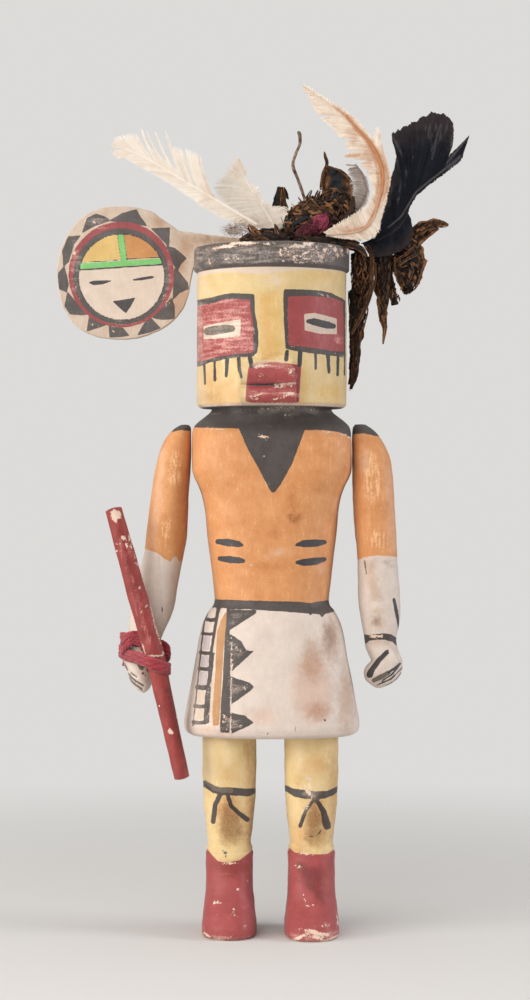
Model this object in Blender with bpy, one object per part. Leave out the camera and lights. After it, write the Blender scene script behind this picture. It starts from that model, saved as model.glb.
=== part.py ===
"""A carved and painted wooden doll in a square-eyed case mask, standing on its boots.

Metres, +Z up. The doll faces -Y, and its right hand is at -X. The origin is on the floor, under the
middle of the whole object. Sizes are written in millimetres, and MM turns them into metres.
"""

import math

import bmesh
import bpy
import numpy as np

MM = 0.001
GAP = 0.3  # between neighbouring pieces

# The figure's heights
CROWN = 324.3
RIM_FOOT = 313.3
CHIN = 248.6
SHOULDER = 239.5
WAIST = 157.5
HEM = 94.0
BOOT_TOP = 38.3

# The figure's middle line, seen from above
FIGURE_X = 4.2
FIGURE_Y = 2.0

# The mask, and the band round its top
MASK_HALF_WIDTH = 35.5
MASK_HALF_DEPTH = 36.0
RIM_PROUD = 1.4

# Height, half width, half depth and squareness of the trunk's level sections, hem to shoulders.
# A squareness of 2 is an ellipse, and more is nearer to a rectangle.
TRUNK_SECTIONS = (
    (HEM, 38.6, 27.6, 2.3),
    (HEM + 1.6, 41.0, 30.2, 2.3),
    (HEM + 5.0, 41.7, 31.2, 2.3),
    (105.5, 40.7, 30.9, 2.3),
    (114.0, 39.1, 30.2, 2.3),
    (122.5, 37.5, 29.4, 2.3),
    (131.0, 35.9, 28.5, 2.3),
    (138.5, 34.7, 27.7, 2.3),
    (145.0, 33.2, 26.8, 2.3),
    (149.5, 31.4, 25.8, 2.3),
    (152.8, 29.5, 24.7, 2.3),
    (155.0, 27.7, 23.4, 2.3),
    (WAIST, 27.1, 22.8, 2.3),
    (166.0, 27.9, 23.0, 2.35),
    (176.5, 29.2, 23.4, 2.4),
    (190.8, 30.9, 24.2, 2.4),
    (199.3, 31.7, 24.8, 2.5),
    (206.5, 33.0, 25.1, 2.6),
    (211.5, 34.8, 25.2, 2.8),
    (216.0, 36.9, 25.2, 3.0),
    (219.5, 37.8, 25.1, 3.1),
    (229.0, 37.9, 24.4, 3.1),
    (236.5, 37.7, 22.8, 2.9),
    (SHOULDER, 37.0, 21.2, 2.8),
    (242.2, 34.6, 19.8, 2.6),
    (244.9, 31.2, 19.6, 2.4),
    (247.2, 28.8, 20.6, 2.2),
    (CHIN, 28.4, 21.4, 2.1),
)

# Height above the chin or below the crown, and how far inside the mask's side each ring stands
MASK_FOOT = ((0.1, 2.2), (0.9, 0.7), (2.6, 0.0))
RIM_RINGS = ((RIM_FOOT - 1.8, 0.0), (RIM_FOOT + 0.9, -RIM_PROUD), (CROWN - 1.0, -RIM_PROUD), (CROWN, -0.5))

# Height, half width, how far the section reaches in front and behind, and squareness of a leg
LEG_SECTIONS = (
    (BOOT_TOP + 1.0, 11.0, 10.8, 11.2, 2.2),
    (BOOT_TOP + 4.2, 10.1, 10.2, 10.4, 2.2),
    (46.5, 10.6, 10.9, 11.2, 2.2),
    (52.0, 11.2, 11.8, 12.2, 2.2),
    (59.5, 12.0, 12.6, 13.0, 2.2),
    (68.0, 12.5, 13.0, 13.4, 2.2),
    (80.0, 12.8, 13.2, 13.4, 2.2),
    (HEM + 5.0, 12.8, 13.2, 13.4, 2.2),
)
BOOT_SECTIONS = (
    (0.0, 12.0, 22.6, 15.6, 2.5),
    (1.4, 13.0, 24.4, 16.6, 2.5),
    (5.0, 12.9, 24.2, 16.4, 2.5),
    (9.5, 12.4, 21.8, 15.6, 2.4),
    (14.5, 11.9, 17.8, 14.6, 2.3),
    (20.5, 11.3, 14.2, 13.6, 2.2),
    (28.0, 11.1, 12.4, 12.6, 2.2),
    (35.0, 11.2, 11.8, 12.0, 2.2),
    (BOOT_TOP, 11.2, 11.5, 11.7, 2.2),
)
LEGS = (
    # name, middle line, how much further the toe reaches
    ("right", -15.9, 0.0),
    ("left", 23.0, 3.4),
)

# Raised mouth: height, half width and how far the lips stand out of the mask
MOUTH_X = 1.9
MOUTH_SECTIONS = (
    (CHIN + 0.5, 12.0, 1.6),
    (CHIN + 1.6, 12.9, 4.2),
    (CHIN + 4.2, 13.2, 5.4),
    (CHIN + 7.2, 13.2, 4.6),
    (CHIN + 8.6, 13.1, 3.4),
    (CHIN + 9.6, 13.1, 3.4),
    (CHIN + 11.0, 13.0, 4.7),
    (CHIN + 14.0, 12.8, 5.6),
    (CHIN + 17.0, 12.4, 4.4),
    (CHIN + 18.6, 12.0, 2.4),
    (CHIN + 20.6, 12.6, 2.2),
    (CHIN + 22.2, 11.4, 0.7),
)

# Height, left edge, right edge, reach in front and reach behind of an arm's sections
RIGHT_ARM_SECTIONS = (
    (113.4, -57.6, -56.0, -1.0, 3.0),
    (115.2, -60.2, -53.9, -4.6, 6.0),
    (118.0, -62.4, -52.9, -7.0, 8.2),
    (121.8, -64.4, -52.6, -8.2, 9.2),
    (125.8, -65.6, -52.2, -8.8, 9.6),
    (130.0, -66.2, -51.2, -9.0, 9.6),
    (134.5, -66.0, -50.0, -8.4, 9.2),
    (139.0, -64.8, -48.4, -7.8, 9.0),
    (143.5, -64.0, -46.4, -8.0, 9.4),
    (149.0, -63.4, -43.9, -8.6, 10.0),
    (155.5, -62.6, -42.0, -9.4, 10.8),
    (163.0, -60.8, -40.7, -10.2, 11.6),
    (171.0, -58.6, -39.3, -11.0, 12.4),
    (179.4, -56.6, -37.5, -11.6, 13.0),
    (188.0, -55.4, -36.1, -11.9, 13.2),
    (199.5, -54.0, -35.6, -12.0, 13.2),
    (211.0, -52.6, -35.1, -11.8, 13.0),
    (219.5, -51.2, -34.4, -11.2, 12.4),
    (226.0, -49.8, -34.1, -10.4, 11.6),
    (231.5, -47.6, -34.1, -9.0, 10.4),
    (236.0, -44.8, -34.1, -7.2, 8.6),
    (239.4, -41.4, -34.3, -4.8, 6.4),
    (240.8, -38.8, -35.4, -2.4, 4.4),
)
LEFT_ARM_SECTIONS = (
    (115.8, 53.4, 56.6, -2.0, 4.0),
    (117.4, 51.0, 60.4, -5.0, 6.6),
    (120.0, 48.6, 64.2, -7.4, 8.8),
    (123.0, 48.0, 66.0, -8.6, 9.8),
    (126.0, 49.2, 66.5, -9.0, 10.2),
    (128.6, 51.5, 66.4, -9.2, 10.2),
    (131.5, 50.2, 65.4, -9.0, 10.0),
    (134.8, 48.9, 64.0, -8.4, 9.6),
    (138.0, 48.4, 63.4, -8.2, 9.6),
    (144.0, 47.4, 64.4, -9.0, 10.2),
    (151.0, 46.2, 65.4, -9.8, 11.0),
    (160.0, 45.3, 65.2, -10.6, 11.8),
    (170.0, 45.2, 64.4, -11.2, 12.4),
    (180.0, 44.9, 63.7, -11.6, 12.8),
    (190.0, 43.9, 63.2, -11.8, 13.0),
    (202.0, 43.0, 62.6, -12.0, 13.2),
    (211.0, 42.6, 62.2, -11.8, 13.0),
    (219.5, 42.5, 61.3, -11.2, 12.4),
    (225.5, 42.5, 60.2, -10.4, 11.6),
    (231.0, 42.5, 58.0, -9.0, 10.4),
    (235.6, 42.5, 55.2, -7.2, 8.6),
    (239.2, 42.8, 51.4, -4.8, 6.4),
    (241.0, 44.0, 48.6, -2.4, 4.4),
)

# The sun board: a disc with a tab that sits in a slot in the crown
BOARD_MIDDLE = (-66.3, 313.9)
BOARD_RADIUS = 32.0
BOARD_FRONT = 6.0
BOARD_THICK = 4.0
TAB_END = -9.0
TAB_FOOT = 316.4
TAB_TOP = ((TAB_END, 330.0), (-27.0, 332.0), (-40.0, 333.6))
# Places round the disc, in degrees from +X, where the board is fuller or flatter than a circle,
# with the share of the radius and how many degrees it spreads
BOARD_BULGES = ((228.0, 0.08, 26.0), (322.0, 0.035, 24.0), (120.0, 0.03, 30.0), (90.0, -0.03, 22.0))

# The red stick: points down its middle with its radius there
STICK = (
    (-69.9, -15.5, 200.6, 3.9),
    (-60.1, -15.5, 165.0, 4.5),
    (-50.9, -15.5, 132.6, 4.7),
    (-46.0, -15.5, 111.2, 4.1),
    (-38.0, -15.5, 75.0, 3.6),
)

# The yarn: half thickness and half height of its band, turns, and how far each turn is below the last
YARN_HALF_THICK = 1.05
YARN_HALF_TALL = 2.4
YARN_TURNS = 2
YARN_PITCH = 5.1
YARN_TOP = 137.7
YARN_ARCH = 3.5
YARN_TILT = 0.2
YARN_CLEAR = 0.8
FIST_X = -58.6
STICK_SLOPE = 0.28  # sideways per millimetre of height
ARM_CORNER = 0.6  # how far the arm's squarish section stands out of an oval
# Where the yarn bends beside the fist: middle and half sizes, seen from above
KNOT_POST = (-46.8, -6.6, 1.0, 1.0)

QUILL = 0.55  # half thickness of a feather along its quill
VANE_EDGE = 0.3  # half thickness at a vane's edge


def clear_scene():
    """Removes what a new file holds."""
    for thing in list(bpy.data.objects):
        bpy.data.objects.remove(thing)


def finish(name, colour, roughness):
    """A paint or fibre with its base colour and roughness."""
    made = bpy.data.materials.new(name)
    made.use_nodes = True
    shader = made.node_tree.nodes["Principled BSDF"]
    shader.inputs["Base Color"].default_value = (*colour, 1.0)
    shader.inputs["Roughness"].default_value = roughness
    shader.inputs["Metallic"].default_value = 0.0
    return made


def solid(name, shape, material):
    """An object from points in millimetres and faces."""
    points, faces = shape
    mesh = bpy.data.meshes.new(name)
    mesh.from_pydata([tuple(point) for point in np.asarray(points) * MM], [], faces)
    skin = bmesh.new()
    skin.from_mesh(mesh)
    bmesh.ops.recalc_face_normals(skin, faces=skin.faces)
    skin.to_mesh(mesh)
    skin.free()
    mesh.shade_smooth()
    mesh.set_sharp_from_angle(angle=math.radians(40))
    mesh.materials.append(material)
    made = bpy.data.objects.new(name, mesh)
    bpy.context.scene.collection.objects.link(made)
    return made


def helper(name, shape, material):
    """A shape that is only joined to another object or cut from it."""
    made = solid(name, shape, material)
    made.hide_render = True
    made.display_type = "WIRE"
    return made


def combine(target, other, operation):
    """Joins another object to the target, or cuts it away."""
    step = target.modifiers.new(f"{operation.lower()} {other.name}", "BOOLEAN")
    step.operation = operation
    step.solver = "EXACT"
    step.object = other


def ring(height, left, right, front, back, power, sides):
    """A level section between four edges, anticlockwise seen from above."""
    turn = (np.arange(sides) + 0.5) * math.tau / sides
    across = np.sign(np.cos(turn)) * np.abs(np.cos(turn)) ** (2 / power)
    along = np.sign(np.sin(turn)) * np.abs(np.sin(turn)) ** (2 / power)
    x = (left + right) / 2 + across * (right - left) / 2
    y = (front + back) / 2 + along * (back - front) / 2
    return np.stack([x, y, np.full(sides, height)], axis=1)


def loft(rings):
    """A closed body through rings of equal count, the first at the bottom."""
    sides = len(rings[0])
    faces = [list(range(sides))[::-1]]
    for low in range(0, sides * (len(rings) - 1), sides):
        for side in range(sides):
            after = (side + 1) % sides
            faces.append([low + side, low + after, low + sides + after, low + sides + side])
    top = sides * (len(rings) - 1)
    faces.append([top + side for side in range(sides)])
    return np.concatenate(rings), faces


def curve(points, count):
    """Evenly spaced points on a smooth line through the given ones (a Catmull-Rom curve)."""
    points = np.asarray(points, float)
    ends = np.vstack([2 * points[0] - points[1], points, 2 * points[-1] - points[-2]])
    place = np.linspace(0, len(points) - 1, 40 * len(points))
    first = np.minimum(place.astype(int), len(points) - 2)
    t = (place - first)[:, None]
    p0, p1, p2, p3 = (ends[first + step] for step in range(4))
    fine = 0.5 * (
        2 * p1 + (p2 - p0) * t + (2 * p0 - 5 * p1 + 4 * p2 - p3) * t**2 + (3 * p1 - p0 - 3 * p2 + p3) * t**3
    )
    length = np.concatenate([[0], np.cumsum(np.linalg.norm(np.diff(fine[:, :3], axis=0), axis=1))])
    wanted = np.linspace(0, length[-1], count)
    return np.stack([np.interp(wanted, length, column) for column in fine.T], axis=1)


def directions(path):
    """Unit directions along a line of points."""
    along = np.gradient(path, axis=0)
    return along / np.linalg.norm(along, axis=1, keepdims=True)


def tube(path, wide, thick, sides, face=(0.0, -1.0, 0.0)):
    """A closed tube along a line, with its half width across the face direction and half thickness."""
    path = np.asarray(path, float)
    along = directions(path)
    across = np.cross(along, np.asarray(face, float))
    across /= np.linalg.norm(across, axis=1, keepdims=True)
    outward = np.cross(across, along)
    turn = np.arange(sides) * math.tau / sides
    wide = np.broadcast_to(wide, len(path))
    thick = np.broadcast_to(thick, len(path))
    rings = [
        middle + np.outer(np.cos(turn) * w, a) + np.outer(np.sin(turn) * t, o)
        for middle, a, o, w, t in zip(path, across, outward, wide, thick)
    ]
    return loft(rings)


def trunk_rings(sides):
    """Kilt, torso, neck, mask and rim as one stack of level sections."""
    rings = [
        ring(height, FIGURE_X - wide, FIGURE_X + wide, FIGURE_Y - deep, FIGURE_Y + deep, power, sides)
        for height, wide, deep, power in TRUNK_SECTIONS
    ]
    mask = [(CHIN + up, inset) for up, inset in MASK_FOOT] + list(RIM_RINGS)
    for height, inset in mask:
        wide = MASK_HALF_WIDTH - inset
        deep = MASK_HALF_DEPTH - inset
        rings.append(
            ring(height, FIGURE_X - wide, FIGURE_X + wide, FIGURE_Y - deep, FIGURE_Y + deep, 2.05, sides)
        )
    return rings


def leg_rings(middle, toe, sides):
    """A boot and the leg that rises from it into the kilt."""
    rings = []
    for height, wide, front, back, power in BOOT_SECTIONS:
        reach = front + toe * min(1.0, max(0.0, (16.0 - height) / 12.0))
        rings.append(ring(height, middle - wide, middle + wide, -reach, back, power, sides))
    for height, wide, front, back, power in LEG_SECTIONS:
        rings.append(ring(height, middle - wide, middle + wide, -front, back, power, sides))
    return rings


def mouth_rings(sides):
    """Two lips and the ridge over them, from inside the mask to their fronts."""
    face = FIGURE_Y - MASK_HALF_DEPTH
    return [
        ring(height, MOUTH_X - wide, MOUTH_X + wide, face - proud, face + 14.0, 4.5, sides)
        for height, wide, proud in MOUTH_SECTIONS
    ]


def block(low, high):
    """A box between two corners."""
    (x0, y0, z0), (x1, y1, z1) = low, high
    return loft(
        [np.array([(x0, y0, z), (x1, y0, z), (x1, y1, z), (x0, y1, z)], float) for z in (z0, z1)]
    )


def make_body(wood):
    """The figure carved from one piece of wood."""
    body = solid("body", loft(trunk_rings(36)), wood)
    for name, middle, toe in LEGS:
        combine(body, helper(f"{name}_leg_shape", loft(leg_rings(middle, toe, 18)), wood), "UNION")
    combine(body, helper("mouth_shape", loft(mouth_rings(14)), wood), "UNION")
    slot = block(
        (FIGURE_X - 60.0, BOARD_FRONT - GAP, TAB_FOOT - GAP),
        (TAB_END + GAP, BOARD_FRONT + BOARD_THICK + GAP, CROWN + 10.0),
    )
    combine(body, helper("board_slot", slot, wood), "DIFFERENCE")
    return body


def make_arm(name, sections, wood):
    """An arm with its hand, from a stack of level sections."""
    rings = [
        ring(height, left, right, front + FIGURE_Y - 1.0, back + FIGURE_Y - 1.0, 2.3, 14)
        for height, left, right, front, back in sections
    ]
    return solid(name, loft(rings), wood)


def board_outline():
    """The sun board's outline, seen from the front, anticlockwise from the tab's upper corner."""
    turn = np.radians(np.linspace(64.0, 340.0, 42))
    radius = np.full(len(turn), BOARD_RADIUS)
    for place, share, spread in BOARD_BULGES:
        radius += BOARD_RADIUS * share * np.exp(-(((np.degrees(turn) - place) / spread) ** 2))
    disc = np.stack(
        [BOARD_MIDDLE[0] + radius * np.cos(turn), BOARD_MIDDLE[1] + radius * np.sin(turn)], axis=1
    )
    neck = [(-33.6, TAB_FOOT - 2.4), (-32.8, TAB_FOOT), (TAB_END, TAB_FOOT)]
    return np.vstack([disc, neck, TAB_TOP])


def make_board(wood):
    """The flat board that carries the painted sun."""
    outline = board_outline()
    back = BOARD_FRONT + BOARD_THICK
    bevel = 0.5
    middle = np.array(BOARD_MIDDLE)
    inner = outline + (middle - outline) * (bevel / BOARD_RADIUS)
    rings = [
        np.stack([shape[:, 0], np.full(len(shape), y), shape[:, 1]], axis=1)
        for shape, y in (
            (inner, back),
            (outline, back - bevel),
            (outline, BOARD_FRONT + bevel),
            (inner, BOARD_FRONT),
        )
    ]
    return solid("sun_board", loft(rings), wood)


def make_stick(wood):
    """The round stick in the right hand."""
    line, radius = np.split(curve(STICK, 7), [3], axis=1)
    radius = radius[:, 0]
    along = directions(line)
    line = np.vstack([line[0] - along[0] * 0.8, line, line[-1] + along[-1] * 0.8])
    radius = np.concatenate([[radius[0] * 0.72], radius, [radius[-1] * 0.8]])
    return solid("red_stick", tube(line, radius, radius, 12), wood)


def taut_point(direction, posts, clearance):
    """Where a loop drawn tight round several oval posts touches, for one outward direction."""
    best = None
    for x, y, half_x, half_y in posts:
        reach = np.array([half_x**2 * direction[0], half_y**2 * direction[1]])
        reach /= math.hypot(half_x * direction[0], half_y * direction[1])
        point = np.array([x, y]) + reach + clearance * direction
        if best is None or point @ direction > best @ direction:
            best = point
    return best


def stick_post(height):
    """The stick's section at a height as a round post, with room for its slope along the band."""
    x, y, z, radius = np.array(STICK).T
    share = np.interp(-height, -z, np.arange(len(z)))
    x, y, radius = (np.interp(share, np.arange(len(z)), column) for column in (x, y, radius))
    return x, y, radius + YARN_HALF_TALL * STICK_SLOPE, radius


def fist_post(height):
    """The right arm's section at a height as an oval post, its middle and half sizes."""
    table = np.array(RIGHT_ARM_SECTIONS)
    left, right, front, back = (np.interp(height, table[:, 0], column) for column in table[:, 1:].T)
    middle_y = (front + back) / 2 + FIGURE_Y - 1.0
    return (left + right) / 2, middle_y, (right - left) / 2 + ARM_CORNER, (back - front) / 2


def make_yarn(fibre):
    """Yarn wound round the fist, first behind the stick and then over it."""
    per_turn = 20
    points = []
    for step in range(YARN_TURNS * per_turn + 4):
        share = step / per_turn
        turn = math.radians(100.0) + share * math.tau
        direction = np.array([math.cos(turn), math.sin(turn)])
        front = max(0.0, -direction[1])
        height = YARN_TOP - YARN_PITCH * share
        behind_stick = share < 0.98
        if behind_stick:
            height += YARN_ARCH * front
            posts = (fist_post(height), KNOT_POST)
        else:
            posts = (fist_post(height), KNOT_POST, stick_post(height))
        x, y = taut_point(direction, posts, YARN_HALF_THICK + YARN_CLEAR)
        points.append((x, y, height - YARN_TILT * (x - FIST_X)))
    line = smooth(np.array(points), 1)
    band = tube(line, YARN_HALF_THICK, YARN_HALF_TALL, 8, face=(0.0, 0.0, 1.0))
    return solid("yarn_tie", band, fibre)


def smooth(line, rounds):
    """Evens out a line's corners, its ends kept."""
    for _ in range(rounds):
        line[1:-1] = (line[:-2] + 2 * line[1:-1] + line[2:]) / 4
    return line


# Each feather: finish, where its base and its tip lie from front to back, how far its edges lie behind
# the quill, and its rows from base to tip. A row gives x and z of a place on the quill and of the ends
# of the two barbs that leave it there, left and right.
FEATHERS = {
    "white_feather_long": (
        "white", -4.0, -6.0, 1.2,
        (
            (-2.8, 335.3, -3.3, 336.6, -6.1, 334.0),
            (-9.4, 339.1, -15.1, 345.5, -16.0, 336.5),
            (-17.5, 343.9, -21.9, 348.3, -27.4, 342.9),
            (-22.7, 346.9, -23.6, 351.4, -31.2, 345.3),
            (-23.6, 347.5, -29.4, 368.4, -32.6, 346.2),
            (-28.3, 350.4, -33.1, 369.9, -39.2, 350.2),
            (-33.5, 353.5, -36.8, 371.3, -46.8, 356.1),
            (-37.8, 356.1, -43.0, 372.6, -54.3, 360.3),
            (-43.0, 359.4, -47.2, 375.7, -59.0, 362.7),
            (-49.1, 362.9, -52.9, 378.0, -63.3, 365.0),
            (-54.8, 366.4, -59.5, 378.0, -65.6, 366.4),
            (-61.4, 370.1, -65.2, 377.8, -68.5, 365.8),
            (-66.6, 373.0, -70.8, 376.3, -71.1, 368.9),
            (-71.8, 373.2, -71.8, 374.6, -71.8, 372.0),
        ),
    ),
    "white_feather_short": (
        "white", 4.0, 6.0, 1.2,
        (
            (5.0, 334.2, 2.0, 333.7, 9.9, 336.2),
            (1.5, 339.0, -6.6, 338.0, 10.1, 340.4),
            (-2.3, 345.2, -16.6, 345.2, 4.6, 344.5),
            (-5.2, 350.1, -22.4, 350.1, 1.2, 347.2),
            (-7.1, 353.9, -23.6, 354.0, -0.9, 352.0),
            (-8.5, 356.8, -21.1, 358.9, -3.1, 354.7),
            (-10.0, 360.6, -19.1, 361.6, -6.8, 356.8),
            (-10.7, 363.5, -16.2, 364.7, -7.9, 362.6),
            (-11.6, 366.9, -13.7, 367.8, -10.3, 366.6),
            (-12.3, 369.4, -12.6, 369.3, -12.1, 369.3),
        ),
    ),
    "buff_feather": (
        "buff", -19.0, -8.0, 1.4,
        (
            (28.1, 329.4, 29.9, 328.5, 29.5, 330.3),
            (36.0, 329.7, 40.7, 326.9, 34.2, 333.9),
            (42.6, 330.5, 48.2, 325.9, 37.5, 336.6),
            (47.5, 333.2, 52.0, 328.5, 42.6, 338.8),
            (50.8, 337.4, 54.6, 331.8, 46.9, 340.9),
            (53.4, 342.2, 55.1, 336.6, 49.7, 344.1),
            (55.3, 347.4, 57.9, 344.4, 51.4, 348.3),
            (56.3, 353.1, 59.4, 348.9, 51.5, 353.6),
            (56.3, 358.8, 59.9, 355.1, 49.5, 357.6),
            (55.4, 363.6, 59.4, 360.8, 46.5, 362.6),
            (53.6, 367.9, 57.8, 365.5, 43.2, 365.8),
            (52.2, 370.3, 55.9, 372.6, 38.6, 366.3),
            (50.8, 372.2, 54.3, 380.6, 41.2, 368.4),
            (49.4, 373.9, 52.9, 374.3, 38.6, 373.1),
            (44.7, 378.9, 48.2, 379.8, 35.1, 376.3),
            (39.1, 384.7, 42.2, 385.9, 30.6, 380.4),
            (33.7, 389.7, 36.5, 390.0, 26.2, 386.2),
            (26.9, 395.3, 28.3, 395.3, 22.0, 394.4),
            (18.3, 401.5, 18.7, 401.4, 18.2, 401.1),
        ),
    ),
    "black_feather": (
        "black", -1.5, 6.0, 1.6,
        (
            (47.0, 327.4, 48.0, 328.8, 48.9, 325.0),
            (52.9, 330.8, 54.2, 333.2, 59.4, 322.7),
            (57.5, 333.2, 55.8, 337.0, 65.1, 332.3),
            (60.9, 335.4, 57.8, 340.9, 70.8, 336.6),
            (64.2, 338.5, 59.0, 344.6, 68.2, 341.4),
            (67.1, 342.9, 60.6, 349.5, 70.4, 346.2),
            (70.0, 348.7, 62.8, 353.9, 74.7, 350.1),
            (72.1, 351.9, 63.3, 360.0, 82.9, 359.5),
            (73.8, 355.9, 64.3, 365.4, 94.3, 369.3),
            (75.1, 360.3, 62.3, 372.7, 98.2, 378.7),
            (75.9, 364.1, 61.0, 378.0, 89.6, 375.1),
            (76.8, 369.5, 62.3, 380.4, 91.1, 377.1),
            (77.3, 374.8, 67.3, 383.4, 91.1, 382.9),
            (78.3, 381.6, 73.1, 386.1, 88.3, 387.8),
            (80.5, 389.8, 78.4, 389.2, 83.6, 389.4),
        ),
    ),
    "grey_feather": (
        "grey", -3.9, -1.4, 0.8,
        (
            (42.8, 341.2, 40.9, 343.1, 44.2, 341.0),
            (47.5, 346.0, 42.8, 348.8, 48.7, 345.5),
            (49.4, 350.3, 42.3, 353.6, 50.4, 350.3),
            (49.4, 354.6, 41.4, 356.9, 50.4, 355.0),
            (47.5, 358.9, 39.7, 360.8, 48.5, 359.6),
            (45.2, 362.2, 39.5, 364.1, 46.1, 363.2),
            (41.9, 365.8, 41.1, 365.8, 42.3, 366.0),
        ),
    ),
}


def feather(base_y, tip_y, drop, rows):
    """A thin closed sheet through rows of three points: left edge, quill and right edge."""
    rows = np.array(rows)
    quill, left, right = rows[:, 0:2], rows[:, 2:4], rows[:, 4:6]
    length = np.concatenate([[0], np.cumsum(np.linalg.norm(np.diff(quill, axis=0), axis=1))])
    middle_y = base_y + (tip_y - base_y) * length / length[-1]
    widest = max(np.linalg.norm(edge - quill, axis=1).max() for edge in (left, right))
    sections = []
    for row in range(len(rows)):
        front = []
        back = []
        for point, half in ((left[row], VANE_EDGE), (quill[row], QUILL), (right[row], VANE_EDGE)):
            reach = np.linalg.norm(point - quill[row]) / widest
            y = middle_y[row] + drop * reach**2
            front.append((point[0], y - half, point[1]))
            back.append((point[0], y + half, point[1]))
        sections.append(np.array(front + back[::-1]))
    return loft(sections)


def make_feathers(finishes):
    """Every feather of the crest."""
    for name, (colour, base_y, tip_y, drop, rows) in FEATHERS.items():
        solid(name, feather(base_y, tip_y, drop, rows), finishes[colour])


def lump(middle, half, wobble, seed, rings=7, sides=12):
    """A closed rounded lump whose surface swells and dips in a few waves."""
    stack = []
    for level in np.linspace(-0.94, 0.94, rings):
        tilt = math.asin(level)
        turn = np.arange(sides) * math.tau / sides
        swell = 1 + wobble * (
            np.sin(3 * turn + 4 * tilt + seed) + 0.7 * np.sin(5 * turn - 3 * tilt + 2 * seed)
        )
        stack.append(
            np.stack(
                [
                    middle[0] + half[0] * np.cos(turn) * math.cos(tilt) * swell,
                    middle[1] + half[1] * np.sin(turn) * math.cos(tilt) * swell,
                    np.full(sides, middle[2] + half[2] * level),
                ],
                axis=1,
            )
        )
    return loft(stack)


def strip(points, count=8, sides=6):
    """A flattened closed strip through points that each give x, y, z, half width and half thickness."""
    line = curve(points, count)
    return tube(line[:, :3], line[:, 3], line[:, 4], sides)


# The tangle on the crown: middle, half sizes, swell and wave start of each lump
CREST_LUMPS = (
    ((4.0, -4.0, 327.4), (13.0, 14.0, 5.8), 0.05, 0.5),
    ((28.0, -3.0, 325.6), (18.0, 15.0, 4.6), 0.04, 2.3),
    ((25.5, 2.0, 336.0), (13.5, 12.0, 13.0), 0.07, 1.7),
    ((35.0, 4.0, 342.0), (9.5, 9.0, 11.0), 0.09, 3.1),
    ((7.5, 13.0, 333.0), (8.0, 6.0, 8.0), 0.06, 4.0),
)
CREST_STRIPS = (
    # the leaf that stands up behind the buff feather, and its stalk
    ((34.6, 7.0, 345.0, 5.0, 1.6), (34.0, 7.0, 352.0, 6.6, 1.2), (34.6, 7.0, 358.5, 6.2, 1.0),
     (33.2, 7.0, 364.0, 3.0, 0.9)),
    ((30.6, 7.0, 356.0, 1.6, 1.0), (30.0, 7.0, 361.0, 1.5, 0.9), (30.6, 7.0, 366.5, 1.2, 0.8),
     (29.4, 7.0, 371.0, 0.8, 0.7)),
    # the stub at the back left
    ((8.2, 14.0, 338.0, 4.6, 3.0), (8.4, 14.4, 346.5, 2.6, 1.8), (7.8, 14.8, 354.4, 2.0, 1.3)),
    # short spikes towards the white feathers
    ((20.0, -2.0, 343.0, 3.0, 2.0), (19.0, -2.0, 348.0, 1.6, 1.2), (21.6, -2.0, 352.4, 0.7, 0.6)),
    ((26.0, 0.0, 345.0, 3.2, 2.0), (26.4, 0.0, 350.0, 1.6, 1.2), (28.6, 0.0, 353.0, 0.7, 0.6)),
)
HANGING_STRIPS = (
    # beside the mask, from the crown down
    ((45.3, 2.0, 323.0, 2.6, 5.0), (46.2, 3.0, 318.8, 3.8, 7.0), (47.0, 3.5, 312.2, 4.3, 7.5),
     (47.2, 3.5, 306.5, 4.1, 6.0), (46.7, 3.5, 302.7, 2.4, 4.0)),
    ((49.5, 2.0, 307.8, 1.9, 2.4), (48.3, 1.5, 301.1, 2.5, 2.2), (45.9, 1.5, 294.9, 2.5, 2.0),
     (43.8, 2.0, 289.2, 1.9, 1.6), (41.8, 3.0, 283.8, 0.6, 1.0)),
    ((43.2, 4.0, 305.1, 2.6, 3.0), (43.7, 4.0, 298.9, 3.1, 2.4), (44.6, 4.0, 292.7, 3.6, 2.0),
     (44.9, 4.0, 286.0, 3.3, 1.6), (44.9, 4.0, 279.4, 2.1, 1.3), (44.4, 4.0, 271.7, 1.8, 1.2),
     (43.8, 4.0, 264.6, 1.5, 1.0), (41.9, 4.0, 257.9, 0.6, 0.8)),
    # under the black feather
    ((47.3, 5.0, 317.0, 3.0, 3.6), (53.1, 6.5, 317.6, 4.6, 3.6), (59.8, 7.5, 318.2, 4.8, 3.6),
     (66.5, 8.5, 319.4, 4.2, 3.6)),
    ((58.4, 7.5, 321.0, 2.2, 3.4), (57.9, 8.0, 316.0, 3.6, 4.5), (57.7, 8.0, 309.3, 4.3, 4.5),
     (57.7, 8.0, 303.6, 3.8, 3.6), (57.2, 8.0, 297.8, 2.2, 2.8), (57.1, 8.0, 292.1, 1.9, 2.0),
     (58.1, 8.0, 287.3, 1.2, 1.4), (57.5, 8.0, 279.6, 0.5, 0.8)),
    ((61.2, 9.0, 309.4, 1.6, 2.6), (62.4, 9.0, 302.7, 2.1, 1.8), (63.3, 9.0, 298.4, 2.2, 1.4)),
    # the crumpled leaf at the far side, and its spur
    ((68.0, 9.0, 330.5, 3.6, 4.0), (69.5, 10.0, 325.3, 6.2, 6.0), (71.0, 10.0, 318.6, 6.7, 6.5),
     (70.5, 10.0, 311.9, 6.2, 6.0), (69.5, 10.0, 307.1, 4.3, 4.5), (68.6, 10.0, 304.5, 1.9, 3.0)),
    ((69.5, 10.0, 327.7, 2.9, 4.0), (74.8, 10.0, 333.2, 3.6, 3.4), (79.6, 10.0, 336.1, 3.1, 2.4),
     (83.9, 10.0, 337.7, 1.9, 1.6), (88.9, 10.0, 336.6, 0.6, 0.8)),
)
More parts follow.
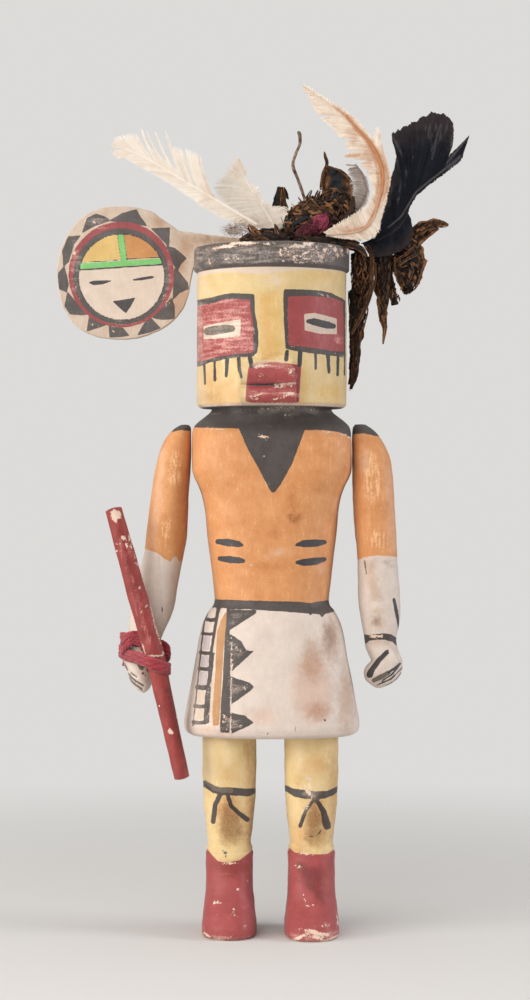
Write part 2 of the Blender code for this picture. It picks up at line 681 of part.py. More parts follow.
# Thin pieces that stand in the tangle
TUFT = ((16.0, -13.2, 331.6, 1.2, 1.2), (22.0, -13.8, 332.8, 2.4, 1.6), (27.4, -13.6, 335.8, 2.6, 1.6),
        (30.0, -12.4, 339.8, 1.0, 1.0))
TWIG = ((20.2, -5.4, 348.8), (18.3, -5.4, 351.6), (16.5, -5.6, 356.7), (14.2, -6.0, 363.5),
        (15.4, -6.0, 368.1), (17.4, -6.0, 376.0), (16.5, -6.0, 379.0))
TWIG_RADIUS = 0.8


def make_fibre(name, shapes, fibre):
    """Plant fibre as one body, joined from several overlapping shapes."""
    whole = solid(name, shapes[0], fibre)
    for number, shape in enumerate(shapes[1:]):
        combine(whole, helper(f"{name}_shape_{number}", shape, fibre), "UNION")
    return whole


def make_crest(finishes):
    """Fibre, tuft and twig on the crown."""
    shapes = [lump(*spec) for spec in CREST_LUMPS] + [strip(points) for points in CREST_STRIPS]
    crest = make_fibre("crest_fibre", shapes, finishes["fibre"])
    floor = block((-60.0, -60.0, 300.0), (80.0, 60.0, CROWN + GAP))
    combine(crest, helper("crown_clearance", floor, finishes["fibre"]), "DIFFERENCE")
    make_fibre("hanging_fibre", [strip(points) for points in HANGING_STRIPS], finishes["fibre"])
    solid("red_tuft", strip(TUFT, 6), finishes["red fibre"])
    twig = tube(curve(TWIG, 9), TWIG_RADIUS, TWIG_RADIUS, 5)
    solid("twig", twig, finishes["fibre"])


def main():
    clear_scene()
    finishes = {
        "paint": finish("painted wood", (0.62, 0.30, 0.10), 0.75),
        "board": finish("cream painted board", (0.72, 0.64, 0.52), 0.75),
        "red": finish("red paint", (0.32, 0.04, 0.05), 0.6),
        "yarn": finish("red yarn", (0.38, 0.02, 0.06), 0.9),
        "white": finish("white feather", (0.80, 0.76, 0.68), 0.6),
        "buff": finish("buff feather", (0.72, 0.50, 0.32), 0.6),
        "black": finish("black feather", (0.01, 0.011, 0.015), 0.45),
        "grey": finish("grey feather", (0.35, 0.33, 0.31), 0.6),
        "fibre": finish("dried plant fibre", (0.09, 0.035, 0.015), 0.8),
        "red fibre": finish("dyed red fibre", (0.30, 0.02, 0.08), 0.8),
    }
    make_body(finishes["paint"])
    make_arm("right_arm", RIGHT_ARM_SECTIONS, finishes["paint"])
    make_arm("left_arm", LEFT_ARM_SECTIONS, finishes["paint"])
    make_board(finishes["board"])
    make_stick(finishes["red"])
    make_yarn(finishes["yarn"])
    make_feathers(finishes)
    make_crest(finishes)


main()
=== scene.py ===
import math
from functools import partial

import bpy
import numpy as np
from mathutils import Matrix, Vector
from mathutils.geometry import delaunay_2d_cdt


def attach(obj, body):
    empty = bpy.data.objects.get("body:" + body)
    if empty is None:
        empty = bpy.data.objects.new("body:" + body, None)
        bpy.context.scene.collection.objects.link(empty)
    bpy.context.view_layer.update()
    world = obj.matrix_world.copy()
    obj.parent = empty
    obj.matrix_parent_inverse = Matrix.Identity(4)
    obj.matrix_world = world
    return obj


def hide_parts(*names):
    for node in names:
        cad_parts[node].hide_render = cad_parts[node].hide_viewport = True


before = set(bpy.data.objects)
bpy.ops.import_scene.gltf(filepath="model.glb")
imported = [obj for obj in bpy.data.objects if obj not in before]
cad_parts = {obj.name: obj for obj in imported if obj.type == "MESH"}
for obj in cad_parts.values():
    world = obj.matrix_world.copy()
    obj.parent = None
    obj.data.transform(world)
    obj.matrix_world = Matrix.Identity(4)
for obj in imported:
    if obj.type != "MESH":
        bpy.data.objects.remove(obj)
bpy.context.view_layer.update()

MM = 0.001
OUTSIDE = 99.0  # a distance that lies well outside any painted shape

# Camera: level, straight in front of the doll
PIXEL = 0.475  # millimetres across one pixel of the photograph, in the plane y = 0
EYE = (1.0, -1100.0, 205.0)
PHOTO_MIDDLE = (265.0, 500.0)

# The figure's heights and middle lines, as in the solids
CROWN = 324.3
RIM_FOOT = 313.3
CHIN = 248.6
SHOULDER = 239.5
WAIST = 157.5
HEM = 94.0
BOOT_TOP = 38.3
FIGURE_X = 4.2
FIGURE_Y = 2.0
MASK_HALF_WIDTH = 35.5
MASK_HALF_DEPTH = 36.0
MASK_POWER = 2.05
RIM_PROUD = 1.4
MASK_FRONT = FIGURE_Y - MASK_HALF_DEPTH
FORWARD = (0.0, -1.0, 0.0)  # towards the viewer
UPWARD = (0.0, 0.0, 1.0)


# Numbers into shapes


def linear(code):
    """An sRGB colour such as "f0c8a0" as linear red, green, blue and full cover."""
    values = np.array([int(code[at : at + 2], 16) for at in (0, 2, 4)]) / 255
    values = np.where(values <= 0.04045, values / 12.92, ((values + 0.055) / 1.055) ** 2.4)
    return (*values.tolist(), 1.0)


def glide(known, table, wanted):
    """Smooth curves through a table's columns that never swing past its values (monotone cubics)."""
    known, table, wanted = (np.asarray(part, float) for part in (known, table, wanted))
    step = np.diff(known)
    slope = np.diff(table, axis=0) / step[:, None]
    steep = np.zeros_like(table)
    low, high = slope[:-1], slope[1:]
    same = low * high > 0
    steep[1:-1] = np.where(same, 2 * low * high / np.where(same, low + high, 1.0), 0.0)
    steep[0], steep[-1] = slope[0], slope[-1]
    at = np.clip(np.searchsorted(known, wanted, "right") - 1, 0, len(known) - 2)
    t = np.clip((wanted - known[at]) / step[at], 0, 1)[:, None]
    reach = step[at][:, None]
    return (
        (2 * t**3 - 3 * t**2 + 1) * table[at]
        + (t**3 - 2 * t**2 + t) * reach * steep[at]
        + (3 * t**2 - 2 * t**3) * table[at + 1]
        + (t**3 - t**2) * reach * steep[at + 1]
    )


def waves(points, size, seed, count=5):
    """Gentle unevenness from -1 to 1: a sum of sine waves in seeded directions, about `size` mm long."""
    rng = np.random.default_rng(seed)
    total = np.zeros(np.shape(points)[:-1])
    for number in range(count):
        way = rng.normal(size=3)
        way *= rng.uniform(0.7, 1.6) / np.linalg.norm(way)
        total += np.sin(np.asarray(points) @ way * (math.tau / size) + rng.uniform(0, math.tau))
    return total / count**0.5 / 1.4


def unit(vectors, guard=0.0):
    """The vectors at length 1. The guard keeps one that has no length from dividing by zero."""
    return vectors / (np.linalg.norm(vectors, axis=-1, keepdims=True) + guard)


def between(ends, share):
    """What lies at a share of the way from the first end to the second."""
    return ends[0] + (ends[1] - ends[0]) * share


def lengths_along(points):
    """How far along a line each of its points lies, from 0."""
    return np.concatenate([[0], np.cumsum(np.linalg.norm(np.diff(points, axis=0), axis=1))])


def trace(points, count):
    """Evenly spaced rows on a smooth line through given points."""
    points = np.asarray(points, float)
    length = lengths_along(points[:, :3])
    return glide(length, points, np.linspace(0, length[-1], count))


def directions(line, face, guard=0.0):
    """Unit vectors at each point of a line: along it, across it and out towards the face direction."""
    along = unit(np.gradient(line, axis=0))
    across = unit(np.cross(along, face), guard)
    return along, across, np.cross(across, along)


def ring_points(heights, left, right, front, back, power, turns):
    """Level sections as rounded rectangles (superellipses) between four edges, one row for each height."""
    cos, sin = np.cos(turns)[None, :], np.sin(turns)[None, :]
    bend = 2 / np.asarray(power, float)[:, None]
    across = np.sign(cos) * np.abs(cos) ** bend
    along = np.sign(sin) * np.abs(sin) ** bend
    left, right, front, back = (np.asarray(edge, float)[:, None] for edge in (left, right, front, back))
    x = (left + right) / 2 + across * (right - left) / 2
    y = (front + back) / 2 + along * (back - front) / 2
    z = np.broadcast_to(np.asarray(heights, float)[:, None], x.shape)
    return np.stack([x, y, z], axis=2)


def front_turns(count, crowd):
    """Angles round a section, anticlockwise, crowded towards the front by the share `crowd`."""
    even = np.arange(count) * math.tau / count
    return even - crowd * np.sin(even) - math.pi / 2


def quads(rows, columns):
    """Four-cornered faces of a grid whose rows run upwards and whose columns run anticlockwise, all round."""
    row, column = np.meshgrid(np.arange(rows - 1), np.arange(columns), indexing="ij")
    after = (column + 1) % columns
    corners = [row * columns + column, row * columns + after]
    corners += [(row + 1) * columns + after, (row + 1) * columns + column]
    return np.stack(corners, axis=2).reshape(-1, 4)


def shell(points):
    """A closed body from a grid of rings: its points, its quads and its two end faces."""
    rows, columns = points.shape[:2]
    ends = [list(range(columns))[::-1], [(rows - 1) * columns + side for side in range(columns)]]
    return points.reshape(-1, 3), quads(rows, columns).tolist() + ends


def bundle(paths, half_wide, half_thick, face, sides=4):
    """Many closed slivers at once. Each runs along its path as a row of flat ovals with `sides` corners,
    `half_wide` to both sides and `half_thick` towards the face direction."""
    paths = np.asarray(paths, float)
    count, length = paths.shape[:2]
    along = unit(np.gradient(paths, axis=1), guard=1e-9)
    across = unit(np.cross(along, face), guard=1e-9)
    outward = np.cross(across, along)
    turn = (np.arange(sides) + 0.5) * math.tau / sides
    wide = np.broadcast_to(half_wide, (count, length))[..., None, None] * np.cos(turn)[:, None]
    thick = np.broadcast_to(half_thick, (count, length))[..., None, None] * np.sin(turn)[:, None]
    points = paths[:, :, None] + wide * across[:, :, None] + thick * outward[:, :, None]
    starts = np.arange(count)[:, None, None] * length * sides
    body = (quads(length, sides)[None] + starts).reshape(-1, 4)
    first = starts[:, 0] + np.arange(sides)[::-1]
    last = starts[:, 0] + (length - 1) * sides + np.arange(sides)
    return points.reshape(-1, 3), body.tolist() + first.tolist() + last.tolist()


def per_ring(values, sides=4):
    """Repeats one number for each ring of a bundle on every corner of that ring."""
    return np.repeat(np.asarray(values, float).reshape(-1), sides)


def joined(parts):
    """Several (points, faces, fields) shapes as one, with missing fields filled with OUTSIDE."""
    names = sorted({name for _, _, fields in parts for name in fields})
    start = 0
    all_points, all_faces, all_fields = [], [], {name: [] for name in names}
    for points, faces, fields in parts:
        all_points.append(points)
        all_faces += [[corner + start for corner in face] for face in faces]
        for name in names:
            all_fields[name].append(fields.get(name, np.full(len(points), OUTSIDE)))
        start += len(points)
    merged = {name: np.concatenate(values) for name, values in all_fields.items()}
    return np.concatenate(all_points), all_faces, merged


def placed(name, data):
    """A new object in the scene."""
    made = bpy.data.objects.new(name, data)
    bpy.context.scene.collection.objects.link(made)
    return made


def piece(name, shape, finish, node_name, sharp=50.0):
    points, faces, fields = shape
    mesh = bpy.data.meshes.new(name)
    mesh.from_pydata((np.asarray(points) * MM).tolist(), [], faces)
    for field, values in fields.items():
        layer = mesh.attributes.new(field, "FLOAT", "POINT")
        layer.data.foreach_set("value", np.asarray(values, np.float32))
    mesh.shade_smooth()
    mesh.set_sharp_from_angle(angle=math.radians(sharp))
    mesh.materials.append(finish)
    made = placed(name, mesh)
    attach(made, "root")
    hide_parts(node_name)


# Painted shapes. Their outlines are given where they lie in the photograph, in its pixels, and
# each becomes a distance in millimetres from the shape's edge, below zero inside it.


def seen(points):
    """Where points in millimetres lie in the photograph, across and down, in pixels."""
    scale = -EYE[1] / (points[:, 1] - EYE[1]) / PIXEL
    across = PHOTO_MIDDLE[0] + (points[:, 0] - EYE[0]) * scale
    down = PHOTO_MIDDLE[1] - (points[:, 2] - EYE[2]) * scale
    return np.stack([across, down], axis=1)


def near(spots, corners, margin=8.0):
    """Which spots lie in the corners' rectangle, grown by a margin."""
    corners = np.asarray(corners, float)[:, :2]
    return ((spots > corners.min(0) - margin) & (spots < corners.max(0) + margin)).all(1)


def patch(spots, corners):
    """Distance from a filled outline with straight sides: the nearest side's, below zero inside."""
    result = np.full(len(spots), OUTSIDE)
    close = near(spots, corners)
    here = spots[close]
    corners = np.asarray(corners, float)
    nearest = np.full(len(here), 1e9)
    inside = np.zeros(len(here), bool)
    for a, b in zip(corners, np.roll(corners, -1, axis=0)):
        side = b - a
        share = np.clip((here - a) @ side / (side @ side + 1e-12), 0, 1)
        nearest = np.minimum(nearest, np.linalg.norm(here - a - share[:, None] * side, axis=1))
        between = (a[1] > here[:, 1]) != (b[1] > here[:, 1])
        rise = b[1] - a[1] if b[1] != a[1] else 1e-12
        inside ^= between & (here[:, 0] < (here[:, 1] - a[1]) * side[0] / rise + a[0])
    result[close] = np.where(inside, -nearest, nearest) * PIXEL
    return result


def stroke(spots, points):
    """Distance from a brush stroke through (across, down, width) points."""
    result = np.full(len(spots), OUTSIDE)
    close = near(spots, points, 14.0)
    here = spots[close]
    nearest = np.full(len(here), 1e9)
    for a, b in zip(points[:-1], points[1:]):
        start, side = np.array(a[:2]), np.array(b[:2], float) - a[:2]
        share = np.clip((here - start) @ side / (side @ side + 1e-12), 0, 1)
        width = a[2] + (b[2] - a[2]) * share
        reach = np.linalg.norm(here - start - share[:, None] * side, axis=1) - width / 2
        nearest = np.minimum(nearest, reach)
    result[close] = nearest * PIXEL
    return result


def blot(spots, across, down, half_wide, half_tall):
    """Distance from an oval spot."""
    share = np.hypot((spots[:, 0] - across) / half_wide, (spots[:, 1] - down) / half_tall)
    return (share - 1) * min(half_wide, half_tall) * PIXEL


def drawn(spots, marks):
    """Distance from the nearest of several marks: four numbers are a blot (across, down, half wide, half
    tall), rows of three a stroke (across, down, width) and rows of two a filled outline."""
    result = np.full(len(spots), OUTSIDE)
    for numbers in marks:
        numbers = np.array(numbers, float)
        if numbers.ndim == 1:
            found = blot(spots, *numbers)
        elif numbers.shape[1] == 3:
            found = stroke(spots, numbers)
        else:
            found = patch(spots, numbers)
        result = np.minimum(result, found)
    return result


def below(spots, line):
    """How far a spot lies above a line drawn across the figure, so below zero under the line."""
    line = np.asarray(line, float)
    return (np.interp(spots[:, 0], line[:, 0], line[:, 1]) - spots[:, 1]) * PIXEL


def either(*distances):
    """Joins painted shapes: the nearest counts."""
    return np.minimum.reduce(distances)


def both(*distances):
    """Only where all the shapes overlap."""
    return np.maximum.reduce(distances)


def mirrored(points, middle):
    """Where points lie in the photograph and whether they lie in front of the middle, a depth. Those
    behind it take the spots of their mirror places."""
    folded = points.copy()
    folded[:, 1] = middle - np.abs(points[:, 1] - middle)
    return seen(folded), points[:, 1] < middle + 1


def add_marks(fields, spots, here, table):
    """Adds a table of marks to the coats' distances, where `here` is true."""
    for coat, marks in table.items():
        found = np.where(here, drawn(spots, marks), OUTSIDE)
        fields[coat] = np.minimum(fields.get(coat, OUTSIDE), found)


# Finishes

ADDED = {"operation": "MULTIPLY_ADD"}  # first input times the second, plus the third
SMOOTH = {"interpolation_type": "SMOOTHSTEP"}
COLOURS = {"data_type": "RGBA", "out": 2}
EVEN = (1.0, 1.0, 1.0)


def node(tree, kind, sockets=None, out=0, **settings):
    """Adds a shader node with its settings, values and links, and gives one of its outputs."""
    made = tree.nodes.new("ShaderNode" + kind)
    for name, value in settings.items():
        setattr(made, name, value)
    for name, value in (sockets or {}).items():
        if isinstance(value, bpy.types.NodeSocket):
            tree.links.new(value, made.inputs[name])
        else:
            made.inputs[name].default_value = value
    return made.outputs[out]


def new_finish(name, roughness, specular, grains=()):
    """A material with what stays the same all over it. Gives the material, its shader, a function that
    adds nodes to it, and its grains: each an unevenness about 0, mostly from -0.5 to 0.5, in patches of a
    size in millimetres, with a detail and a squeeze along x, y and z."""
    made = bpy.data.materials.new(name)
    made.use_nodes = True
    shader = made.node_tree.nodes["Principled BSDF"]
    shader.inputs["Roughness"].default_value = roughness
    shader.inputs["Specular IOR Level"].default_value = specular
    add = partial(node, made.node_tree)
    place = add("TexCoord", out=3)
    grain = {}
    for label, size, detail, squeeze in grains:
        moved = add("Mapping", {"Vector": place, "Scale": squeeze})
        pattern = {"Scale": 1 / (size * MM), "Detail": detail, "Roughness": 0.55}
        noise = add("TexNoise", {"Vector": moved, **pattern})
        spread = {"Value": noise, "From Min": 0.27, "From Max": 0.73, "To Min": -0.5, "To Max": 0.5}
        grain[label] = add("MapRange", spread, clamp=False)
    return made, shader, add, grain


# Coats of paint from the bottom up. Each: the distance it follows, its light, dark and rubbed tones, how
# ragged and how soft its edge is in millimetres, how bare it is rubbed, how thick it is, and its brushing.
FIGURE_COATS = (
    ("orange", "d99c68", "c4824c", "ecb98c", 0.15, 0.15, 0.17, 0.03, "upright"),
    ("yellow", "dcc493", "cdb079", "ecd9b0", 0.20, 0.15, 0.10, 0.03, "upright"),
    # The ochre coat is the nose strip's paint, and also painted shadow beside the raised mouth
    ("ochre", "dcbb7e", "ceaa66", "e4c892", 1.60, 2.40, 0.30, 0.00, "upright"),
    ("cream", "dacdc1", "c9bab0", "e6dbd0", 0.15, 0.15, 0.05, 0.03, "upright"),
    ("lavender", "bfb5b6", "aea3a2", "cfc4bf", 0.15, 0.20, 0.10, 0.01, "upright"),
    ("charcoal", "514a47", "3e3835", "8d837b", 0.20, 0.12, 0.03, 0.03, "level"),
    ("worn", "5f5753", "4a4441", "9a8f88", 0.20, 0.12, 0.09, 0.03, "level"),
    ("red", "a54a4b", "8e3d3c", "cf948a", 0.14, 0.12, 0.07, 0.03, "level"),
    ("white", "d2c0af", "c4ae9c", "e2d3c4", 0.14, 0.12, 0.08, 0.03, "level"),
    ("stripe", "ba8c60", "aa7949", "d0ac84", 0.12, 0.12, 0.12, 0.02, "upright"),
    ("slate", "73695f", "5e544c", "978b80", 0.14, 0.15, 0.12, 0.01, "level"),
    ("ink", "444042", "343133", "6e6763", 0.16, 0.10, 0.06, 0.02, "upright"),
)
FIGURE_STAINS = (
    # distance, tone, strength, softness in millimetres, how it mixes with what is below
    # Tan wash: mostly real stains, and also painted shade down the shaded sides of the legs and the right
    # arm, over the left boot's upper part and under the left wrist band
    ("tan", "cfa57e", 0.50, 2.6, "MULTIPLY"),
    ("blush", "f0b48e", 0.32, 3.4, "MULTIPLY"),
    # Dark wash: real stains, and painted shade down the shaded right side of a leg and of the stick and over
    # the right boot's upper part
    ("smoke", "94816f", 0.55, 2.2, "MULTIPLY"),
    # Pale wash: a few pale paint spots and worn places, and mostly painted highlight along sides that face
    # the light, with one painted glint
    ("haze", "eedccb", 0.22, 2.4, "MIX"),
    ("chalk", "d6c2ae", 0.80, 1.2, "MIX"),
)
GESSO_TONES = ("efe0d2", "cda58c")
SPECKS = "9a7858"


PAINT_GRAINS = (
    # name, size in millimetres, detail, squeeze along x, y and z
    ("upright", 1.1, 4.0, (1.0, 1.0, 0.16)),
    ("level", 1.5, 4.0, (0.14, 0.14, 1.0)),
    ("mottle", 7.0, 5.0, EVEN),
    ("speckle", 0.8, 5.0, EVEN),
    ("wander", 2.6, 3.0, EVEN),
    ("grit", 0.4, 3.0, EVEN),
)


def painted(name, ground, coats, stains):
    """Matt mineral paint brushed on soft carved wood over a pale gesso. It is slightly uneven in tone, with
    faint brush marks, hand-drawn edges, places rubbed thin, stains, small dark specks and flaked chips.
    Some of its stains are painted shade and painted highlight where sides turn from or towards the light."""
    made, shader, add, grain = new_finish(name, 0.60, 0.42, PAINT_GRAINS)
    shader.inputs["Sheen Weight"].default_value = 0.12
    shader.inputs["Sheen Roughness"].default_value = 0.5
    tone = 0.5
    for label, share in (("mottle", 0.75), ("speckle", 0.45), ("upright", 0.30)):
        tone = add("Math", {0: grain[label], 1: share, 2: tone}, **ADDED)
    colour = add("Mix", {0: tone, 6: linear(ground[1]), 7: linear(ground[0])}, **COLOURS)
    height = add("Math", {0: grain["upright"], 1: 0.03}, operation="MULTIPLY")
    uneven = add("Math", {0: grain["grit"], 1: 0.5, 2: grain["wander"]}, **ADDED)
    worn = add("Math", {0: grain["speckle"], 1: 0.6}, operation="MULTIPLY")
    worn = add("Math", {0: grain["mottle"], 1: 0.35, 2: worn}, **ADDED)
    rub = add("Attribute", out=2, attribute_name="rub")
    rubbed_to = {"From Min": 1.5, "From Max": -2.5, "To Min": 0.0, "To Max": 0.58}
    rub = add("MapRange", {"Value": rub, **rubbed_to}, **SMOOTH)
    # Each coat covers what is below inside its ragged edge, and shows its rubbed tone where it is worn
    for distance, light, dark, rubbed, ragged, soft, bare, thick, brushing in coats:
        edge = add("Attribute", out=2, attribute_name=distance)
        edge = add("Math", {0: uneven, 1: ragged * 1.5, 2: edge}, **ADDED)
        cover = add("MapRange", {"Value": edge, "From Min": soft, "From Max": -soft}, **SMOOTH)
        bared = add("Math", {0: grain[brushing], 1: 1.0, 2: worn}, **ADDED)
        bared = add("Math", {0: bared, 1: rub}, operation="ADD")
        bared_to = {"From Min": 0.42 - bare, "From Max": 1.15 - bare}
        bared = add("MapRange", {"Value": bared, **bared_to}, **SMOOTH)
        paint = add("Mix", {0: tone, 6: linear(dark), 7: linear(light)}, **COLOURS)
        paint = add("Mix", {0: bared, 6: paint, 7: linear(rubbed)}, **COLOURS)
        colour = add("Mix", {0: cover, 6: colour, 7: paint}, **COLOURS)
        height = add("Math", {0: cover, 1: thick, 2: height}, **ADDED)
    # Stains, some of which are painted shade and painted highlight along the figure's sides
    for distance, tint, strength, soft, how in stains:
        edge = add("Attribute", out=2, attribute_name=distance)
        edge = add("Math", {0: uneven, 1: soft, 2: edge}, **ADDED)
        edge = add("Math", {0: grain["speckle"], 1: soft * 0.5, 2: edge}, **ADDED)
        amount = {"Value": edge, "From Min": soft, "From Max": -soft, "To Max": strength}
        amount = add("MapRange", amount, **SMOOTH)
        patchy = add("Math", {0: grain["speckle"], 1: 0.7, 2: 1.0}, **ADDED)
        amount = add("Math", {0: amount, 1: patchy}, operation="MULTIPLY")
        colour = add("Mix", {0: amount, 6: colour, 7: linear(tint)}, blend_type=how, **COLOURS)
    speck = add("Math", {0: grain["grit"], 1: 0.55, 2: grain["speckle"]}, **ADDED)
    speck = add("MapRange", {"Value": speck, "From Min": 0.50, "From Max": 0.66, "To Max": 0.45}, **SMOOTH)
    colour = add("Mix", {0: speck, 6: colour, 7: linear(SPECKS)}, blend_type="MULTIPLY", **COLOURS)
    # Flakes with broken edges, and scattered flecks that thicken towards the middle of their area
    chip = add("Attribute", out=2, attribute_name="gesso")
    for label, share in (("speckle", 1.3), ("wander", 0.6)):
        chip = add("Math", {0: grain[label], 1: share, 2: chip}, **ADDED)
    fleck = add("Attribute", out=2, attribute_name="flecks")
    fleck = add("Math", {0: fleck, 1: -1.1}, operation="MAXIMUM")
    fleck = add("Math", {0: fleck, 1: 0.22, 2: 0.42}, **ADDED)
    for label, share in (("speckle", 0.9), ("wander", 0.6), ("grit", 0.3)):
        fleck = add("Math", {0: grain[label], 1: share, 2: fleck}, **ADDED)
    flake = add("Math", {0: chip, 1: fleck}, operation="MINIMUM")
    flake = add("MapRange", {"Value": flake, "From Min": 0.09, "From Max": -0.09}, **SMOOTH)
    bare_tone = add("Mix", {0: tone, 6: linear(GESSO_TONES[1]), 7: linear(GESSO_TONES[0])}, **COLOURS)
    colour = add("Mix", {0: flake, 6: colour, 7: bare_tone}, **COLOURS)
    height = add("Math", {0: flake, 1: -0.10, 2: height}, **ADDED)
    for label, share in (("grit", 0.02), ("wander", 0.05)):
        height = add("Math", {0: grain[label], 1: share, 2: height}, **ADDED)
    join = made.node_tree.links.new
    join(colour, shader.inputs["Base Color"])
    join(add("MapRange", {"Value": tone, "To Min": 0.66, "To Max": 0.48}), shader.inputs["Roughness"])
    join(add("Bump", {"Height": height, "Distance": MM, "Strength": 1.0}), shader.inputs["Normal"])
    return made


PAINTED_WOOD = painted("painted_cottonwood", ("ddcbbb", "c9b3a2"), FIGURE_COATS, FIGURE_STAINS)


# The carved body

TRUNK_SECTIONS = (
    # height, half width, half depth, squareness
    (HEM, 38.6, 27.6, 2.3),
    (HEM + 1.6, 41.0, 30.2, 2.3),
    (HEM + 5.0, 41.7, 31.2, 2.3),
    (105.5, 40.7, 30.9, 2.3),
    (114.0, 39.1, 30.2, 2.3),
    (122.5, 37.5, 29.4, 2.3),
    (131.0, 35.9, 28.5, 2.3),
    (138.5, 34.7, 27.7, 2.3),
    (145.0, 33.2, 26.8, 2.3),
    (149.5, 31.4, 25.8, 2.3),
    (152.8, 29.5, 24.7, 2.3),
    (155.0, 27.7, 23.4, 2.3),
    (WAIST, 27.1, 22.8, 2.3),
    (166.0, 27.9, 23.0, 2.35),
    (176.5, 29.2, 23.4, 2.4),
    (190.8, 30.9, 24.2, 2.4),
    (199.3, 31.7, 24.8, 2.5),
    (206.5, 33.0, 25.1, 2.6),
    (211.5, 34.8, 25.2, 2.8),
    (216.0, 36.9, 25.2, 3.0),
    (219.5, 37.8, 25.1, 3.1),
    (229.0, 37.9, 24.4, 3.1),
    (236.5, 37.7, 22.8, 2.9),
    (SHOULDER, 37.0, 21.2, 2.8),
    (242.2, 34.6, 19.8, 2.6),
    (244.9, 31.2, 19.6, 2.4),
    (247.2, 28.8, 20.6, 2.2),
    (CHIN, 28.4, 21.4, 2.1),
)
LEG_SECTIONS = (
    # height, half width, reach in front and behind, squareness
    (0.0, 12.0, 22.6, 15.6, 2.5),
    (1.4, 13.0, 24.4, 16.6, 2.5),
    (5.0, 12.9, 24.2, 16.4, 2.5),
    (9.5, 12.4, 21.8, 15.6, 2.4),
    (14.5, 11.9, 17.8, 14.6, 2.3),
    (20.5, 11.3, 14.2, 13.6, 2.2),
    (28.0, 11.1, 12.4, 12.6, 2.2),
    (35.0, 11.2, 11.8, 12.0, 2.2),
    (BOOT_TOP - 0.6, 11.3, 11.6, 11.8, 2.2),
    (BOOT_TOP, 11.1, 11.4, 11.6, 2.2),
    (BOOT_TOP + 0.6, 10.8, 11.0, 11.3, 2.2),
    (BOOT_TOP + 1.6, 10.9, 10.8, 11.2, 2.2),
    (BOOT_TOP + 4.2, 10.1, 10.2, 10.4, 2.2),
    (46.5, 10.6, 10.9, 11.2, 2.2),
    (52.0, 11.2, 11.8, 12.2, 2.2),
    (59.5, 12.0, 12.6, 13.0, 2.2),
    (68.0, 12.5, 13.0, 13.4, 2.2),
    (80.0, 12.8, 13.2, 13.4, 2.2),
    (HEM + 5.0, 12.8, 13.2, 13.4, 2.2),
)
LEGS = ((-15.9, 0.0), (23.0, 3.4))  # middle line, how much further the toe reaches
LEG_RINGS = (
    # from, to, and the step between rings
    (0.0, 2.0, 0.3),
    (2.0, BOOT_TOP - 1, 0.62),
    (BOOT_TOP - 1, BOOT_TOP + 2.4, 0.3),
    (BOOT_TOP + 2.4, HEM + 5.0, 0.75),
)
TOE_FULL, TOE_GONE = 4.0, 16.0  # heights between which the longer toe ends
MOUTH_X = 1.9
MOUTH_SECTIONS = (
    # height, half width, how far the lips stand out
    (CHIN + 0.2, 12.0, 0.0),
    (CHIN + 0.7, 12.2, 2.6),
    (CHIN + 1.6, 12.9, 4.2),
    (CHIN + 4.2, 13.2, 5.2),
    (CHIN + 7.2, 13.2, 4.8),
    (CHIN + 8.5, 13.1, 3.2),
    (CHIN + 9.2, 13.1, 3.0),
    (CHIN + 10.4, 13.0, 4.7),
    (CHIN + 14.0, 12.8, 5.5),
    (CHIN + 17.0, 12.4, 4.6),
    (CHIN + 18.4, 12.0, 2.9),
    (CHIN + 20.6, 12.4, 2.1),
    (CHIN + 22.6, 11.6, 0.0),
)
MOUTH_SOFT = 0.7  # millimetres over which the mouth ends at its two sides
TRUNK_COLUMNS = 216
LEG_COLUMNS = 72
FINE_STEP, CHEST_STEP = 0.56, 1.15  # millimetres between rings
FOOT_ROUND = 2.2  # radius of the mask's lower edge
CROWN_SHARES = (0.985, 0.9, 0.75, 0.55, 0.35, 0.15, 0.02)
HEM_SHARES = (0.03, 0.3, 0.6, 0.93)
SOLE_SHARES = (0.02, 0.5, 0.94)


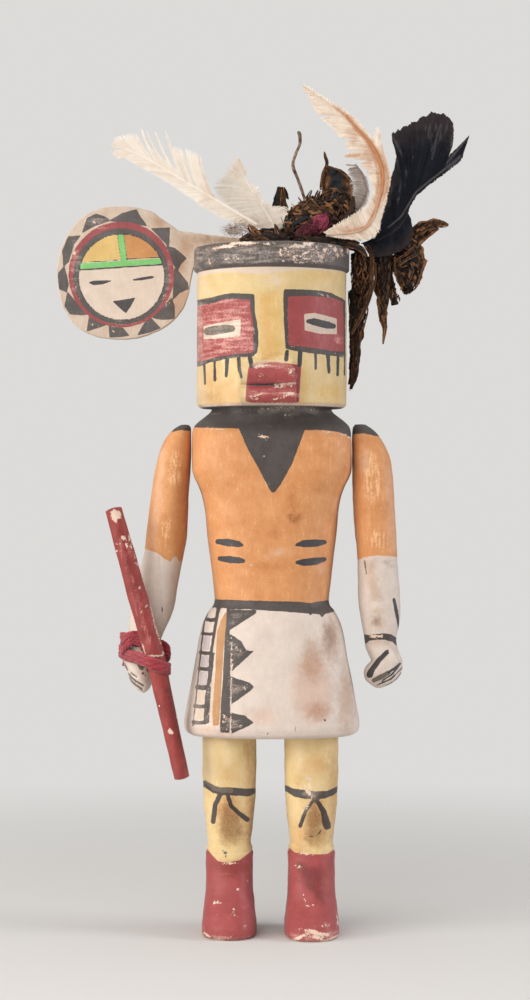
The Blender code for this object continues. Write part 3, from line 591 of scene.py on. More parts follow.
def trunk_rows():
    """Rows up the trunk as (height, half width, half depth, squareness), with a zone number for each:
    0 under the kilt, 1 kilt to neck, 2 under the mask, 3 mask, 4 rim, 5 crown."""
    table = np.array(TRUNK_SECTIONS)
    heights = np.concatenate([np.arange(HEM, WAIST, FINE_STEP), np.arange(WAIST, CHIN, CHEST_STEP), [CHIN]])
    trunk = np.column_stack([heights, glide(table[:, 0], table[:, 1:], heights)])
    _, hem_wide, hem_deep, hem_power = TRUNK_SECTIONS[0]
    under = [(HEM + 0.3, hem_wide * share, hem_deep * share, hem_power) for share in HEM_SHARES]
    wide, deep = MASK_HALF_WIDTH, MASK_HALF_DEPTH
    chin = [
        (CHIN, 29.5, 23.0, 2.1),
        (CHIN, 31.5, 28.0, 2.05),
        (CHIN + 0.05, wide - 2.4, deep - 2.4, MASK_POWER),
    ]
    turn = np.radians([15, 35, 55, 75, 90])
    inset = FOOT_ROUND * (1 - np.sin(turn))
    foot = np.column_stack([CHIN + FOOT_ROUND * (1 - np.cos(turn)), wide - inset, deep - inset])
    side = np.arange(CHIN + 2.7, RIM_FOOT - 0.6, FINE_STEP)
    mask = np.vstack([foot, np.column_stack([side, np.full((len(side), 2), (wide, deep))])])
    # The rim's rows as height and how far it stands out
    rim = [(RIM_FOOT - 0.5, 0.0), (RIM_FOOT - 0.1, 0.25)]
    rim += [(RIM_FOOT + 0.3, 0.9), (RIM_FOOT + 0.8, RIM_PROUD)]
    rim += [(height, RIM_PROUD) for height in np.arange(RIM_FOOT + 1.3, CROWN - 1.2, FINE_STEP)]
    rim += [(CROWN - 1.0, RIM_PROUD), (CROWN - 0.5, RIM_PROUD - 0.15)]
    rim += [(CROWN - 0.15, RIM_PROUD - 0.5), (CROWN, 0.3)]
    height, proud = np.array(rim).T
    rim = np.column_stack([height, wide + proud, deep + proud])
    crown = np.array([(CROWN, wide * share, deep * share) for share in CROWN_SHARES])
    rows = [np.array(under), trunk, np.array(chin)]
    rows += [np.column_stack([part, np.full(len(part), MASK_POWER)]) for part in (mask, rim, crown)]
    zones = np.concatenate([np.full(len(part), number) for number, part in enumerate(rows)])
    return np.vstack(rows), zones


def trunk_shape():
    """Kilt, torso, neck, mask and rim as one skin of level sections. In front, the mouth pushes the skin
    forward by the lips' profile, which falls off over a short way at the mouth's two sides."""
    rows, zones = trunk_rows()
    height, wide, deep, power = rows.T
    edges = (FIGURE_X - wide, FIGURE_X + wide, FIGURE_Y - deep, FIGURE_Y + deep)
    points = ring_points(height, *edges, power, front_turns(TRUNK_COLUMNS, 0.45))
    zone = np.repeat(zones, TRUNK_COLUMNS)
    flat = points.reshape(-1, 3)
    hand_cut = waves(flat, 17.0, 3) * 0.14 + waves(flat * (1, 1, 0.3), 6.0, 4) * 0.05
    outward = unit((flat - (FIGURE_X, FIGURE_Y, 0)) * (1, 1, 0), guard=1e-6)
    flat = flat + outward * (hand_cut * np.isin(zone, (1, 3, 4)))[:, None]
    table = np.array(MOUTH_SECTIONS)
    half, proud = glide(table[:, 0], table[:, 1:], flat[:, 2]).T
    level = flat[:, 2]
    at_mouth = (level > table[0, 0]) & (level < table[-1, 0]) & (zone == 3) & (flat[:, 1] < FIGURE_Y)
    aside = np.abs(flat[:, 0] - MOUTH_X)
    share = np.clip(0.5 - (aside - half) / MOUTH_SOFT, 0, 1) * at_mouth
    lips = MASK_FRONT - proud + 0.35 * (aside / 13.0) ** 2 + waves(flat, 5.0, 9) * 0.12
    flat[:, 1] += np.minimum(lips - flat[:, 1], 0.0) * share * (proud > 0.05)
    return flat.reshape(points.shape), zone


def leg_shape(middle, toe):
    """A boot and leg as level sections, from the sole up into the kilt."""
    table = np.array(LEG_SECTIONS)
    heights = np.concatenate([np.arange(*span) for span in LEG_RINGS])
    wide, front, back, power = glide(table[:, 0], table[:, 1:], heights).T
    front = front + toe * np.clip((TOE_GONE - heights) / (TOE_GONE - TOE_FULL), 0, 1)
    turns = front_turns(LEG_COLUMNS, 0.4)
    points = ring_points(heights, middle - wide, middle + wide, -front, back, power, turns)
    flat = points.reshape(-1, 3)
    outward = unit((flat - (middle, 0.0, 0.0)) * (1, 1, 0), guard=1e-6)
    flat = flat + outward * (waves(flat, 9.0, 21) * 0.12 * (flat[:, 2] > 2))[:, None]
    centre = points[0].mean(axis=0)
    sole = [centre + (points[0] - centre) * share for share in SOLE_SHARES]
    return np.concatenate([np.array(sole), flat.reshape(points.shape)])


def painted_fields(coats, stains):
    """The names of the distances that a painted finish reads."""
    return [row[0] for row in (*coats, *stains)] + ["gesso", "flecks", "rub"]


FIGURE_FIELDS = painted_fields(FIGURE_COATS, FIGURE_STAINS)


def complete(shape, names):
    """A shape with every distance that its finish reads."""
    points, faces, fields = shape
    for name in names:
        fields.setdefault(name, np.full(len(points), OUTSIDE))
    return points, faces, fields


# The paint on the body, where the photograph shows it. Marks by the coat they belong to.

# Some of these marks are painted shade and painted highlight along the figure's sides
RIM_LINE = (  # where the rim's black ends
    (195.7, 272.8), (207.6, 270), (222.3, 267.7), (237, 265.5), (255, 264.6), (278.7, 264.6), (309, 266.6),
    (331.8, 267.2), (348.7, 268.9),
)
FACE_LINE = (  # where the face's yellow begins, under a strip of bare gesso
    (196.3, 277.6), (205, 274.6), (219, 271.8), (241.5, 272.4), (264, 273.4), (279, 272), (298, 269.4),
    (320, 269), (343, 270.4), (347, 274),
)
BELT_TOP = (
    (190, 598), (215.4, 599.3), (254.6, 600.6), (299.4, 601.8), (310.6, 603), (317, 601.6), (329.2, 600),
    (350, 598),
)
BELT_FOOT = (
    (190, 606), (212.3, 607.4), (231, 608.7), (254.6, 609.7), (293.2, 612.4), (308.6, 613.6),
    (310.4, 615.6), (312.4, 613.8), (319.4, 614.4), (321.8, 617.6), (325, 614.4), (333, 611.8), (350, 607),
)
YOKE = (
    (100, 380), (100, 427.5), (195, 427.5), (238.6, 428.4), (248, 449.6), (260, 471), (268, 487),
    (273.4, 494.4), (281.4, 483), (292.1, 464.3), (301.5, 438.8), (304.9, 430.1), (322.9, 430.1),
    (339, 432.1), (350.4, 436.8), (430, 437), (430, 380),
)
YOKE_LINE = ((0, 429), (600, 429))
CREAM_TOP = 155.6  # where the kilt's cream ends, under the belt
MASK_MARKS = {
    "ochre": (
        ((258, 293), (280, 291), (282, 320), (283.6, 352), (270, 360), (262, 358), (260, 345), (261, 335)),
        # The first stroke below is painted shadow down the right side of the raised mouth
        ((303.8, 366, 4), (304.4, 384, 5.4), (303.6, 403, 4)), (330, 392, 12, 8), (322, 276, 16, 4),
    ),
    "charcoal": (
        (
            (198, 299.9), (213.2, 296.9), (223.4, 294.3), (233.5, 293.1), (251.6, 293.7), (254.4, 294.6),
            (254.8, 302.7), (255, 311.8), (256.7, 320.8), (258.4, 333.2), (258.4, 343.4), (257.3, 352.4),
            (252.7, 356.9), (235.8, 357.5), (222.3, 359.8), (209.8, 362.6), (199.7, 366.5), (190, 367.5),
            (190, 301),
        ),
        (
            (283.8, 289.2), (303.5, 289.4), (320.5, 290.5), (331.8, 293.1), (343.1, 298.8), (345.4, 301),
            (345.4, 357.5), (331.8, 355.8), (313.7, 353.6), (297.9, 351.3), (285.5, 349), (284.9, 336.6),
            (283.8, 319.7), (283.2, 302.7),
        ),
    ),
    "red": (
        (
            (197.6, 305.9), (214.4, 302.7), (223.4, 299.6), (234.7, 298.8), (249.9, 299.9), (251, 311.8),
            (252.7, 320.8), (253.3, 336.6), (253.3, 352.4), (239.2, 353.6), (227.9, 355.2), (212, 358),
            (199, 362), (197.6, 362),
        ),
        (
            (288.3, 296.5), (309.2, 296), (326.1, 297.1), (335.2, 298.8), (343.1, 302.2), (344, 351.3),
            (335.2, 351.3), (320.5, 349), (303.5, 346.8), (288.9, 345.1), (288.3, 331), (287.7, 314),
        ),
        (
            (249.9, 364.8), (257.3, 362.4), (275.3, 361.5), (297.9, 364.8), (301.3, 366), (300.2, 381.8),
            (299, 402), (286.6, 404.4), (270.8, 404.9), (252.7, 403.2), (245.4, 401), (246.5, 381.8),
            (248.2, 368.2),
        ),
    ),
    "white": (
        ((203.6, 326.5), (218.9, 323), (240.9, 319.1), (240.3, 336), (221, 338.3), (203.6, 339.4)),
        ((304.1, 314), (314.8, 312.9), (336.9, 318.5), (336.9, 334.4), (320.5, 333.8), (304.7, 330.4)),
    ),
    "slate": (((207.5, 331.4, 7.6), (213, 330.6, 8.8), (226, 328.9, 8.4), (232, 328.5, 6.4)),),
    "ink": (
        ((308, 321.2, 4), (314, 321.8, 7.2), (328, 325.2, 7.2), (333.5, 326.2, 5)),
        ((204.2, 364.3, 2.5), (205.1, 384, 2)), ((214.6, 362, 2.5), (214.9, 380, 3)),
        ((227.3, 359.2, 4), (226.2, 376.1, 3)), ((238.6, 358.6, 4), (239.4, 370, 3.6), (241.5, 377.3, 2.6)),
        ((249.9, 356.9, 4.5), (251.6, 366, 4.5)), ((287.2, 351.3, 4), (286.1, 359.8, 4)),
        ((300.2, 352.4, 4.5), (299.6, 364.8, 4.5)), ((315.6, 354.1, 2.5), (315.7, 368.8, 2.5)),
        ((327.8, 354.7, 4), (329, 372.2, 3)), ((338, 356.4, 2.8), (337.6, 375, 2.8)),
        ((344.8, 354.7, 1.6), (344.4, 375, 1.4)),
        ((246.4, 384.6, 1), (258, 384.8, 2.2), (276, 384.4, 2.6), (280, 384.2, 1.6)),
        ((276, 387.8, 1.2), (299, 386.8, 0.8)),
    ),
    "gesso": (
        ((274.5, 384.4, 1), (284, 383.8, 1.6), (298, 383.2, 0.8)),
        ((276, 387, 0.6), (284, 386.5, 1.1), (292, 386.2, 0.6)),
        ((249.6, 396.6, 1.2), (256, 395.6, 1.7), (261.4, 394, 1.3)), ((251, 399, 0.9), (258, 398.4, 0.9)),
        ((274, 399.2, 1.2), (282, 397.6, 1.5), (288, 394.8, 1.3), (294, 392.8, 0.9)),
        ((280, 393.4, 0.8), (290, 392.4, 0.9)), ((255, 367, 1.5), (262, 365.6, 1.5), (270, 365.2, 1)),
        (290.6, 371.8, 1.8, 2.6), (293.8, 369.4, 1.4, 1.1),
    ),
    "flecks": (
        ((254, 368, 4), (262, 366.4, 3.6), (274, 366.6, 4), (284, 367, 2.6)), (291.6, 371.6, 5.2, 6.2),
        ((248.6, 399, 3), (254, 396.6, 4.4), (262, 394.6, 5)),
        ((272, 399.6, 3.6), (281, 397.4, 5), (288, 393.6, 7), (295, 392.6, 4)),
        ((270, 386.4, 2.6), (284, 386, 4.6), (299, 383.6, 3)), (262, 377, 5, 4),
        ((316, 293, 4), (330, 297, 4), (343, 303, 3)), ((335, 354.6, 4), (345, 357, 4)),
        ((286, 300, 1.6), (288.6, 348, 1.4)), ((288, 346, 1.6), (312, 349.4, 1.4)),
        ((252, 304, 1.6), (253.4, 330, 1.6), (254, 352, 1.6)),
        ((200, 405, 2), (272, 406.4, 2.4), (340, 405, 2)), ((226, 310, 3), (244, 312, 5)),
        ((205, 354, 2), (226, 352, 3)),
    ),
    "rub": (
        ((190, 322), (236, 318), (244, 322), (243, 342), (236, 346), (190, 360)),
        ((200, 305, 5), (226, 302.6, 4), (246, 303, 4)),
        ((228, 304), (250, 302), (254, 330), (256, 356), (246, 358), (246, 336), (240, 316), (226, 316)),
        ((190, 300), (238, 297), (256, 330), (258, 358), (190, 368)),
        ((252, 366.8, 6), (270, 366, 7), (296, 369, 6)), ((250, 396, 8), (270, 392, 6), (296, 394, 10)),
        (332, 304, 9, 4), (338, 340, 5, 9),
    ),
    "tan": (
        ((239, 268.2, 1.2), (266, 266.6, 1.8), (293, 266.4, 1.2)), ((276, 354, 3), (264, 360, 4)),
        (208, 398, 9, 5),
    ),
    "blush": ((226, 392, 14, 12), (212, 380, 8, 16), ((266, 300, 6), (268, 345, 8))),
    "haze": (
        # Mostly painted highlight down the face's lit left edge and the mouth's left side
        ((198, 280), (206, 280), (214, 296), (200, 298)), ((198, 366, 8), (202, 404, 9)),
        ((243.6, 366, 3), (243.4, 400, 3)), (272, 279, 12, 7),
        ((197, 306, 5), (199, 330, 6), (198, 358, 5)),
    ),
    "chalk": (
        ((272, 276, 2.4), (276.4, 280, 3.6), (279, 284.6, 2)),
        ((254, 364.6, 2), (268, 361.6, 1.4), (286, 362.4, 1)),
    ),
}
RIM_MARKS = {
    "gesso": (
        (214.4, 248.5, 1.7, 1.4), ((216, 248, 1.6), (222, 246.8, 3), (232, 246.2, 2.4), (236, 246.8, 1)),
        ((232, 243.4, 2.4), (245, 243, 2.8), (258, 242.8, 1.6)), (268, 243.8, 1.7, 1.3),
        (246.4, 244.4, 1.6, 1), ((290, 247.4, 1.6), (295, 245.6, 4), (303, 246.6, 3)),
        ((303.6, 243.4, 2), (309, 244.4, 3.8), (314, 243, 1.6)), (324.6, 250.2, 2, 2.6),
        (335, 249.6, 1.8, 2.8), (337.6, 255, 1.2, 2.2), (342, 250.2, 1.1, 1.6), (347.8, 250, 1.1, 3),
        ((303, 253.6, 2.4), (308, 252.2, 2.2)), ((291.4, 257.6, 1.4), (296, 255.6, 1.4), (301, 256.4, 2)),
        (306.6, 258.6, 2.4, 0.9), (318.4, 254.6, 0.9, 2.6), (322.2, 257.8, 1.1, 2.2), (325, 261, 0.9, 1.4),
        ((281, 248.6, 1.6), (279.6, 252, 1.8), (281, 255.8, 1.6)),
        ((284, 248, 1.2), (288, 249.6, 1.6), (288.6, 253.6, 1.4), (285.8, 256.6, 1.2)),
        (284, 252.6, 0.9, 0.9), (300, 262.4, 3.6, 0.6),
        ((224, 260, 0.7), (232, 257.4, 0.8), (240, 259, 0.7)), ((249.5, 250, 0.5), (250, 262, 0.5)),
        (312.4, 249.6, 1.5, 0.9), (316.6, 247.2, 1.2, 1.4), (329.6, 246.2, 1.6, 1), (283, 261, 0.9, 1.1),
        (209, 262, 0.8, 2), (308, 261, 1, 0.6),
    ),
    "flecks": (
        ((286, 243), (318, 243), (345, 248), (346, 258), (336, 260), (324, 264), (300, 264), (286, 260)),
        (284.6, 252, 6.4, 6.8), ((204, 250, 3), (222, 247, 4), (246, 244, 4), (274, 243.6, 2)),
        ((214, 261, 3), (240, 257, 4), (252, 255, 5)),
    ),
    "rub": (
        ((190, 246), (262, 241), (350, 244), (352, 258), (286, 264), (240, 266), (194, 274)),
        (225, 259, 24, 8),
    ),
    "tan": (
        ((206, 249.6, 2), (226, 247.6, 5), (246, 245.2, 4), (262, 244.4, 2)), (284.6, 252.6, 5, 5),
        (306, 254, 5, 3),
    ),
    "ink": (((277, 249.7, 0.5), (277, 264.4, 0.5)),),
}
BODY_MARKS = {
    "charcoal": (
        (
            (218.9, 606, 4.3), (215.1, 632, 4.4), (211.7, 654.7, 5), (210.2, 677, 4.5), (208, 697, 6),
            (206.7, 721, 6),
        ),
        (
            (209.2, 607, 1.7), (204.2, 622.3, 1.6), (201.7, 643.5, 1.6), (199.3, 667.1, 1.6),
            (196.1, 697, 1.5), (193, 725.6, 1.3),
        ),
        (
            (227, 606), (226, 620), (224.8, 631), (224.1, 652), (222.9, 677), (221, 702), (219.8, 727),
            (220.4, 733), (229.7, 733), (230.3, 702), (230.3, 677), (230.3, 652), (229.7, 631), (230, 606),
        ),
        ((228, 609), (255.8, 610.5), (256.5, 613), (229.7, 630.4)),
        ((228.7, 632.9), (240.9, 641), (246.5, 650), (253.4, 651.6), (231.6, 671.5)),
        ((230.6, 676.4), (249.6, 682.7), (254, 687), (249.6, 691.4), (231.6, 704.4)),
        ((230.6, 712.5), (244.7, 715.6), (253.6, 722.5), (249.6, 725.6), (231.6, 733.7)),
        ((207, 619.4, 3.7), (211.4, 620.2, 3.7), (216.8, 619.8, 3.7)),
        ((202.6, 633.4, 3.1), (207.6, 634.2, 3.1), (213.7, 633.8, 3.1)),
        ((200.7, 652.4, 3.7), (206.4, 653.2, 3.7), (213, 652.8, 3.7)),
        ((199.5, 668.5, 3.8), (204.6, 669.2, 3.8), (210.6, 668.9, 3.8)),
        ((197.6, 687.1, 5), (202.6, 687.8, 5), (208.7, 687.5, 5)),
        ((195, 705.9, 3.8), (199.8, 706.6, 3.8), (205.6, 706.3, 3.8)),
        ((193.3, 722, 3.7), (199.2, 722.8, 3.7), (206.2, 722.4, 3.7)),
        ((189.8, 425, 4), (189.4, 455, 3.4), (190.4, 482, 2)),
    ),
    "lavender": (
        ((203.6, 636), (210.4, 636), (209.6, 650), (202.4, 650)),
        ((201.6, 655.6), (208.4, 655.6), (208, 667), (200.6, 666)),
        ((200, 671.6), (207.6, 671.6), (207, 686), (198.8, 685)),
    ),
    "white": (
        ((221, 612, 3), (218.4, 625, 2.6), (213.6, 652, 2)),
        ((213.4, 672, 2.4), (211.6, 700, 2.6), (210.4, 722, 2.6)),
        ((197.6, 709.4), (203.6, 709.4), (203, 719.6), (196.4, 719.6)),
        ((199, 691), (205, 691), (204, 703.6), (197.4, 703.6)),
    ),
    "stripe": (
        (
            (224.6, 613), (221, 620), (217.3, 631), (216, 650), (215.4, 670), (213.6, 693), (212.3, 714),
            (212.9, 725.5), (219.2, 725.5), (219.8, 714), (221, 693), (222.3, 670), (223.5, 650),
            (225.4, 631), (226.6, 620), (226.2, 613),
        ),
    ),
    "ink": (
        ((217.8, 541.6, 5), (228, 542.6, 7.6), (238, 544, 6.4), (241.9, 545.2, 3)),
        ((219.6, 558.6, 4.6), (230, 559.6, 7.4), (239, 560.4, 6.2), (243.9, 561, 3.4)),
        ((296.8, 544.6, 3.4), (304, 543.6, 7.2), (316, 543, 7.4), (324.5, 542.2, 4.6)),
        ((296.8, 562.4, 3.6), (304, 562.4, 7.2), (316, 561.2, 7.4), (324.5, 559.4, 4.4)),
        ((293.2, 697, 0.55), (294.2, 715, 0.7), (295.6, 735.5, 0.6)),
        ((266.4, 735.4, 0.8), (268.8, 732.4, 1.4)), (324.9, 720.3, 1.1, 0.9), (251.9, 651.6, 1.5, 1),
        (320.6, 697, 0.6, 0.8),
    ),
    "tan": (
        ((292, 486, 4), (291.6, 505, 6)), (293.6, 517, 5, 4.4), (345.4, 469, 1.4, 1.2),
        (316.7, 489, 1.3, 1.2), (276, 533, 5, 4), (270, 566, 12, 3), (202, 490, 2, 1.4), (318, 711, 11, 8),
        (346, 700, 7, 30), (229, 484, 2, 1.2), (330, 640, 9, 22), (312, 660, 10, 20),
    ),
    "blush": ((312, 690, 20, 34), (262, 716, 12, 6), (210, 730, 12, 3)),
    "smoke": (
        ((290.6, 515, 1.2), (292, 519.6, 2.2), (296, 520.6, 2), (298.8, 516.6, 1)), (330, 636, 5, 12),
    ),
    "haze": (
        # Pale spots and worn places, a painted glint on the torso, and painted highlight down the kilt's left
        # edge
        (282, 552, 7, 3), (196, 700, 5, 30), ((336, 500, 1.6), (336.4, 512, 2)),
        ((262, 411, 4), (290, 409, 5), (316, 410, 3)), (321, 568, 3, 4),
    ),
    "gesso": (
        ((257.6, 435.6, 1.6), (262, 436.4, 3), (266, 437, 2.2), (270.4, 438, 1.4)),
        (263.9, 456.6, 1.2, 0.8), (268.6, 439.2, 0.9, 0.7),
        ((201.6, 428.4, 0.7), (210, 428.8, 1.6), (222.6, 429, 0.7)),
        ((322.6, 431, 0.8), (333.7, 432.8, 1.4), (346, 434.4, 0.9)),
        ((341.7, 434.2, 1.1), (350.4, 438, 1.6), (353.4, 441, 1)), ((239.5, 431.5, 0.6), (243.5, 440, 0.6)),
        ((231, 634, 0.8), (231.2, 672, 0.6), (230.7, 733, 0.8)), ((231.6, 642, 1.2), (232, 668, 1.2)),
        ((218.5, 731.5, 2), (224, 734, 2.6), (229.6, 733.4, 1.6)), (224.6, 716.5, 1.2, 1.6),
        (223.4, 722, 0.9, 1.1), (333, 679, 2, 1), ((284, 404.6, 1.4), (290, 407, 1.2), (296, 406, 0.9)),
        (285, 416, 0.8, 1.8), (298.6, 559.6, 1, 0.6), (251, 565, 1, 0.8), (333, 560.4, 0.7, 0.9),
        (280, 551.8, 2, 0.5),
    ),
    "flecks": (
        ((231, 634, 2.4), (232, 672, 3), (231, 733, 3)), ((226, 640, 6), (244, 652, 7)),
        ((232, 690, 5), (246, 688, 5)), ((222, 714, 6), (240, 726, 6)),
        ((216, 726), (232, 728), (232, 737), (214, 736)), ((214, 660, 3), (210, 700, 4), (208, 728, 5)),
        ((262, 409, 4), (290, 407, 6), (316, 409, 4)), (265, 437, 7, 3), ((268, 558, 3), (290, 552, 3)),
        (262, 476, 3, 2),
    ),
    "rub": (
        ((228, 609), (255.8, 610.5), (229.7, 630.4)), ((226, 632.9), (246.5, 650), (231.6, 671.5)),
        ((226, 676.4), (252, 687), (228, 704.4)), ((222, 712.5), (250, 722.5), (222, 733.7)),
        ((208, 690, 6), (206, 730, 7)), ((200, 412, 6), (260, 414, 5), (340, 412, 8)), (268, 482, 4, 8),
    ),
}


def paint_trunk(flat, zone):
    """Every coat's distance on the trunk. Lines that run round the figure do so behind as well."""
    spots, in_front = mirrored(flat, FIGURE_Y)
    height = flat[:, 2]
    body, mask, rim = np.isin(zone, (1, 2)), zone == 3, np.isin(zone, (4, 5))
    yoke = np.where(in_front, patch(spots, YOKE), -below(spots, YOKE_LINE))
    belt = both(-below(spots, BELT_FOOT), below(spots, BELT_TOP))
    rim_foot = np.where(mask, -below(spots, RIM_LINE), np.minimum(-below(spots, RIM_LINE), -0.02 * height))
    face = both(below(spots, FACE_LINE), (CHIN + 0.9) - height)
    bare_strip = both(below(spots, RIM_LINE), -below(spots, FACE_LINE))
    fields = {
        "orange": np.where(body, -1.0, OUTSIDE),
        "yellow": np.where(mask, face, OUTSIDE),
        "cream": np.where(zone < 2, height - CREAM_TOP, OUTSIDE),
        "charcoal": np.where(body, np.where(zone == 1, either(yoke, belt), yoke), OUTSIDE),
        "worn": np.where(mask | rim, rim_foot, OUTSIDE),
        "chalk": np.where(mask, bare_strip, OUTSIDE),
        "gesso": np.where(mask, both((CHIN - 2) - height, height - (CHIN + 1.0)), OUTSIDE),
    }
    add_marks(fields, spots, in_front & (zone == 1), BODY_MARKS)
    add_marks(fields, spots, in_front & mask, MASK_MARKS)
    add_marks(fields, spots, in_front & (zone == 4), RIM_MARKS)
    return fields


BOOT_LINES = (
    (
        (200, 846), (206.9, 848.4), (213, 856), (218.6, 861.4), (228, 862.6), (239.9, 860), (247, 854.5),
        (252.9, 849.7), (260, 847),
    ),
    (
        (280, 846), (289.9, 848.4), (294.7, 852.5), (304.3, 853.8), (316, 854.4), (327.6, 853.8),
        (335.5, 848.4), (345, 846),
    ),
)
LEG_TIES = (
    (
        (195, 779), (204.9, 781.1), (209.7, 784.6), (217.9, 787.3), (230.3, 787.3), (246.7, 788.7),
        (255.6, 788), (265, 786), (265, 791), (255.6, 792.8), (249.5, 796.5), (239.9, 796), (223.4, 794.9),
        (212.4, 792.8), (204.9, 787.3), (195, 785),
    ),
    (
        (278, 783), (286.5, 785.3), (293.4, 788.7), (303, 789.4), (315.3, 791.4), (327.6, 790.8),
        (337.9, 786), (348, 783), (348, 788), (337.9, 791.4), (333.1, 795.6), (322.2, 799), (305.7, 799),
        (294.7, 796.9), (287.2, 792.1), (278, 788),
    ),
)
LEG_MARKS = (
    {
        "charcoal": (
            ((221.3, 792.8, 5), (215.2, 804.5, 4.6), (213.1, 821.6, 5)),
            ((227.5, 794.2, 4), (230.9, 805.8, 4.2), (239.9, 814, 4.4), (247.4, 819.5, 5)),
        ),
        "slate": (
            ((205, 781, 2), (214, 788, 4.6), (222, 790.4, 5), (231, 790.6, 5)), (222.8, 850.6, 1, 0.9),
            (225.2, 852.8, 1.9, 1.5), (225.8, 856.2, 0.9, 1.1), (214, 938, 1.6, 0.8),
        ),
        # A tan stain, painted shade down the leg's right side, and painted shade over the boot's upper part
        "tan": ((230, 820, 13, 24), (250, 812, 4, 40), (229, 868, 22, 8), ((247, 745, 5), (250, 780, 4))),
        "blush": ((226, 806, 8, 14), (230, 775, 6, 7)),
        # A dark stain, and painted shade down the leg's right edge
        "smoke": (
            ((236, 816, 4), (238, 828, 7), (236, 838, 5)), (229, 822, 9, 19), (238, 834, 5, 5),
            ((254, 800, 3), (250, 840, 3)),
        ),
        # Painted highlight down the leg's lit left side
        "haze": (((208, 744, 9), (210, 776, 8)), ((226, 745, 8), (228, 764, 5))),
        "gesso": (
            ((213.4, 902.8, 1.2), (217.4, 901.8, 1.8), (221.4, 903.2, 1)), (237.6, 889.6, 1.5, 1.1),
            (247.4, 880.6, 0.7, 0.9), (240.5, 873, 0.7, 0.5), (233.6, 910, 1, 1.2), (234.6, 915, 1, 0.6),
            (216, 915, 0.9, 0.6), ((204, 933, 1.6), (210, 937, 1.8)),
            ((212, 939.4, 1), (230, 941.4, 1.6), (246, 940.4, 1.4)), ((238, 941.4, 2), (247.6, 939.4, 1.8)),
            (229, 863.4, 5, 0.8),
        ),
        "flecks": (
            ((206, 936, 4), (228, 941, 4), (250, 938, 4)), (234, 912, 3, 5), (245, 926, 4, 4),
            (232, 776, 4, 5),
        ),
        "rub": (((203, 934), (254, 934), (254, 946), (203, 946)), (212, 782, 10, 4)),
    },
    {
        "charcoal": (
            ((313.2, 800.4, 3), (305.7, 811.3, 3.6), (300.2, 825.7, 4)),
            ((316.7, 800.7, 4), (323.5, 811.3, 6), (327, 825.7, 8)),
        ),
        "ink": (((322.2, 827.8, 0.8), (319.6, 832.6, 0.9), (316.7, 836, 0.9), (304.3, 837.4, 0.7)),),
        # A tan stain, and painted shade down the leg's right side
        "tan": ((316, 822, 13, 26), (334, 800, 5, 46), (300, 850, 8, 4), ((300, 770, 4), (298, 784, 4))),
        "blush": ((316, 766, 10, 9), (317, 812, 7, 12), (298, 836, 8, 12)),
        # Painted shade over the boot's upper part, and a dark stain on the leg
        "smoke": (
            ((300, 866, 8), (312, 878, 20), (320, 898, 8)), ((319, 870, 4), (322, 902, 4)),
            ((318, 834, 1.6), (306, 838, 2)), (314, 822, 8, 18),
        ),
        # Pale spots by the tie, and painted highlight on the leg's left side
        "haze": (((299, 745, 3), (300, 772, 3)), (312, 792, 6, 7), ((309, 800, 2), (305, 812, 2))),
        "gesso": (
            ((304.4, 779, 1.2), (308, 778.4, 1.8), (312, 780.4, 1.4)),
            ((305, 789.6, 1.6), (309, 793, 3.4), (312, 797, 1.8)),
            ((310.4, 799, 1), (307.4, 806, 1), (306.6, 812, 0.7)), ((301.6, 853, 1.6), (308.4, 854, 2)),
            (298.8, 929, 1.5, 0.9), ((306, 930, 2.4), (313, 932, 4.4), (320, 934, 3.4), (328, 934.6, 2.6)),
            ((312, 937, 2), (322, 938.6, 2.2)), ((292, 941, 2.4), (300, 937.4, 3.4), (305, 934, 2)),
            ((322, 941.6, 2), (331, 939, 2.4), (338, 935, 1.8)), ((337, 916, 1), (338, 924, 1.4)),
            (299, 867.4, 1.8, 0.8), (294.8, 865.4, 0.9, 0.7), ((303, 894, 0.6), (306, 902, 0.6)),
            (309, 905.6, 2, 0.5), (322.4, 926.6, 1.6, 0.8),
        ),
        "flecks": (
            ((290, 940, 6), (308, 935, 9), (330, 936, 8), (339, 930, 4)), ((336, 912, 3), (338, 926, 4)),
            (324, 926, 7, 4), ((302, 785, 5), (312, 797, 6), (307, 810, 3)), ((290, 854, 2), (334, 852, 2)),
            (300, 868, 6, 3),
        ),
        "rub": (
            ((288, 932), (342, 930), (342, 946), (288, 946)), (308, 790, 8, 10), (306, 806, 4, 8),
            ((306, 892, 2), (300, 878, 1.6), (295, 874, 1.4)),
        ),
    },
)


def paint_leg(flat, number):
    """Every coat's distance on a leg and its boot."""
    spots, in_front = mirrored(flat, 0.0)
    boot = below(spots, BOOT_LINES[number])
    sole = np.abs(flat[:, 2] - 0.8) - 0.8
    fields = {
        "yellow": np.full(len(flat), -1.0),
        "red": boot,
        "charcoal": patch(spots, LEG_TIES[number]),
        "flecks": either(sole, np.abs(boot) - 0.3),
        "rub": sole,
    }
    add_marks(fields, spots, in_front, LEG_MARKS[number])
    return fields


def make_body():
    """The whole carved figure but its arms, as closed skins that pass into each other."""
    trunk, zone = trunk_shape()
    shapes = [(*shell(trunk), paint_trunk(trunk.reshape(-1, 3), zone))]
    for number, (middle, toe) in enumerate(LEGS):
        leg = leg_shape(middle, toe)
        shapes.append((*shell(leg), paint_leg(leg.reshape(-1, 3), number)))
    return complete(joined(shapes), FIGURE_FIELDS)


piece("carved_figure", make_body(), PAINTED_WOOD, "body")


# The arms

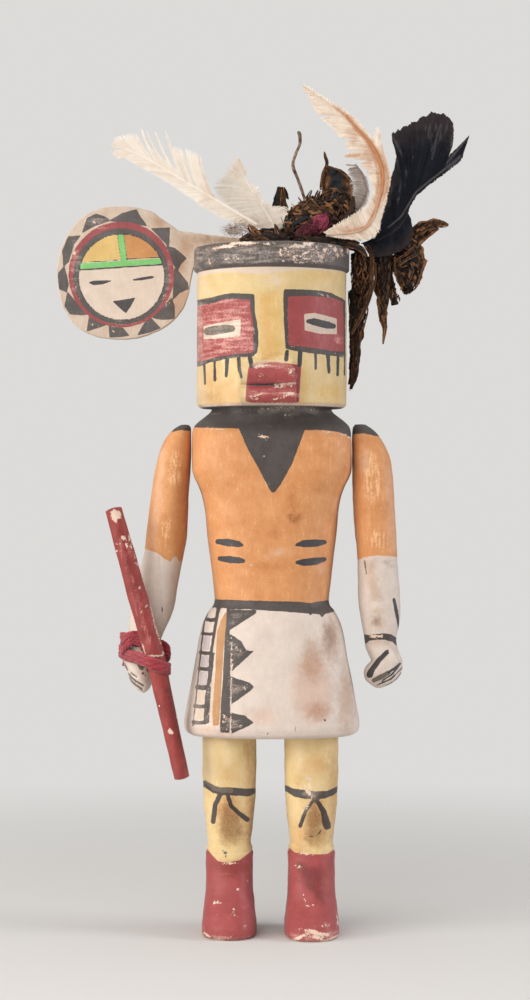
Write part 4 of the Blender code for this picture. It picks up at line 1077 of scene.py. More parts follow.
RIGHT_ARM_SECTIONS = (
    # height, left edge, right edge, reach in front and behind
    (113.4, -57.6, -56.0, -1.0, 3.0),
    (115.2, -60.2, -53.9, -4.6, 6.0),
    (118.0, -62.4, -52.9, -7.0, 8.2),
    (121.8, -64.4, -52.6, -8.2, 9.2),
    (125.8, -65.6, -52.2, -8.8, 9.6),
    (130.0, -66.2, -51.2, -9.0, 9.6),
    (134.5, -66.0, -50.0, -8.4, 9.2),
    (139.0, -64.8, -48.4, -7.8, 9.0),
    (143.5, -64.0, -46.4, -8.0, 9.4),
    (149.0, -63.4, -43.9, -8.6, 10.0),
    (155.5, -62.6, -42.0, -9.4, 10.8),
    (163.0, -60.8, -40.7, -10.2, 11.6),
    (171.0, -58.6, -39.3, -11.0, 12.4),
    (179.4, -56.6, -37.5, -11.6, 13.0),
    (188.0, -55.4, -36.1, -11.9, 13.2),
    (199.5, -54.0, -35.6, -12.0, 13.2),
    (211.0, -52.6, -35.1, -11.8, 13.0),
    (219.5, -51.2, -34.4, -11.2, 12.4),
    (226.0, -49.8, -34.1, -10.4, 11.6),
    (231.5, -47.6, -34.1, -9.0, 10.4),
    (236.0, -44.8, -34.1, -7.2, 8.6),
    (239.4, -41.4, -34.3, -4.8, 6.4),
    (240.8, -38.8, -35.4, -2.4, 4.4),
)
LEFT_ARM_SECTIONS = (
    (115.8, 53.4, 56.6, -2.0, 4.0),
    (117.4, 51.0, 60.4, -5.0, 6.6),
    (120.0, 48.6, 64.2, -7.4, 8.8),
    (123.0, 48.0, 66.0, -8.6, 9.8),
    (126.0, 49.2, 66.5, -9.0, 10.2),
    (128.6, 51.5, 66.4, -9.2, 10.2),
    (131.5, 50.2, 65.4, -9.0, 10.0),
    (134.8, 48.9, 64.0, -8.4, 9.6),
    (138.0, 48.4, 63.4, -8.2, 9.6),
    (144.0, 47.4, 64.4, -9.0, 10.2),
    (151.0, 46.2, 65.4, -9.8, 11.0),
    (160.0, 45.3, 65.2, -10.6, 11.8),
    (170.0, 45.2, 64.4, -11.2, 12.4),
    (180.0, 44.9, 63.7, -11.6, 12.8),
    (190.0, 43.9, 63.2, -11.8, 13.0),
    (202.0, 43.0, 62.6, -12.0, 13.2),
    (211.0, 42.6, 62.2, -11.8, 13.0),
    (219.5, 42.5, 61.3, -11.2, 12.4),
    (225.5, 42.5, 60.2, -10.4, 11.6),
    (231.0, 42.5, 58.0, -9.0, 10.4),
    (235.6, 42.5, 55.2, -7.2, 8.6),
    (239.2, 42.8, 51.4, -4.8, 6.4),
    (241.0, 44.0, 48.6, -2.4, 4.4),
)
ARM_Y = FIGURE_Y - 1.0
# Knife cuts in the arms: where each runs, its width in pixels, and how deep it goes in millimetres
RIGHT_ARM_CUTS = (
    (((160, 556, 2), (162, 600, 2), (163, 640, 1)), 0.35),
    (((124.4, 662.4, 1), (128, 670.4, 1)), 0.5),
    (((130.6, 672.2, 1), (133.6, 674.8, 1), (137.2, 677.2, 1)), 0.5),
    (((128.6, 673.6, 1), (131.6, 677.4, 1), (135.6, 681, 1), (143.8, 685.6, 1)), 0.6),
    (((129, 677.6, 1), (132, 681.6, 1), (136, 685, 1), (142.4, 689.6, 1)), 0.6),
)
LEFT_ARM_CUTS = (
    (((366.8, 642.4, 2), (377.7, 640.6, 2), (388.5, 643.5, 2), (395.5, 649.5, 2), (399.5, 659, 1)), 0.45),
    (((381, 681, 1), (391.5, 673.6, 1), (401, 662.6, 1)), 0.75),
    (((377, 684.8, 1), (391, 678.6, 1), (403.6, 666.3, 1)), 0.8),
    (((382.6, 687.4, 1), (394, 681.4, 1), (404, 669.6, 1)), 0.6),
)


ARM_COLUMNS = 104
ARM_STEP = 0.74
ARM_POWER = 2.3
CUT_SPREAD = 0.45  # millimetres from a cut's edge over which its groove runs out
END_SHARES = (0.03, 0.5, 0.85)


def arm_shape(sections, cuts, seed):
    """An arm as level sections, with its knife cuts pressed in as shallow grooves (bell curves)."""
    table = np.array(sections)
    heights = np.arange(table[0, 0], table[-1, 0], ARM_STEP)
    left, right, front, back = glide(table[:, 0], table[:, 1:], heights).T
    power = np.full(len(heights), ARM_POWER)
    turns = front_turns(ARM_COLUMNS, 0.4)
    points = ring_points(heights, left, right, front + ARM_Y, back + ARM_Y, power, turns)
    flat = points.reshape(-1, 3)
    outward = flat - np.repeat(points.mean(axis=1), ARM_COLUMNS, axis=0)
    reach = np.linalg.norm(outward, axis=1) + 1e-6
    depth = waves(flat, 12.0, seed) * 0.16
    spots = seen(flat)
    for line, deep in cuts:
        groove = np.where(flat[:, 1] < ARM_Y, stroke(spots, line), OUTSIDE)
        depth -= deep * np.exp(-((np.maximum(groove, 0) / CUT_SPREAD) ** 2))
    flat = flat + unit(outward, guard=1e-6) * np.maximum(depth, -0.4 * reach)[:, None]
    points = flat.reshape(points.shape)
    ends = []
    for ring, up in ((points[0], -0.25), (points[-1], 0.2)):
        centre = ring.mean(axis=0)
        ends.append([centre + (ring - centre) * share + (0, 0, up * (1 - share)) for share in END_SHARES])
    return np.concatenate([np.array(ends[0]), points, np.array(ends[1][::-1])])


GLOVES = {
    "right": (
        (135, 552), (146, 549), (150, 550.5), (155, 552), (160, 555), (165, 559.4), (168, 560.4),
        (170, 562), (173, 558), (176, 556), (179, 561), (183, 561), (195, 560),
    ),
    "left": ((345, 561), (358.8, 559.8), (365.8, 556.9), (377.6, 555.4), (397.4, 556.9), (410, 557.5)),
}
SHOULDERS = {
    "right": ((150, 434), (174, 431.5), (182, 430), (192, 431), (210, 431)),
    "left": ((340, 435), (353, 434), (364, 433.4), (376, 436), (392, 437)),
}
ARM_MARKS = {
    "right": {
        "ink": (((162, 607, 1), (162.4, 612, 1.2)),),
        "slate": (
            ((136, 662.6), (144.6, 664.6), (143, 670.4), (139.4, 669.6)),
            ((124.4, 662.4, 1), (126.2, 667.2, 1.7), (128, 670.4, 1.2)),
            ((130.6, 672.2, 1.2), (133.6, 674.8, 2), (137.2, 677.2, 1.2)),
            ((128.6, 673.6, 1.2), (131.6, 677.4, 2), (135.6, 681, 2.2), (143.8, 685.6, 1.8)),
            ((129, 677.6, 1.2), (132, 681.6, 2), (136, 685, 2.2), (142.4, 689.6, 1.6)),
        ),
        "red": ((142.8, 673.4, 1.5, 1.3), (148.2, 670, 1.7, 2.2), (145.4, 675.6, 0.8, 1)),
        # Painted shade down the arm's inner side by the torso
        "tan": (((188, 470, 2), (186, 530, 3)),),
        # Painted highlight down the arm's lit left side
        "haze": (((162, 450, 6), (157, 500, 6), (152, 545, 5)),),
        "rub": ((176, 470, 8, 20), (166, 530, 8, 12)),
    },
    "left": {
        "charcoal": (
            (
                (350, 634.5), (365.3, 634.5), (369.7, 635), (377, 633.8), (384.6, 633.2), (391.5, 634.5),
                (397.4, 638.4), (405, 641), (405, 650), (396.9, 646), (392.5, 642), (384.6, 639.8),
                (377, 639.4), (369.7, 641), (365.5, 643.6), (350, 644),
            ),
        ),
        "ink": (
            ((394, 599.6, 3.4), (396.4, 612, 3.4), (397.9, 620, 2.6), (398.9, 630, 1.6)),
            (
                (386.6, 652.4, 4.4), (382, 657, 4.8), (378.6, 660.7, 5.2), (372.7, 668.6, 5.4),
                (369.6, 674.6, 6.8),
            ),
            ((385.6, 652.4, 2.6), (388.4, 649.6, 0.7)), ((387, 653.6, 2.4), (389.6, 653.2, 0.6)),
            ((388, 672.6, 2.4), (394, 668.6, 2), (400.4, 663.2, 1.4)),
            ((382.6, 680.4, 1.4), (392, 674.4, 1.6), (401, 663.6, 1.2)),
            ((377.6, 684.9, 1.6), (391, 679, 1.6), (403.4, 666.7, 1)),
            ((384, 686.8, 0.8), (394, 681.6, 1), (404, 669.6, 0.8)),
        ),
        "slate": (
            ((373.6, 680.6, 4.2), (380, 677.4, 5.2), (388.5, 672.6, 4.4)),
            ((364.6, 561, 1.2), (366.4, 574, 1.2)),
        ),
        "tan": (
            (
                (366, 562), (374.6, 561), (373.4, 574), (379, 590), (381.4, 598), (371.6, 599), (369, 582),
                (367, 574),
            ),
            # Painted shade line under the wrist band
            ((367.8, 643.6, 1.6), (377.7, 641.2, 1.8), (388.5, 644.2, 1.8), (395.5, 650, 1.4)),
            (376, 612, 4, 3), (378, 624, 5, 4),
        ),
        "smoke": ((388, 563, 1.6, 1.6), (391, 566.6, 1.4, 1.2), (376, 620, 3, 3)),
        # Painted highlight down the arm's right edge, and a pale patch near the shoulder
        "haze": (((389, 470, 4), (393, 520, 4), (394, 550, 3)), (364, 462, 5, 10)),
        "gesso": (
            ((370.4, 636.4, 2.2), (377, 636, 3), (383, 635.8, 1.6)), ((362, 558.2, 0.8), (368, 556.6, 0.8)),
            (381, 508, 0.7, 0.9), (376, 545, 0.8, 0.6),
        ),
        "rub": ((372, 480, 10, 26), (378, 540, 10, 10), (378, 636, 12, 3)),
    },
}


def paint_arm(flat, side):
    """Every coat's distance on an arm: its colour, the long glove, the black shoulder and the lines."""
    spots, in_front = mirrored(flat, ARM_Y)
    fields = {
        "orange": np.full(len(flat), -1.0),
        "cream": below(spots, GLOVES[side]),
        "charcoal": -below(spots, SHOULDERS[side]),
    }
    add_marks(fields, spots, in_front, ARM_MARKS[side])
    return fields


ARMS = {"right": (RIGHT_ARM_SECTIONS, RIGHT_ARM_CUTS, 31), "left": (LEFT_ARM_SECTIONS, LEFT_ARM_CUTS, 32)}
for side, (sections, cuts, seed) in ARMS.items():
    arm = arm_shape(sections, cuts, seed)
    arm_skin = complete((*shell(arm), paint_arm(arm.reshape(-1, 3), side)), FIGURE_FIELDS)
    piece(f"carved_{side}_arm", arm_skin, PAINTED_WOOD, f"{side}_arm")


# The sun board

BOARD_COATS = (
    ("cream", "d2bfae", "bca793", "dccdbd", 0.10, 0.10, 0.05, 0.02, "level"),
    ("charcoal", "625c5a", "4a4645", "8d837c", 0.12, 0.12, 0.08, 0.03, "level"),
    ("red", "a04e50", "8b3f42", "bf8a84", 0.20, 0.14, 0.10, 0.03, "level"),
    ("face", "decdbe", "cdbcac", "e6d8ca", 0.10, 0.10, 0.00, 0.03, "level"),
    ("yellow", "dcbc78", "cbaa66", "e4ce9c", 0.10, 0.10, 0.10, 0.02, "level"),
    ("orange", "cb925b", "b9804a", "d8ac7c", 0.10, 0.10, 0.12, 0.02, "level"),
    ("green", "88ca7d", "6eb664", "b4d8a8", 0.08, 0.10, 0.10, 0.03, "level"),
    ("ink", "4e4a4b", "3a3739", "817874", 0.10, 0.08, 0.05, 0.02, "level"),
)
BOARD_STAINS = (("tan", "cfa27a", 0.50, 2.4, "MULTIPLY"), ("smoke", "a08c7a", 0.45, 2.4, "MULTIPLY"))
PAINTED_BOARD = painted("painted_thin_board", ("c8b3a1", "b29b87"), BOARD_COATS, BOARD_STAINS)
BOARD_MIDDLE = np.array((-66.3, 313.9))
BOARD_RADIUS = 32.0
BOARD_FRONT, BOARD_BACK = 6.0, 10.0
TAB_END = -9.0
TAB_FOOT = 316.4
BOARD_EDGE = 0.4  # how far the board's edge is rounded
BOARD_ARC = (64.0, 340.0)  # degrees between which the disc's own edge shows
BOARD_BULGES = ((228.0, 0.08, 26.0), (322.0, 0.035, 24.0), (120.0, 0.03, 30.0), (90.0, -0.03, 22.0))
TAB_CORNERS = (
    (-33.6, TAB_FOOT - 2.4), (-32.8, TAB_FOOT), (TAB_END, TAB_FOOT), (TAB_END, 330.0), (-27.0, 332.0),
    (-40.0, 333.6),
)
OUTLINE_STEP, NET_STEP = 0.75, 0.62  # millimetres between points on the outline, and of the net inside it
NET_CLEAR = 0.45  # the least distance between the net and the outline
SUN_RAYS = (
    ((108, 221), (111.2, 219.4), (122, 213), (136.6, 209.1), (141, 217), (147.6, 226.4), (130, 224)),
    ((150.4, 228.2), (170.1, 227.3), (169.1, 247.9), (160, 238)),
    ((165.7, 245.4), (175, 248), (187.3, 258.4), (182, 263), (177.8, 270.9), (171, 262)),
    ((174, 267.9), (177.8, 269.9), (187.8, 282.3), (189.2, 289), (180, 293), (172.4, 300.6)),
    ((171.4, 297.6), (174.9, 306), (174.9, 319.1), (163, 320), (151.3, 318.1)),
    ((150.4, 317.1), (161, 328.2), (149, 333), (137, 335.4), (143.8, 323.4)),
    ((108.4, 322.4), (112, 327), (122.7, 327.3), (129.8, 335.6), (120, 337.4), (109.4, 337.4)),
    ((89.2, 313.8), (97, 319), (106.5, 325.4), (98, 328), (86.4, 332), (88, 322)),
    ((67.2, 290.9), (64.4, 306.2), (70, 314.4), (81.6, 315.4), (90, 314), (78, 304)),
    ((64.4, 265), (58.1, 273), (57.1, 288), (66.7, 292.9), (69, 284)),
    ((81.1, 235.3), (68.2, 236.4), (62, 250.7), (63.4, 267), (69, 262), (74, 245)),
    ((81.6, 233.6), (86.8, 218.2), (95.5, 213.4), (104, 216), (111.3, 220.6), (95, 226)),
)


def board_outline():
    """The board's outline seen from the front: a circle with a few soft bulges, and the tab's corners."""
    turn = np.radians(np.linspace(*BOARD_ARC, 250))
    radius = np.full(len(turn), BOARD_RADIUS)
    for place, share, spread in BOARD_BULGES:
        radius += BOARD_RADIUS * share * np.exp(-(((np.degrees(turn) - place) / spread) ** 2))
    disc = BOARD_MIDDLE + np.stack([radius * np.cos(turn), radius * np.sin(turn)], axis=1)
    corners = np.vstack([disc, TAB_CORNERS, disc[:1]])
    length = lengths_along(corners)
    wanted = np.linspace(0, length[-1], int(length[-1] / OUTLINE_STEP), endpoint=False)
    outline = np.stack([np.interp(wanted, length, column) for column in corners.T], axis=1)
    jitter = waves(np.column_stack([outline, 0 * wanted]), 7.0, 41) * 0.12
    return outline + unit(outline - BOARD_MIDDLE) * (jitter - 0.06)[:, None]


def board_shape():
    """Front and back as the same fine net of triangles inside the outline, joined by a rounded edge."""
    outline = board_outline()
    side = np.roll(outline, -1, axis=0) - np.roll(outline, 1, axis=0)
    inner = outline + unit(np.stack([-side[:, 1], side[:, 0]], axis=1)) * BOARD_EDGE
    low, high = outline.min(0), outline.max(0)
    across, up = np.meshgrid(np.arange(low[0], high[0], NET_STEP), np.arange(low[1], high[1], NET_STEP))
    across = across + (np.arange(len(across)) % 2)[:, None] * NET_STEP / 2
    net = np.stack([across.ravel(), up.ravel()], axis=1)
    corners = np.vstack([inner, net[patch(net, inner) / PIXEL < -NET_CLEAR]])
    count = len(inner)
    edges = [(at, (at + 1) % count) for at in range(count)]
    found = delaunay_2d_cdt([Vector(corner) for corner in corners], edges, [], 1, 1e-6)
    flat = np.array([tuple(corner) for corner in found[0]])
    faces = np.array([tuple(face) for face in found[2]])
    a, b, c = (flat[faces[:, corner]] for corner in range(3))
    turned = (b[:, 0] - a[:, 0]) * (c[:, 1] - a[:, 1]) - (b[:, 1] - a[:, 1]) * (c[:, 0] - a[:, 0]) < 0
    faces[turned] = faces[turned][:, ::-1]
    total = len(flat)
    front = np.column_stack([flat[:, 0], np.full(total, BOARD_FRONT), flat[:, 1]])
    back = front + (0, BOARD_BACK - BOARD_FRONT, 0)
    depths = (BOARD_FRONT + BOARD_EDGE, BOARD_BACK - BOARD_EDGE)
    rim = [np.column_stack([outline[:, 0], np.full(count, y), outline[:, 1]]) for y in depths]
    loops = [start + np.arange(count) for start in (0, 2 * total, 2 * total + count, total)]
    around = []
    for first, second in zip(loops[:-1], loops[1:]):
        around.append(np.stack([first, second, np.roll(second, -1), np.roll(first, -1)], axis=1))
    skin = faces.tolist() + (faces[:, ::-1] + total).tolist() + np.concatenate(around).tolist()
    return np.vstack([front, back, *rim]), skin


BOARD_MARKS = {
    "charcoal": SUN_RAYS + ((121.3, 276.0, 48.8, 48.8),),
    "ink": (
        ((89.6, 282.8, 1.6), (94, 282.9, 4.4), (102, 282.4, 4.2), (110.6, 281.0, 1.4)),
        ((133.6, 279.9, 1.8), (141, 278.9, 2.8), (151.5, 277.3, 2.8), (153.6, 277, 1.4)),
        ((112.2, 301), (120, 300.2), (135.6, 297.6), (131, 306), (126, 313.4), (119, 307.6)),
    ),
    "tan": ((182, 306, 12, 20), (180, 262, 6, 14), (160, 222, 6, 7), (205, 240, 22, 4), (186, 246, 8, 10)),
    "smoke": ((222, 240, 10, 3),),
    "gesso": (
        (74.4, 252.6, 1.4, 2.0), (94, 222, 1.0, 1.2), (113, 331, 1.0, 1.0), (92, 324, 1.2, 0.9),
        (68, 300, 0.8, 0.8),
    ),
    "rub": ((76, 270, 8, 30), (100, 222, 20, 8), (168, 276, 6, 30), (120, 322, 26, 5)),
    "flecks": (((72, 256, 3), (74, 276, 3), (80, 300, 3)), (166, 300, 5, 8), (110, 327, 14, 3)),
}


# The sun's face: its oval, the ring's two edges, and the lines that divide it
FACE_OVAL = (121.6, 277.0, 43.2, 43.2)
RING_OUTSIDE = (121.3, 274.6, 52.8, 52.8)
RING_INSIDE = (121.3, 276.4, 48.0, 48.2)
BAR_SIDES = (117.4, 123.6)  # how far across the bar's two sides lie at its top
BAR_TOP, BAR_LEAN = 234, 0.13
BROW = ((70, 263.2), (117, 260.2), (170, 257.2))
BAND_TOP = ((70, 264), (170, 257.8))
BAND_FOOT = ((70, 270), (170, 263.4))
FACE_STROKES = (
    ((70, 270.6, 1.6), (170, 264.0, 1.6)), ((70, 263.2, 1.0), (117.6, 260.2, 1.0)),
    ((126.8, 259.2, 1.0), (170, 256.8, 1.0)),
)


def paint_board(points):
    """Every coat's distance on the board: the sun's rays, rings and face."""
    spots = seen(points)
    front = points[:, 1] < BOARD_FRONT + 0.2
    oval = blot(spots, *FACE_OVAL)
    lean = (spots[:, 1] - BAR_TOP) * BAR_LEAN
    left, right = ((spots[:, 0] - side - lean) * PIXEL for side in BAR_SIDES)
    upper = -below(spots, BROW)
    under_brow = below(spots, BAND_TOP)
    green = both(under_brow, -below(spots, BAND_FOOT), oval)
    upright = both(-left, right, oval, -under_brow - 1)
    lines = [np.abs(oval) - 0.35, *(stroke(spots, line) for line in FACE_STROKES)]
    lines += [both(np.abs(side) - 0.2, -under_brow) for side in (left, right)]
    drawn_shapes = {
        "red": both(blot(spots, *RING_OUTSIDE), -blot(spots, *RING_INSIDE)),
        "face": oval,
        "yellow": both(oval, upper, left),
        "orange": both(oval, upper, -right),
        "green": either(green, upright),
        "ink": both(either(*lines), oval - 0.2),
    }
    fields = {coat: np.where(front, distance, OUTSIDE) for coat, distance in drawn_shapes.items()}
    fields["cream"] = np.full(len(points), -1.0)
    add_marks(fields, spots, front, BOARD_MARKS)
    return fields


board_points, board_faces = board_shape()
board_skin = (board_points, board_faces, paint_board(board_points))
painted_sun = complete(board_skin, painted_fields(BOARD_COATS, BOARD_STAINS))
piece("painted_sun_board", painted_sun, PAINTED_BOARD, "sun_board", 35.0)


# The red stick

STICK = (
    # points down its middle, with the radius there
    (-69.9, -15.5, 200.6, 3.9),
    (-60.1, -15.5, 165.0, 4.5),
    (-50.9, -15.5, 132.6, 4.7),
    (-46.0, -15.5, 111.2, 4.1),
    (-38.0, -15.5, 75.0, 3.6),
)
STICK_COATS = (("red", "9a3a36", "7d2c29", "b86b68", 0.10, 0.10, 0.10, 0.03, "upright"),)
STICK_STAINS = (("smoke", "7e4a46", 0.45, 1.6, "MULTIPLY"),)
STICK_PAINT = painted("red_painted_stick", ("dccabb", "c6ae9e"), STICK_COATS, STICK_STAINS)


STICK_RINGS, STICK_COLUMNS = 280, 56
STICK_CAPS = ((0.85, 0.1), (0.7, 0.45), (0.4, 0.75),
              (0.15, 0.93))  # how far past the end, share of the radius


def stick_shape():
    """A round stick along its middle line, slightly uneven from the knife, with rounded ends."""
    line = trace(STICK, STICK_RINGS)
    along = unit(np.gradient(line[:, :3], axis=0))
    tip = [(*(line[0, :3] - along[0] * reach), line[0, 3] * share) for reach, share in STICK_CAPS]
    foot = [(*(line[-1, :3] + along[-1] * reach), line[-1, 3] * share) for reach, share in STICK_CAPS[::-1]]
    rows = np.vstack([tip, line, foot])
    along = np.pad(along, ((len(tip), len(foot)), (0, 0)), mode="edge")
    across = unit(np.cross(along, FORWARD))
    outward = np.cross(across, along)
    turn = np.arange(STICK_COLUMNS) * math.tau / STICK_COLUMNS
    round_way = np.cos(turn)[:, None] * across[:, None] + np.sin(turn)[:, None] * outward[:, None]
    flat = (rows[:, None, :3] + round_way * rows[:, 3][:, None, None]).reshape(-1, 3)
    uneven = waves(flat, 11.0, 51) * 0.16 + waves(flat * (1, 1, 0.2), 4.0, 52) * 0.05
    uneven = uneven * np.repeat(rows[:, 3] > 3, STICK_COLUMNS)
    return (flat + round_way.reshape(-1, 3) * uneven[:, None]).reshape(round_way.shape)


STICK_MARKS = {
    "rub": (
        ((143, 575, 3), (150, 600, 7), (155, 620, 8), (160, 640, 4)),
        ((132, 590, 1.4), (140, 618, 2.4), (146, 640, 1.4)), (172, 733, 4.6, 3),
        ((116, 520, 6), (128, 566, 7), (148, 640, 8)),
    ),
    # Painted shade down the lower stick's right side, and a dark stain higher up
    "smoke": (((168, 690, 3), (186, 770, 3)), ((120, 530, 2), (134, 590, 3), (144, 640, 2))),
    "gesso": (
        ((110, 512), (114, 509.4), (121, 512), (121.5, 518), (117.6, 519.4), (116.4, 523), (112, 520.6)),
        (123.4, 538, 1.9, 2), (126.3, 545.4, 1.6, 2.6), (120.4, 543.6, 2.2, 0.7), (118.4, 551.3, 2.6, 0.6),
        (129.4, 538, 0.9, 3.4), (131.4, 546, 0.7, 3), (134.6, 556, 0.7, 3.2), (137.6, 564, 0.8, 2.4),
        (141.4, 572, 0.7, 2),
        ((149.6, 598, 0.8), (151.6, 610, 1.3), (154.6, 624, 1.1), (158.6, 636, 1.4), (161, 644, 0.6)),
        ((145.4, 655.2, 1), (154, 656.2, 1.2), (163.6, 655.4, 1.2)), (163.2, 652.6, 1.3, 1.5),
        ((141.6, 642, 0.4), (145.6, 655, 0.7)), (159.2, 706.4, 1, 1), (171.4, 732.4, 2.2, 1.6),
        (169.4, 731, 1, 1.6), (177, 716, 0.5, 1.6), (140, 588, 0.8, 1.4), (146, 606, 1, 0.8),
    ),
    "flecks": (
        ((145, 580, 3), (150, 600, 4.4), (156, 625, 5), (160, 640, 4)), (116, 516, 6, 6),
        ((126, 540, 5), (138, 570, 4)), ((136, 590, 2), (144, 620, 3)),
    ),
}


def paint_stick(points):
    """The stick's red paint, where it has rubbed thin, its chips, a dark stain and painted shade down its
    right side.
    """
    fields = {"red": np.full(len(points), -1.0)}
    add_marks(fields, seen(points), points[:, 1] < -14.0, STICK_MARKS)
    return fields


stick = stick_shape()
stick_skin = complete((*shell(stick), paint_stick(stick.reshape(-1, 3))),
                      painted_fields(STICK_COATS, STICK_STAINS))
piece("painted_stick", stick_skin, STICK_PAINT, "red_stick")


# The yarn

YARN_TURNS = 2
YARN_PITCH = 5.1
YARN_TOP = 137.7
YARN_ARCH = 3.5
YARN_TILT = 0.2
YARN_REACH = 1.85  # from what it goes round to its middle
FIST_X = -58.6
KNOT_POST = (-46.8, -6.6, 1.0, 1.0)
YARN_START = 100.0  # degrees round the fist where the first turn begins
OVER_STICK = 0.98  # turns after which the yarn goes over the stick as well
PLY, LAY, PLIES = 0.62, 5.2, 3  # half a ply's width, the length of one twist, and plies in a strand
PLY_STEP = 0.42  # millimetres between a ply's rings
STRAND_LEVELS = (-2.1, -1.1, 0.0, 1.0, 2.0)  # where the strands lie in the band
SHORT_STRANDS = (
    # seed, length of one twist, points down the middle: four that cross the top of the band, and a loose end
    (
        90, LAY,
        (
            (-66.2, -3.2, 139.4), (-64.2, -8.0, 141.4), (-60.4, -10.4, 142.6), (-57.2, -10.8, 141.8),
            (-56.6, -10.2, 138.4),
        ),
    ),
    (
        93, LAY,
        (
            (-66.8, -3.9, 136.8), (-64.6, -8.6, 139.4), (-60.6, -10.4, 141.2), (-57.2, -10.7, 140.4),
            (-56.6, -10.2, 137.4),
        ),
    ),
    (
        94, LAY,
        (
            (-67.0, -4.8, 132.4), (-64.8, -9.1, 135.2), (-60.8, -10.6, 137.8), (-57.6, -10.9, 136.8),
            (-56.8, -10.4, 134.2),
        ),
    ),
    (
        91, LAY,
        (
            (-66.9, -4.4, 134.0), (-64.6, -9.0, 137.0), (-60.8, -10.6, 139.4), (-57.6, -10.9, 138.6),
            (-56.8, -10.4, 136.0),
        ),
    ),
    (
        92, 4.6,
        (
            (-50.0, -11.2, 124.8), (-52.0, -11.4, 121.4), (-50.2, -11.8, 118.8), (-48.6, -11.2, 121.8),
            (-47.2, -10.4, 125.0),
        ),
    ),
)


def touch(direction, posts):
    """Where a loop drawn tight round several oval posts lies, for one outward direction."""
    found = []
    for x, y, half_x, half_y in posts:
        reach = np.array([half_x**2 * direction[0], half_y**2 * direction[1]])
        reach /= math.hypot(half_x * direction[0], half_y * direction[1])
        found.append(np.array([x, y]) + reach + YARN_REACH * direction)
    return max(found, key=lambda spot: spot @ direction)


def yarn_path():
    """The middle of the yarn's band: one turn behind the stick and one over it, drawn tight."""
    arm, stick_rows = np.array(RIGHT_ARM_SECTIONS), np.array(STICK)[::-1]
    line = []
    for share in np.arange(0, YARN_TURNS + 0.2, 1 / 20):
        turn = math.radians(YARN_START) + share * math.tau
        direction = np.array([math.cos(turn), math.sin(turn)])
        height = YARN_TOP - YARN_PITCH * share
        if share < OVER_STICK:
            height += YARN_ARCH * max(0.0, -direction[1])
        left, right, front, back = (np.interp(height, arm[:, 0], column) for column in arm[:, 1:].T)
        middle_x, middle_y = (left + right) / 2, (front + back) / 2 + ARM_Y
        posts = [(middle_x, middle_y, (right - left) / 2 + 0.6, (back - front) / 2), KNOT_POST]
        if share >= OVER_STICK:
            x, y, radius = (np.interp(height, stick_rows[:, 2], stick_rows[:, at]) for at in (0, 1, 3))
            posts.append((x, y, radius + 0.67, radius))
        x, y = touch(direction, posts)
        line.append((x, y, height - YARN_TILT * (x - FIST_X)))
    line = np.array(line)
    for _ in range(2):
        line[1:-1] = (line[:-2] + 2 * line[1:-1] + line[2:]) / 4
    return line


def twisted(line, lay, seed, sides=6):
    """A twisted strand along a line: each ply turns round the line once in `lay` mm, half a ply away."""
    length = np.linalg.norm(np.diff(line, axis=0), axis=1).sum()
    path = trace(line, int(length / PLY_STEP))
    _, across, outward = directions(path, UPWARD, guard=1e-9)
    at = np.linspace(0, length, len(path))
    paths = []
    for number in range(PLIES):
        turn = (at / lay + number / PLIES) * math.tau
        paths.append(path + PLY * 0.62 * (np.cos(turn)[:, None] * across + np.sin(turn)[:, None] * outward))
    thick = PLY * (1 + 0.12 * waves(path, 9.0, seed))
    thick[:3] *= (0.4, 0.7, 0.9)
    thick[-3:] *= (0.9, 0.7, 0.4)
    points, faces = bundle(np.array(paths), thick[None], thick[None], UPWARD, sides)
    rng = np.random.default_rng(seed)
    return points, faces, {"tone": np.repeat(rng.uniform(0, 1, PLIES), len(path) * sides)}


def wool(name, light, dark):
    """Dyed wool yarn: deep matt colour, fine twisted hairs, tone that shifts a little along a strand."""
    grains = (("fuzz", 0.35, 4.0, EVEN), ("drift", 3.5, 2.0, EVEN))
    made, shader, add, grain = new_finish(name, 0.92, 0.15, grains)
    shader.inputs["Sheen Weight"].default_value = 0.35
    shader.inputs["Sheen Roughness"].default_value = 0.6
    tone = add("Math", {0: add("Attribute", out=2, attribute_name="tone"), 1: 0.5, 2: 0.15}, **ADDED)
    for label, share in (("fuzz", 0.5), ("drift", 0.4)):
        tone = add("Math", {0: grain[label], 1: share, 2: tone}, **ADDED)
    join = made.node_tree.links.new
    join(add("Mix", {0: tone, 6: linear(dark), 7: linear(light)}, **COLOURS), shader.inputs["Base Color"])
    hairs = {"Height": grain["fuzz"], "Distance": 0.12 * MM, "Strength": 1.0}
    join(add("Bump", hairs), shader.inputs["Normal"])
    return made


RED_WOOL = wool("red_wool_yarn", "b83442", "721823")


def make_yarn():
    """Strands side by side along the band, short ones that cross it at the top, and a loose end."""
    band = yarn_path()
    across = unit(np.cross(np.gradient(band, axis=0), UPWARD))
    strands = []
    for number, level in enumerate(STRAND_LEVELS):
        wander = waves(band, 16.0, 60 + number) * 0.5
        inward = 0.25 * waves(band, 10.0, 70 + number) - 0.1
        line = band + np.array(UPWARD) * (level + wander)[:, None] + across * inward[:, None]
        strands.append(twisted(line, LAY, 80 + number))
    for seed, lay, points in SHORT_STRANDS:
        strands.append(twisted(trace(points, 24), lay, seed))
    return joined(strands)


piece("wool_yarn", make_yarn(), RED_WOOL, "yarn_tie", 80.0)


# The feathers


def at_depth(across, down, y):
    """A place in the photograph, in pixels, as millimetres at a depth y."""
    scale = PIXEL * (y - EYE[1]) / -EYE[1]
    x = EYE[0] + (across - PHOTO_MIDDLE[0]) * scale
    z = EYE[2] + (PHOTO_MIDDLE[1] - down) * scale
    return np.stack(np.broadcast_arrays(x, y, z), axis=-1)


BARB_POINTS = 9
BARB_SPACING = 0.44  # millimetres between barbs
BARB_GROUP = 7  # how many barbs draw together, on average


